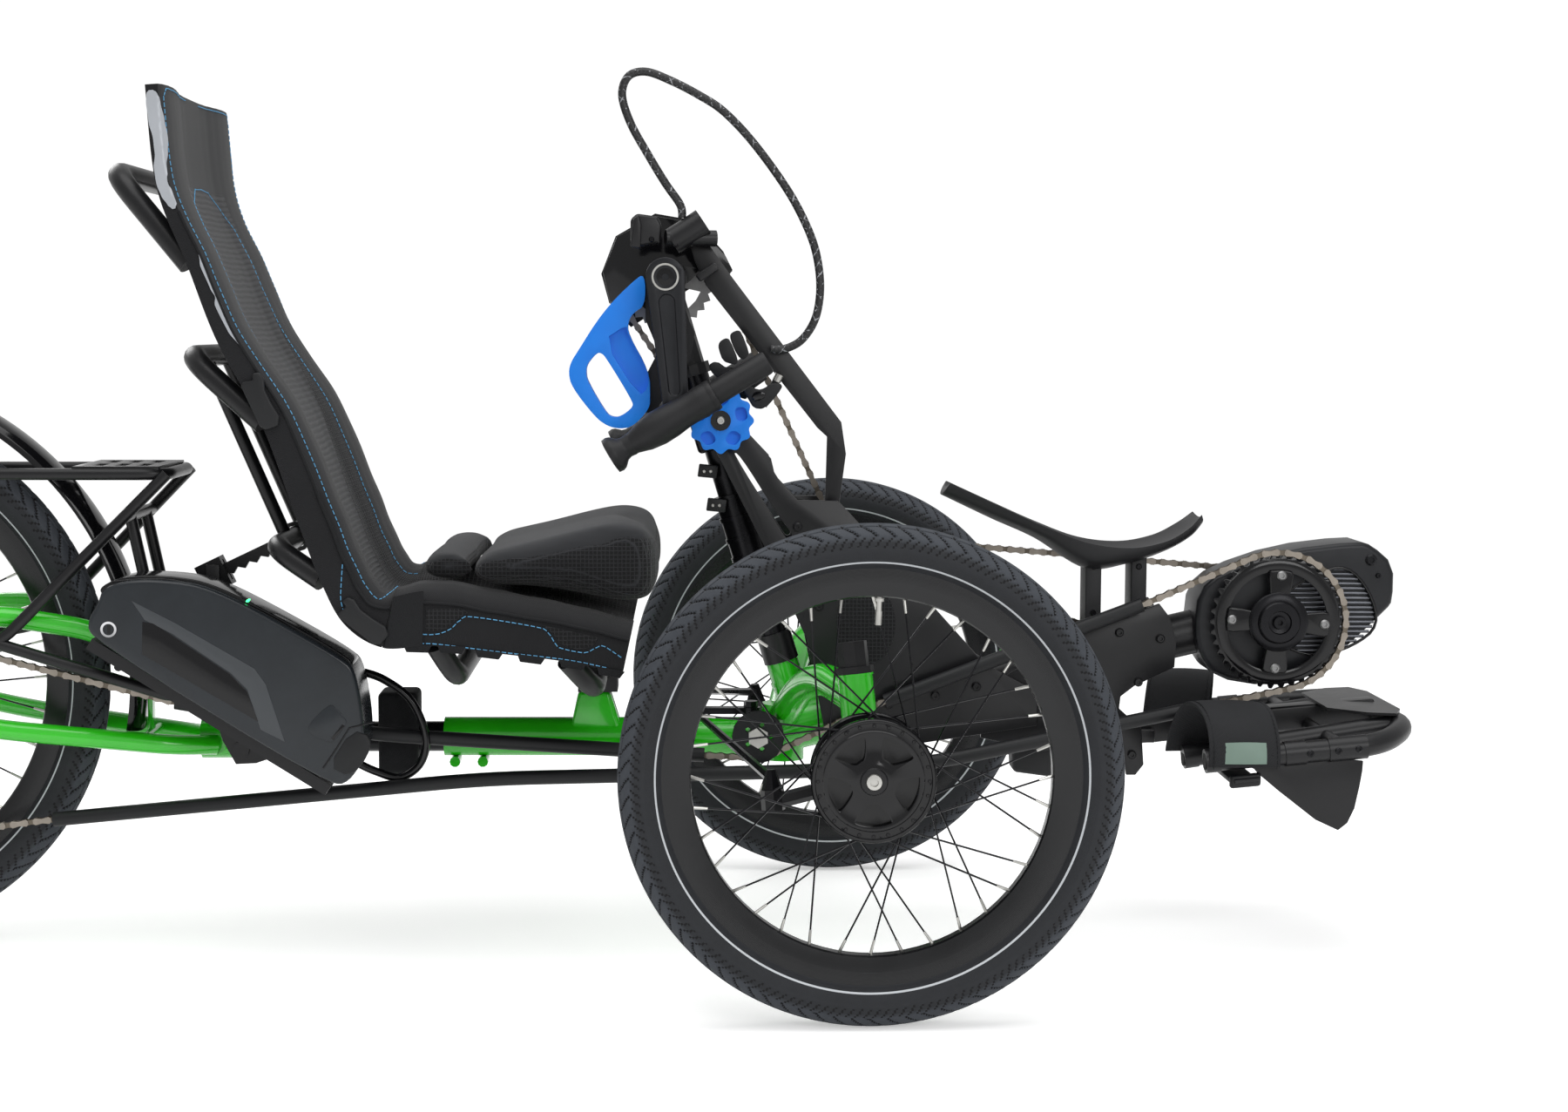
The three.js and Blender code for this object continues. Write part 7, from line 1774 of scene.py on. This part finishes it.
field = round_outline(fitted(MOTOR_BOX, FIELD), 2)
case = soften(plate("motor_shell", round_outline(fitted(MOTOR_BOX, CASE), 1), -38, 38), 6, 4, 30)
carve(case, [plate("field", field, -45, -33)])
settle(case, "frame", CAST, ["motor_case"], angle=35)
ribs = []
for z in (320 + i * 5.4 for i in range(22)):
    first, last = span_at(field, z)
    if last - first > 14:
        ribs.append(rod("rib", at(first + 1.5, -34, z), at(last - 1.5, -34, z), 1.75, 3))
trim(join("cooling_ribs", ribs), "frame", RIB, "black_plastic", 40)
border = tube("rib_border", [at(x, -38.2, z) for x, z in field], 1.7, 0, 3, closed=True)
trim(border, "frame", GLOSS, "black_plastic", 60)
heads = [seen_bolt(1574, 643, -38, 6.5, 2.6), seen_bolt(1582, 661, -38, 3, 2.6),
         seen_bolt(1415, 753, -38, 5.5, 2.6)]
trim(join("case_bolts", heads), "frame", ANODISED, "black_plastic")


# %% Motor chainring
SPIDER_TURN = math.radians(-3)
SPIDER_FACE = -61.5


def gear_outline(teeth, place):
    points = []
    for i in range(teeth):
        for shift, reach in ((-0.33, -6.4), (-0.12, -1.6), (0.12, -1.6), (0.33, -6.4)):
            points.append(polar(place, pitch_radius(teeth) + reach, 2 * math.pi * (i + shift) / teeth))
    return points


def spider_outline(place):
    points = []
    for angle in turns(144):
        near = abs(math.remainder(angle - SPIDER_TURN, math.pi / 2))
        arm = ease(min(1, max(0, (math.radians(21) - near) / math.radians(8))))
        points.append(polar(place, 31 + 26.5 * arm, angle))
    return points


ring = plate("motor_ring", gear_outline(38, MOTOR), -56, -52)
carve(ring, [plate("hole", ring_points(MOTOR, 56, 72), -60, -48)])
soften(ring, 0.5, 2, 30)
lip = turned("ring_lip", [(56, -56), (67, -56), (68, -57.2), (66, -58), (58, -58), (56, -57.2)], MOTOR, 72)
spider = soften(plate("spider", spider_outline(MOTOR), SPIDER_FACE, -54), 1.6, 3, 30)
settle(join("motor_ring_and_spider", [ring, lip, spider]), "motor_ring", GLOSS, ["motor_chainring"], angle=35)
cap = [(0, -55), (30, -55), (33, -58), (33, -63), (30.5, -65), (24, -65.6), (23, -68.4), (21.5, -70),
       (13, -70.4), (12, -67.5), (7.4, -66.6), (6.6, -70), (3.2, -70), (3, -66), (0, -66)]
cap = turned("spider_cap", cap, MOTOR, 64, closed=False)
axle = turned("motor_spindle", [(0, -54), (12, -54), (12, 60), (0, 60)], MOTOR, 32, closed=False)
trim(join("motor_cap", [cap, axle]), "motor_ring", ANODISED, "black_plastic", 35)
back = soften(plate("inner_ring", gear_outline(23, MOTOR), 54.5, 57.5), 0.4, 2, 30)
trim(back, "motor_ring", SPROCKET, "steel", 35)
spots = [polar(MOTOR, 51.7, SPIDER_TURN + k * math.pi / 2) for k in range(4)]
heads = [bolt(*spot, SPIDER_FACE, 5.4, 2.6) for spot in spots]
trim(join("chainring_bolts", heads), "motor_ring", SPROCKET, "steel")

# %% [markdown]
# ## Foot rests
# Bent tubes and a square beam carry the feet below the motor. Webbing loops hold each foot, and a
# plastic flap hangs behind each heel. The loops are stitched along both borders and carry a grey-green
# patch.

# %% Foot frame
TUBE_END = (372, 229)
OUTER_TUBE = ((*TUBE_END, 170), (560, 246, 170), (602, 256, 118))
INNER_TUBE = ((364, 220), (602, 256))
GUSSET = ((530, -60), (566, -96), (596, -104), (609, -70), (609, 70), (596, 104), (566, 96), (530, 60))
FLAP = [(0, 0.93), (0.1, 0.75), (0.75, 0), (0.91, 0.19), (0.99, 0.76), (1, 1.02)]
FOOT_BOLTS = ((392, 231), (440, 235), (482, 239), (512, 241.7), (534, 243.8))
# Painted shade: near-black discs set in the open tube ends stand in for the shaded insides of the tubes.
TUBE_SHADE = plain("painted_tube_shade", srgb(8, 8, 9), 0.8)

outer = [at(x, -y, z) for x, z, y in OUTER_TUBE] + [at(x, y, z) for x, z, y in reversed(OUTER_TUBE)]
parts = [tube("foot_tubes", outer, 12, 45, 6, 10)]
holes = []
for y in (-90, 90):
    parts.append(rod("inner", *[at(x, y, z) for x, z in INNER_TUBE], 12, 6))
for y, (x, z), slope in ((-170, TUBE_END, 0.09), (170, TUBE_END, 0.09), (-90, INNER_TUBE[0], 0.151),
                         (90, INNER_TUBE[0], 0.151)):
    parts.append(rod("sleeve", at(x - 0.5, y, z), at(x + 15, y, z + 15 * slope), 13.2, 6))
    holes.append(rod("tube_mouth", at(x - 1.1, y, z - 0.05), at(x + 2, y, z), 9.6))
    for shares in ((0.45, 0.57), (0.7, 0.92)) if abs(y) == 170 else ():
        parts.append(rod("collar", *[at(x + 188 * share, y, z + 17 * share) for share in shares], 13.3, 6))
beam = plate("beam_box", [(300, 220), (596, 245), (596, 273), (300, 248)], -14, 14)
parts.append(soften(beam, 3, 3, 40))
parts.append(rod("cross", at(456, -170, 236.6), at(456, 170, 236.6), 9.6))
parts.append(rod("front_cross", at(520, -168, 244), at(520, 168, 244), 7.2))
gusset = raw_mesh("gusset", [at(x, y, 268.6) for x, y in GUSSET], faces=[tuple(range(len(GUSSET)))])
parts.append(outwards(modify(gusset, "SOLIDIFY", thickness=0.003, offset=0)))
for near in (-173, 170):
    outline = round_outline(fitted((419, 150, 123, 83), FLAP), 1)
    parts.append(soften(plate("heel_flap", outline, near, near + 3), 0.8, 2, 40))
settle(join("foot_frame_tubes", parts), "frame", POWDER, ["foot_frame"], angle=40)
# The discs in the tube mouths are painted shade.
trim(join("painted_shade_in_tube_mouths", holes), "frame", TUBE_SHADE, "black_paint")
heads = [bolt(x, z, side * 182.6, 3.8, 2.2, side) for side in (-1, 1) for x, z in FOOT_BOLTS]
trim(join("foot_tube_bolts", heads), "frame", ANODISED, "black_paint")

# %% Foot straps
BAND_CLOTH = webbing("strap_cloth", srgb(27, 27, 29), srgb(43, 44, 46))
FOOT = (398, 130, 224.5)


def arch_spot(side, angle, reach, rise, shift):
    """A place on the arc over one foot. The loop slants back towards the machine's middle."""
    y = side * FOOT[1] - reach * math.cos(angle)
    slant = 14 * (side * y - FOOT[1]) / 56
    return at(FOOT[0] + shift + 5 * math.sin(angle) + slant, y, FOOT[2] + rise * math.sin(angle))


def arch(side, grow, width, thick, first=0.0, last=math.pi, rows=36, columns=9):
    """A band bent over the foot: an arc across the machine, with a soft sag along its middle."""
    points = []
    for i in range(rows + 1):
        angle = first + (last - first) * i / rows
        for j in range(columns + 1):
            share = j / columns * 2 - 1
            swell = grow + 1.6 * (1 - share * share) + 0.6 * math.sin(angle * 5 + share * 2)
            points.append(arch_spot(side, angle, 52.6 + swell, 60 + swell, share * width / 2))
    piece = raw_mesh("foot_band", points, faces=grid_faces(rows, columns))
    return outwards(modify(piece, "SOLIDIFY", thickness=thick, offset=0))


for side, hand in HANDS:
    band = soften(arch(side, 0.6, 76, 0.0034), 0.7, 2, 40)
    settle(band, "frame", BAND_CLOTH, [f"foot_strap_{hand}"], angle=50)
    dashes = []
    for shift in (-34, 34):
        dashes += seam([arch_spot(side, math.pi * i / 40, 55.4, 62.8, shift) for i in range(41)], 5.4)
    trim(copies(f"strap_stitches_{hand}", dash_pattern(3.6), dashes), "frame", WEBBING, "black_fabric", 0)
    first, last = (0.06, 0.42) if side < 0 else (math.pi - 0.42, math.pi - 0.06)
    trim(arch(side, 3.2, 44, 0.0012, first, last, rows=10), "frame", PATCH, "black_fabric", 50)
    buckle = plate("buckle", [(398, 200), (431, 203), (431, 217), (398, 214)], side * 178, side * 168)
    under = plate("under", [(400, 204), (428, 206), (428, 211), (400, 209)], side * 90, side * 168)
    bar = rod("bar", at(402, side * 179, 208.5), at(428, side * 179, 211), 2.2, 3)
    parts = [soften(buckle, 3, 3, 40), bar, soften(under, 1, 2, 40)]
    trim(join(f"strap_buckle_{hand}", parts), "frame", PLASTIC, "black_plastic", 40)


# %% [markdown]
# ## Calf rest
# The legs lie on a moulded shell that dips in the middle and thins at its edges. Two flat posts join
# it to the boom.


# %% Calf rest
CALF_BOX = (102, 416, 295, 102)
TOP = [(0.03, 1), (0.21, 0.76), (0.38, 0.54), (0.55, 0.36), (0.71, 0.31), (0.84, 0.38), (0.93, 0.52),
       (0.985, 0.66)]
LOW = [(0, 0.86), (0.19, 0.6), (0.36, 0.38), (0.55, 0.05), (0.71, 0.1), (0.85, 0.24), (0.95, 0.4), (1, 0.55)]
WIDTH = [0.5, 0.72, 0.95, 1, 1, 0.95, 0.82, 0.55]
CRADLE = black_coat("moulded_calf_rest", srgb(30, 30, 32), 0.48, 900, 0.00012)


def calf_shell(across=16, rings=56):
    tops, lows = ([Vector((x, 0, z)) for x, z in fitted(CALF_BOX, shares)] for shares in (TOP, LOW))
    points = []
    for share in (7 * i / rings for i in range(rings + 1)):
        top, low, width = (smooth_value(values, share) for values in (tops, lows, WIDTH))
        width *= 49
        for j in range(across + 1):
            v = 2 * j / across - 1
            spot = top + (low - top) * 0.36 * (1 - v * v)
            points.append(at(spot.x, v * width, spot.z))
        for j in range(across - 1):
            v = 1 - 2 * (j + 1) / across
            spot = top + (low - top) * (1 - 0.62 * abs(v) ** 2.5)
            points.append(at(spot.x, v * width, spot.z))
    return outwards(raw_mesh("calf_shell", points, faces=ring_faces(rings, 2 * across)))


parts = [soften(calf_shell(), 1.0, 2, 50)]
for x, foot in ((273, 340), (324, 352)):
    post = plate("post", [(x - 9, foot), (x + 9, foot + 4), (x + 9, 442), (x - 9, 438)], -20, 20)
    parts.append(soften(post, 2, 3, 40))
settle(join("calf_cradle", parts), "frame", CRADLE, ["calf_rest"], angle=50)
heads = [bolt(x, z, -20, 3.4, 2) for x, z in ((273, 424), (273, 372), (324, 424), (324, 382))]
trim(join("post_bolts", heads), "frame", ANODISED, "black_paint")

# %% [markdown]
# ## Control bar and cables
# A flat bar carries two control pods beside the cranks. Their cables run in one braided sleeve that
# loops over the top and down to a joining block.


# %% Braided sleeve
def braided(name):
    paint = Paint(name)
    uv = paint.node("ShaderNodeUVMap", {"uv_map": "wrap"}).outputs[0]
    turn, along, _ = paint.axes(uv)
    # Painted highlights: pale, broken strands along the braid stand in for glints on its threads.
    one = (along * 80 + turn * 2).part() < 0.16
    two = (along * 80 - turn * 2).part() < 0.07
    broken = paint.noise(160, 3, 0.7) > 0.54
    painted_glints = one.most(two) * broken
    colour = paint.mix(painted_glints, srgb(18, 18, 20), srgb(150, 152, 156))
    ribs = ((along * 1400).sin() * 0.5 + 0.5) * 0.4 + painted_glints
    return paint.set(Base_Color=colour, Roughness=0.45 - painted_glints * 0.1, Normal=paint.bump(ribs, 0.0005, 0.8))


def sleeve(name, path, radius, sides=14):
    points, faces, uvs, along = [], [], [], 0.0
    for i, p in enumerate(path):
        ahead = (path[min(i + 1, len(path) - 1)] - path[max(i - 1, 0)]).normalized()
        out = ahead.cross(Vector((0, 1, 0))).normalized()
        across = out.cross(ahead).normalized()
        for angle in turns(sides):
            points.append(p + (out * math.cos(angle) + across * math.sin(angle)) * radius * MM)
        if i == 0:
            continue
        before, along = along, along + (p - path[i - 1]).length
        for j in range(sides):
            k = (j + 1) % sides
            a, b = (i - 1) * sides, i * sides
            faces.append((a + j, b + j, b + k, a + k))
            low, high = j / sides, (j + 1) / sides
            uvs += [(low, before), (low, along), (high, along), (high, before)]
    start, end = tuple(range(sides)), tuple(range(len(points) - sides, len(points)))
    uvs += [(0, 0)] * sides + [(0, along)] * sides
    piece = raw_mesh(name, points, faces=faces + [start, end[::-1]])
    layer = piece.data.uv_layers.new(name="wrap")
    for loop, uv in zip(piece.data.loops, uvs):
        layer.data[loop.index].uv = uv
    return piece


ROUTE = [(-187, 808), (-189, 822), (-205, 845), (-224, 876), (-243, 910), (-252, 940), (-245, 960),
         (-226, 965), (-200, 956), (-170, 941), (-142, 923), (-110, 890), (-75, 843), (-54, 806), (-41, 772),
         (-36, 734), (-41, 700), (-56, 676), (-75, 666), (-89.7, 666)]
BRAID = braided("braided_sleeve")
cable = sleeve("cable_sleeve", flowing([at(x, -44, z) for x, z in ROUTE], 150), 4.5)
settle(cable, "frame", BRAID, ["cable_bundle"], angle=60)

# %% Control bar and pods
BAR = [(0, 0.98), (0.06, 1), (0.28, 0.83), (0.97, 0.33), (1, 0.22), (0.96, 0.05), (0.95, 0), (0.84, 0),
       (0.87, 0.06), (0.88, 0.28), (0.82, 0.31), (0.12, 0.8), (0.05, 0.88)]
LEFT_POD = [(-243, 782), (-243, 806), (-236, 812), (-214, 809), (-209, 800), (-211, 780), (-236, 776)]
HOOD = [(-243, 776), (-240, 806), (-234, 811), (-231, 800), (-232, 774)]
BLOCK = (-19, 490)
parts = [soften(plate("control_plate", fitted((-182, 480, 176, 319), BAR), -32, -28), 0.7, 2, 30),
         turned("boss", [(0, -33), (7, -33), (7, -22), (0, -22)], BLOCK, 20, closed=False),
         rod("pod_cross", at(-205, -52, 786), at(-150, -40, 786), 9),
         soften(plate("pod", LEFT_POD, -58, -34), 3.5, 4, 30),
         soften(plate("hood", HOOD, -62, -46), 2, 3, 30),
         tube("pod", flowing([at(-198, -46, 782), at(-182, -46, 792), at(-164, -46, 804)], 10), 15, 0, 6),
         soften(plate("collar", [(-173, 746), (-152, 760), (-146, 753), (-167, 738)], -52, -26), 2, 3, 30)]
settle(join("control_bar_and_pods", parts), "frame", POWDER, ["control_bar"], angle=40)

# %% Shifter and its cables
FIRST_POD = [(825, 395), (828, 391), (834, 388), (838, 390), (848, 414), (845, 419), (839, 418),
             (830, 415), (825, 401)]
SECOND_POD = [(838, 386), (840, 382), (847, 379), (851, 381), (860, 404), (859, 409), (853, 414), (847, 409),
              (840, 394)]
LEVER = [(851, 446), (860, 442), (870, 448), (878, 446), (885, 440), (900, 441), (893, 453), (878, 470),
         (865, 469), (860, 460)]
COLLAR = [(812, 420), (822, 414), (836, 424), (862, 418), (872, 432), (862, 444), (836, 440), (820, 432)]
LID = [(866, 449), (877, 450), (880, 455), (870, 462), (862, 458)]
shapes = ((FIRST_POD, -56, -36), (SECOND_POD, -54, -36), (LEVER, -48, -38), (COLLAR, -50, -40))
parts = [seen_plate("tab", outline, near, far, 1.6, 1, 3, 30) for outline, near, far in shapes]
trim(join("shifter_pods", parts), "frame", PLASTIC, "black_plastic", 40)
trim(seen_plate("lever_lid", LID, -49, -47.5, 0.5, 1, 2, 30), "frame", GLOSS, "black_plastic")
heads = [seen_bolt(748, 275, -58, 3, 2), seen_bolt(776, 281, -58, 3, 2), bolt(*BLOCK, -33, 5, 3)]
trim(join("pod_bolts", heads), "frame", ANODISED, "black_plastic")
thin = []
for shift in (0, 6, 12):
    route = ((880 - shift, 434), (866 - shift, 444), (856, 452), (846, 447), (838, 432))
    path = flowing([seen(px, py + shift * 0.4, -40 + shift) for px, py in route], 26)
    thin.append(tube("thin_cable", path, 1.5, 0, 3))
trim(join("thin_cables", thin), "frame", PLASTIC, "black_plastic")
top, low = seen(893, 434, -38), seen(876, 466, -38)
trim(rod("cable_adjuster", top, low, 4.4), "frame", PLASTIC, "black_plastic")
trim(rod("adjuster_tip", top.lerp(low, -0.12), top.lerp(low, 0.12), 5), "frame", STEEL, "steel")

# %% Oval grille on the tower
oval = [(994 + 34 * math.cos(angle), 716 + 47 * math.sin(angle)) for angle in turns(40)]
grille = seen_plate("tower_grille", oval, -44.6, -43.4, 0.5, angle=30)
trim(grille, "frame", CUSHION_CLOTH, "black_fabric", 40)

# %% Guard face, column clamps and screws
GUARD = [(692, 312), (708, 272), (752, 248), (797, 256), (833, 294), (841, 310), (836, 318), (802, 312),
         (785, 330), (760, 346), (700, 347)]
guard_face = carve(seen_plate("guard_face", GUARD, 2, 5, 0.8, angle=30),
                   [plate("hole", ring_points(CRANK, 23.5, 40), -5, 12)])
trim(guard_face, "head", GLOSS, "black_plastic", 35)
clamps, screws = [], []
for px, py in ((812, 541), (822, 580)):
    x, z = drawn(seen(px, py, -20))
    outline = [(x - 11, z - 6), (x - 9, z + 8), (x + 12, z + 6), (x + 10, z - 8)]
    clamps.append(soften(plate("column_clamp", outline, -26, -14), 1.2, 2, 30))
    screws += [bolt(x + shift, z, -26, 2.1, 1.6) for shift in (-3.6, 3.6)]
trim(join("column_clamps", clamps), "frame", PLASTIC, "black_paint", 35)
trim(join("clamp_screws", screws), "frame", STEEL, "steel")

# %% [markdown]
# ## Remaining pieces
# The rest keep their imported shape: flat plates, toothed wheels and turned pins look the same drawn or
# dressed. Each gets the finish that the photograph shows. The cable box becomes a soft pouch with a
# cable over it, and a green hook and a small box on the boom are added.


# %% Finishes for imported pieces
FINISHES = {
    "battery_mount": POWDER, "recline_strut": POWDER, "strut_clamp": POWDER, "seat_mount": POWDER,
    "crank_housing": POWDER, "hand_chainring": SPROCKET, "jackshaft": SPROCKET, "power_idler": PLASTIC,
    "idler_bolt": STEEL, "cassette": SPROCKET, "jockey_wheel_upper": PLASTIC, "jockey_wheel_lower": PLASTIC,
    "derailleur": ANODISED, "bell_crank": ANODISED, "steering_knuckle_right": POWDER,
    "steering_knuckle_left": POWDER, "tie_rod_right": ANODISED, "tie_rod_left": ANODISED,
}


def extent(name, axis):
    values = [v.co[axis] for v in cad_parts[name].data.vertices]
    return min(values), max(values)


for name, material in FINISHES.items():
    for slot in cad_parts[name].material_slots:
        slot.material = material

# %% Cable pouch, cable, hook and box
CABLE_LOOP = ((418, 772), (440, 780), (468, 800), (484, 828), (489, 856), (480, 880), (458, 893), (432, 886),
              (414, 878))
BOOM_CASE = [(1161, 853), (1216, 853), (1218, 890), (1208, 893), (1163, 887)]
x, y, z = (extent("cable_box", axis) for axis in range(3))
corners = [drawn(Vector((a, 0, b))) for a, b in rectangle(*x, *z)]
pouch = soften(plate("cable_pouch", corners, y[0] * 1000, y[1] * 1000), 6, 4, 30)
settle(pouch, "frame", WEBBING, ["cable_box"], angle=50)
cable = sleeve("battery_cable", flowing([seen(px, py, -62) for px, py in CABLE_LOOP], 60), 4.6)
trim(cable, "frame", GLOSS, "black_plastic", 60)
path = flowing([seen(px, py, 40) for px, py in ((1112, 768), (1130, 760), (1148, 756), (1151, 746))], 20)
hook = tube("hook", path, 3.4, 0, 4)
bpy.ops.mesh.primitive_uv_sphere_add(segments=20, ring_count=12, radius=0.0055, location=seen(1150, 739, 40))
bpy.ops.object.transform_apply(location=True, rotation=False, scale=False)
tip = bpy.context.view_layer.objects.active
trim(join("green_hook", [hook, tip]), "frame", GREEN, "green_paint", 60)
trim(seen_plate("boom_box", BOOM_CASE, -18, 22, 5, 0, 4, 30), "frame", PLASTIC, "black_plastic", 40)

# %% [markdown]
# ## Light and floor
# The photograph has a white studio. Three large soft lamps and a pale world light the machine at a plain
# level. Only what the camera and the reflections see of the world and the floor is pure white, and the
# floor keeps the soft shadow.


# %% Floor, world and lamps
WHITE = (1, 1, 1, 1)


def pale_floor():
    """Grey that fades to white away from the machine; its glow is seen, but lights nothing."""
    paint = Paint("studio_floor")
    x, y, _ = paint.axes(paint.place())
    far = (((x * x + y * y).power(0.5) - 1.6) / 3.4).most(0).least(1)
    shade = paint.mix(far, (0.86, 0.86, 0.86, 1), (0, 0, 0, 1))
    paint.set(Base_Color=shade, Roughness=0.9, Specular_IOR_Level=0)
    rays = paint.node("ShaderNodeLightPath").outputs
    looked_at = Sum(paint, rays["Is Camera Ray"]).most(Sum(paint, rays["Is Glossy Ray"]))
    strength = looked_at * (0.42 + far * 0.6)
    glow = paint.node("ShaderNodeEmission", values={"Color": WHITE, "Strength": strength})
    total = paint.node("ShaderNodeAddShader", values=[paint.shader.outputs[0], glow.outputs[0]])
    paint.tree.links.new(total.outputs[0], paint.tree.nodes["Material Output"].inputs["Surface"])
    return paint.material


bpy.ops.mesh.primitive_plane_add(size=60, location=(0, 0, -0.0006))
floor = bpy.context.view_layer.objects.active
floor.name = "studio_floor"
floor.data.materials.append(pale_floor())

world = bpy.data.worlds.new("studio")
bpy.context.scene.world = world
world.use_nodes = True
tree = world.node_tree
background = tree.nodes["Background"]
background.inputs["Color"].default_value = (1, 1, 1, 1)
path = tree.nodes.new("ShaderNodeLightPath")
seen = tree.nodes.new("ShaderNodeMath")
seen.operation = "MAXIMUM"
tree.links.new(path.outputs["Is Camera Ray"], seen.inputs[0])
tree.links.new(path.outputs["Is Transmission Ray"], seen.inputs[1])
level = tree.nodes.new("ShaderNodeMath")
level.operation = "MULTIPLY_ADD"
tree.links.new(seen.outputs[0], level.inputs[0])
level.inputs[1].default_value = 0.45
level.inputs[2].default_value = 0.6
tree.links.new(level.outputs[0], background.inputs["Strength"])


def softbox(name, place, aim, size, power):
    lamp_data = bpy.data.lights.new(name, "AREA")
    lamp_data.shape = "RECTANGLE"
    lamp_data.size, lamp_data.size_y = size
    lamp_data.energy = power
    lamp = bpy.data.objects.new(name, lamp_data)
    bpy.context.collection.objects.link(lamp)
    lamp.location = place
    lamp.rotation_mode = "QUATERNION"
    lamp.rotation_quaternion = (Vector(aim) - Vector(place)).to_track_quat("-Z", "Y")


softbox("overhead_softbox", (0.2, -0.6, 3.2), (0.0, 0, 0.3), (3.6, 2.6), 62)
softbox("front_softbox", (1.8, -3.4, 1.9), (0.1, 0, 0.4), (1.8, 1.4), 34)
softbox("rear_rim_softbox", (-1.9, 2.6, 2.2), (-0.1, 0, 0.4), (1.6, 1.4), 28)
bpy.context.scene.view_settings.view_transform = "Standard"
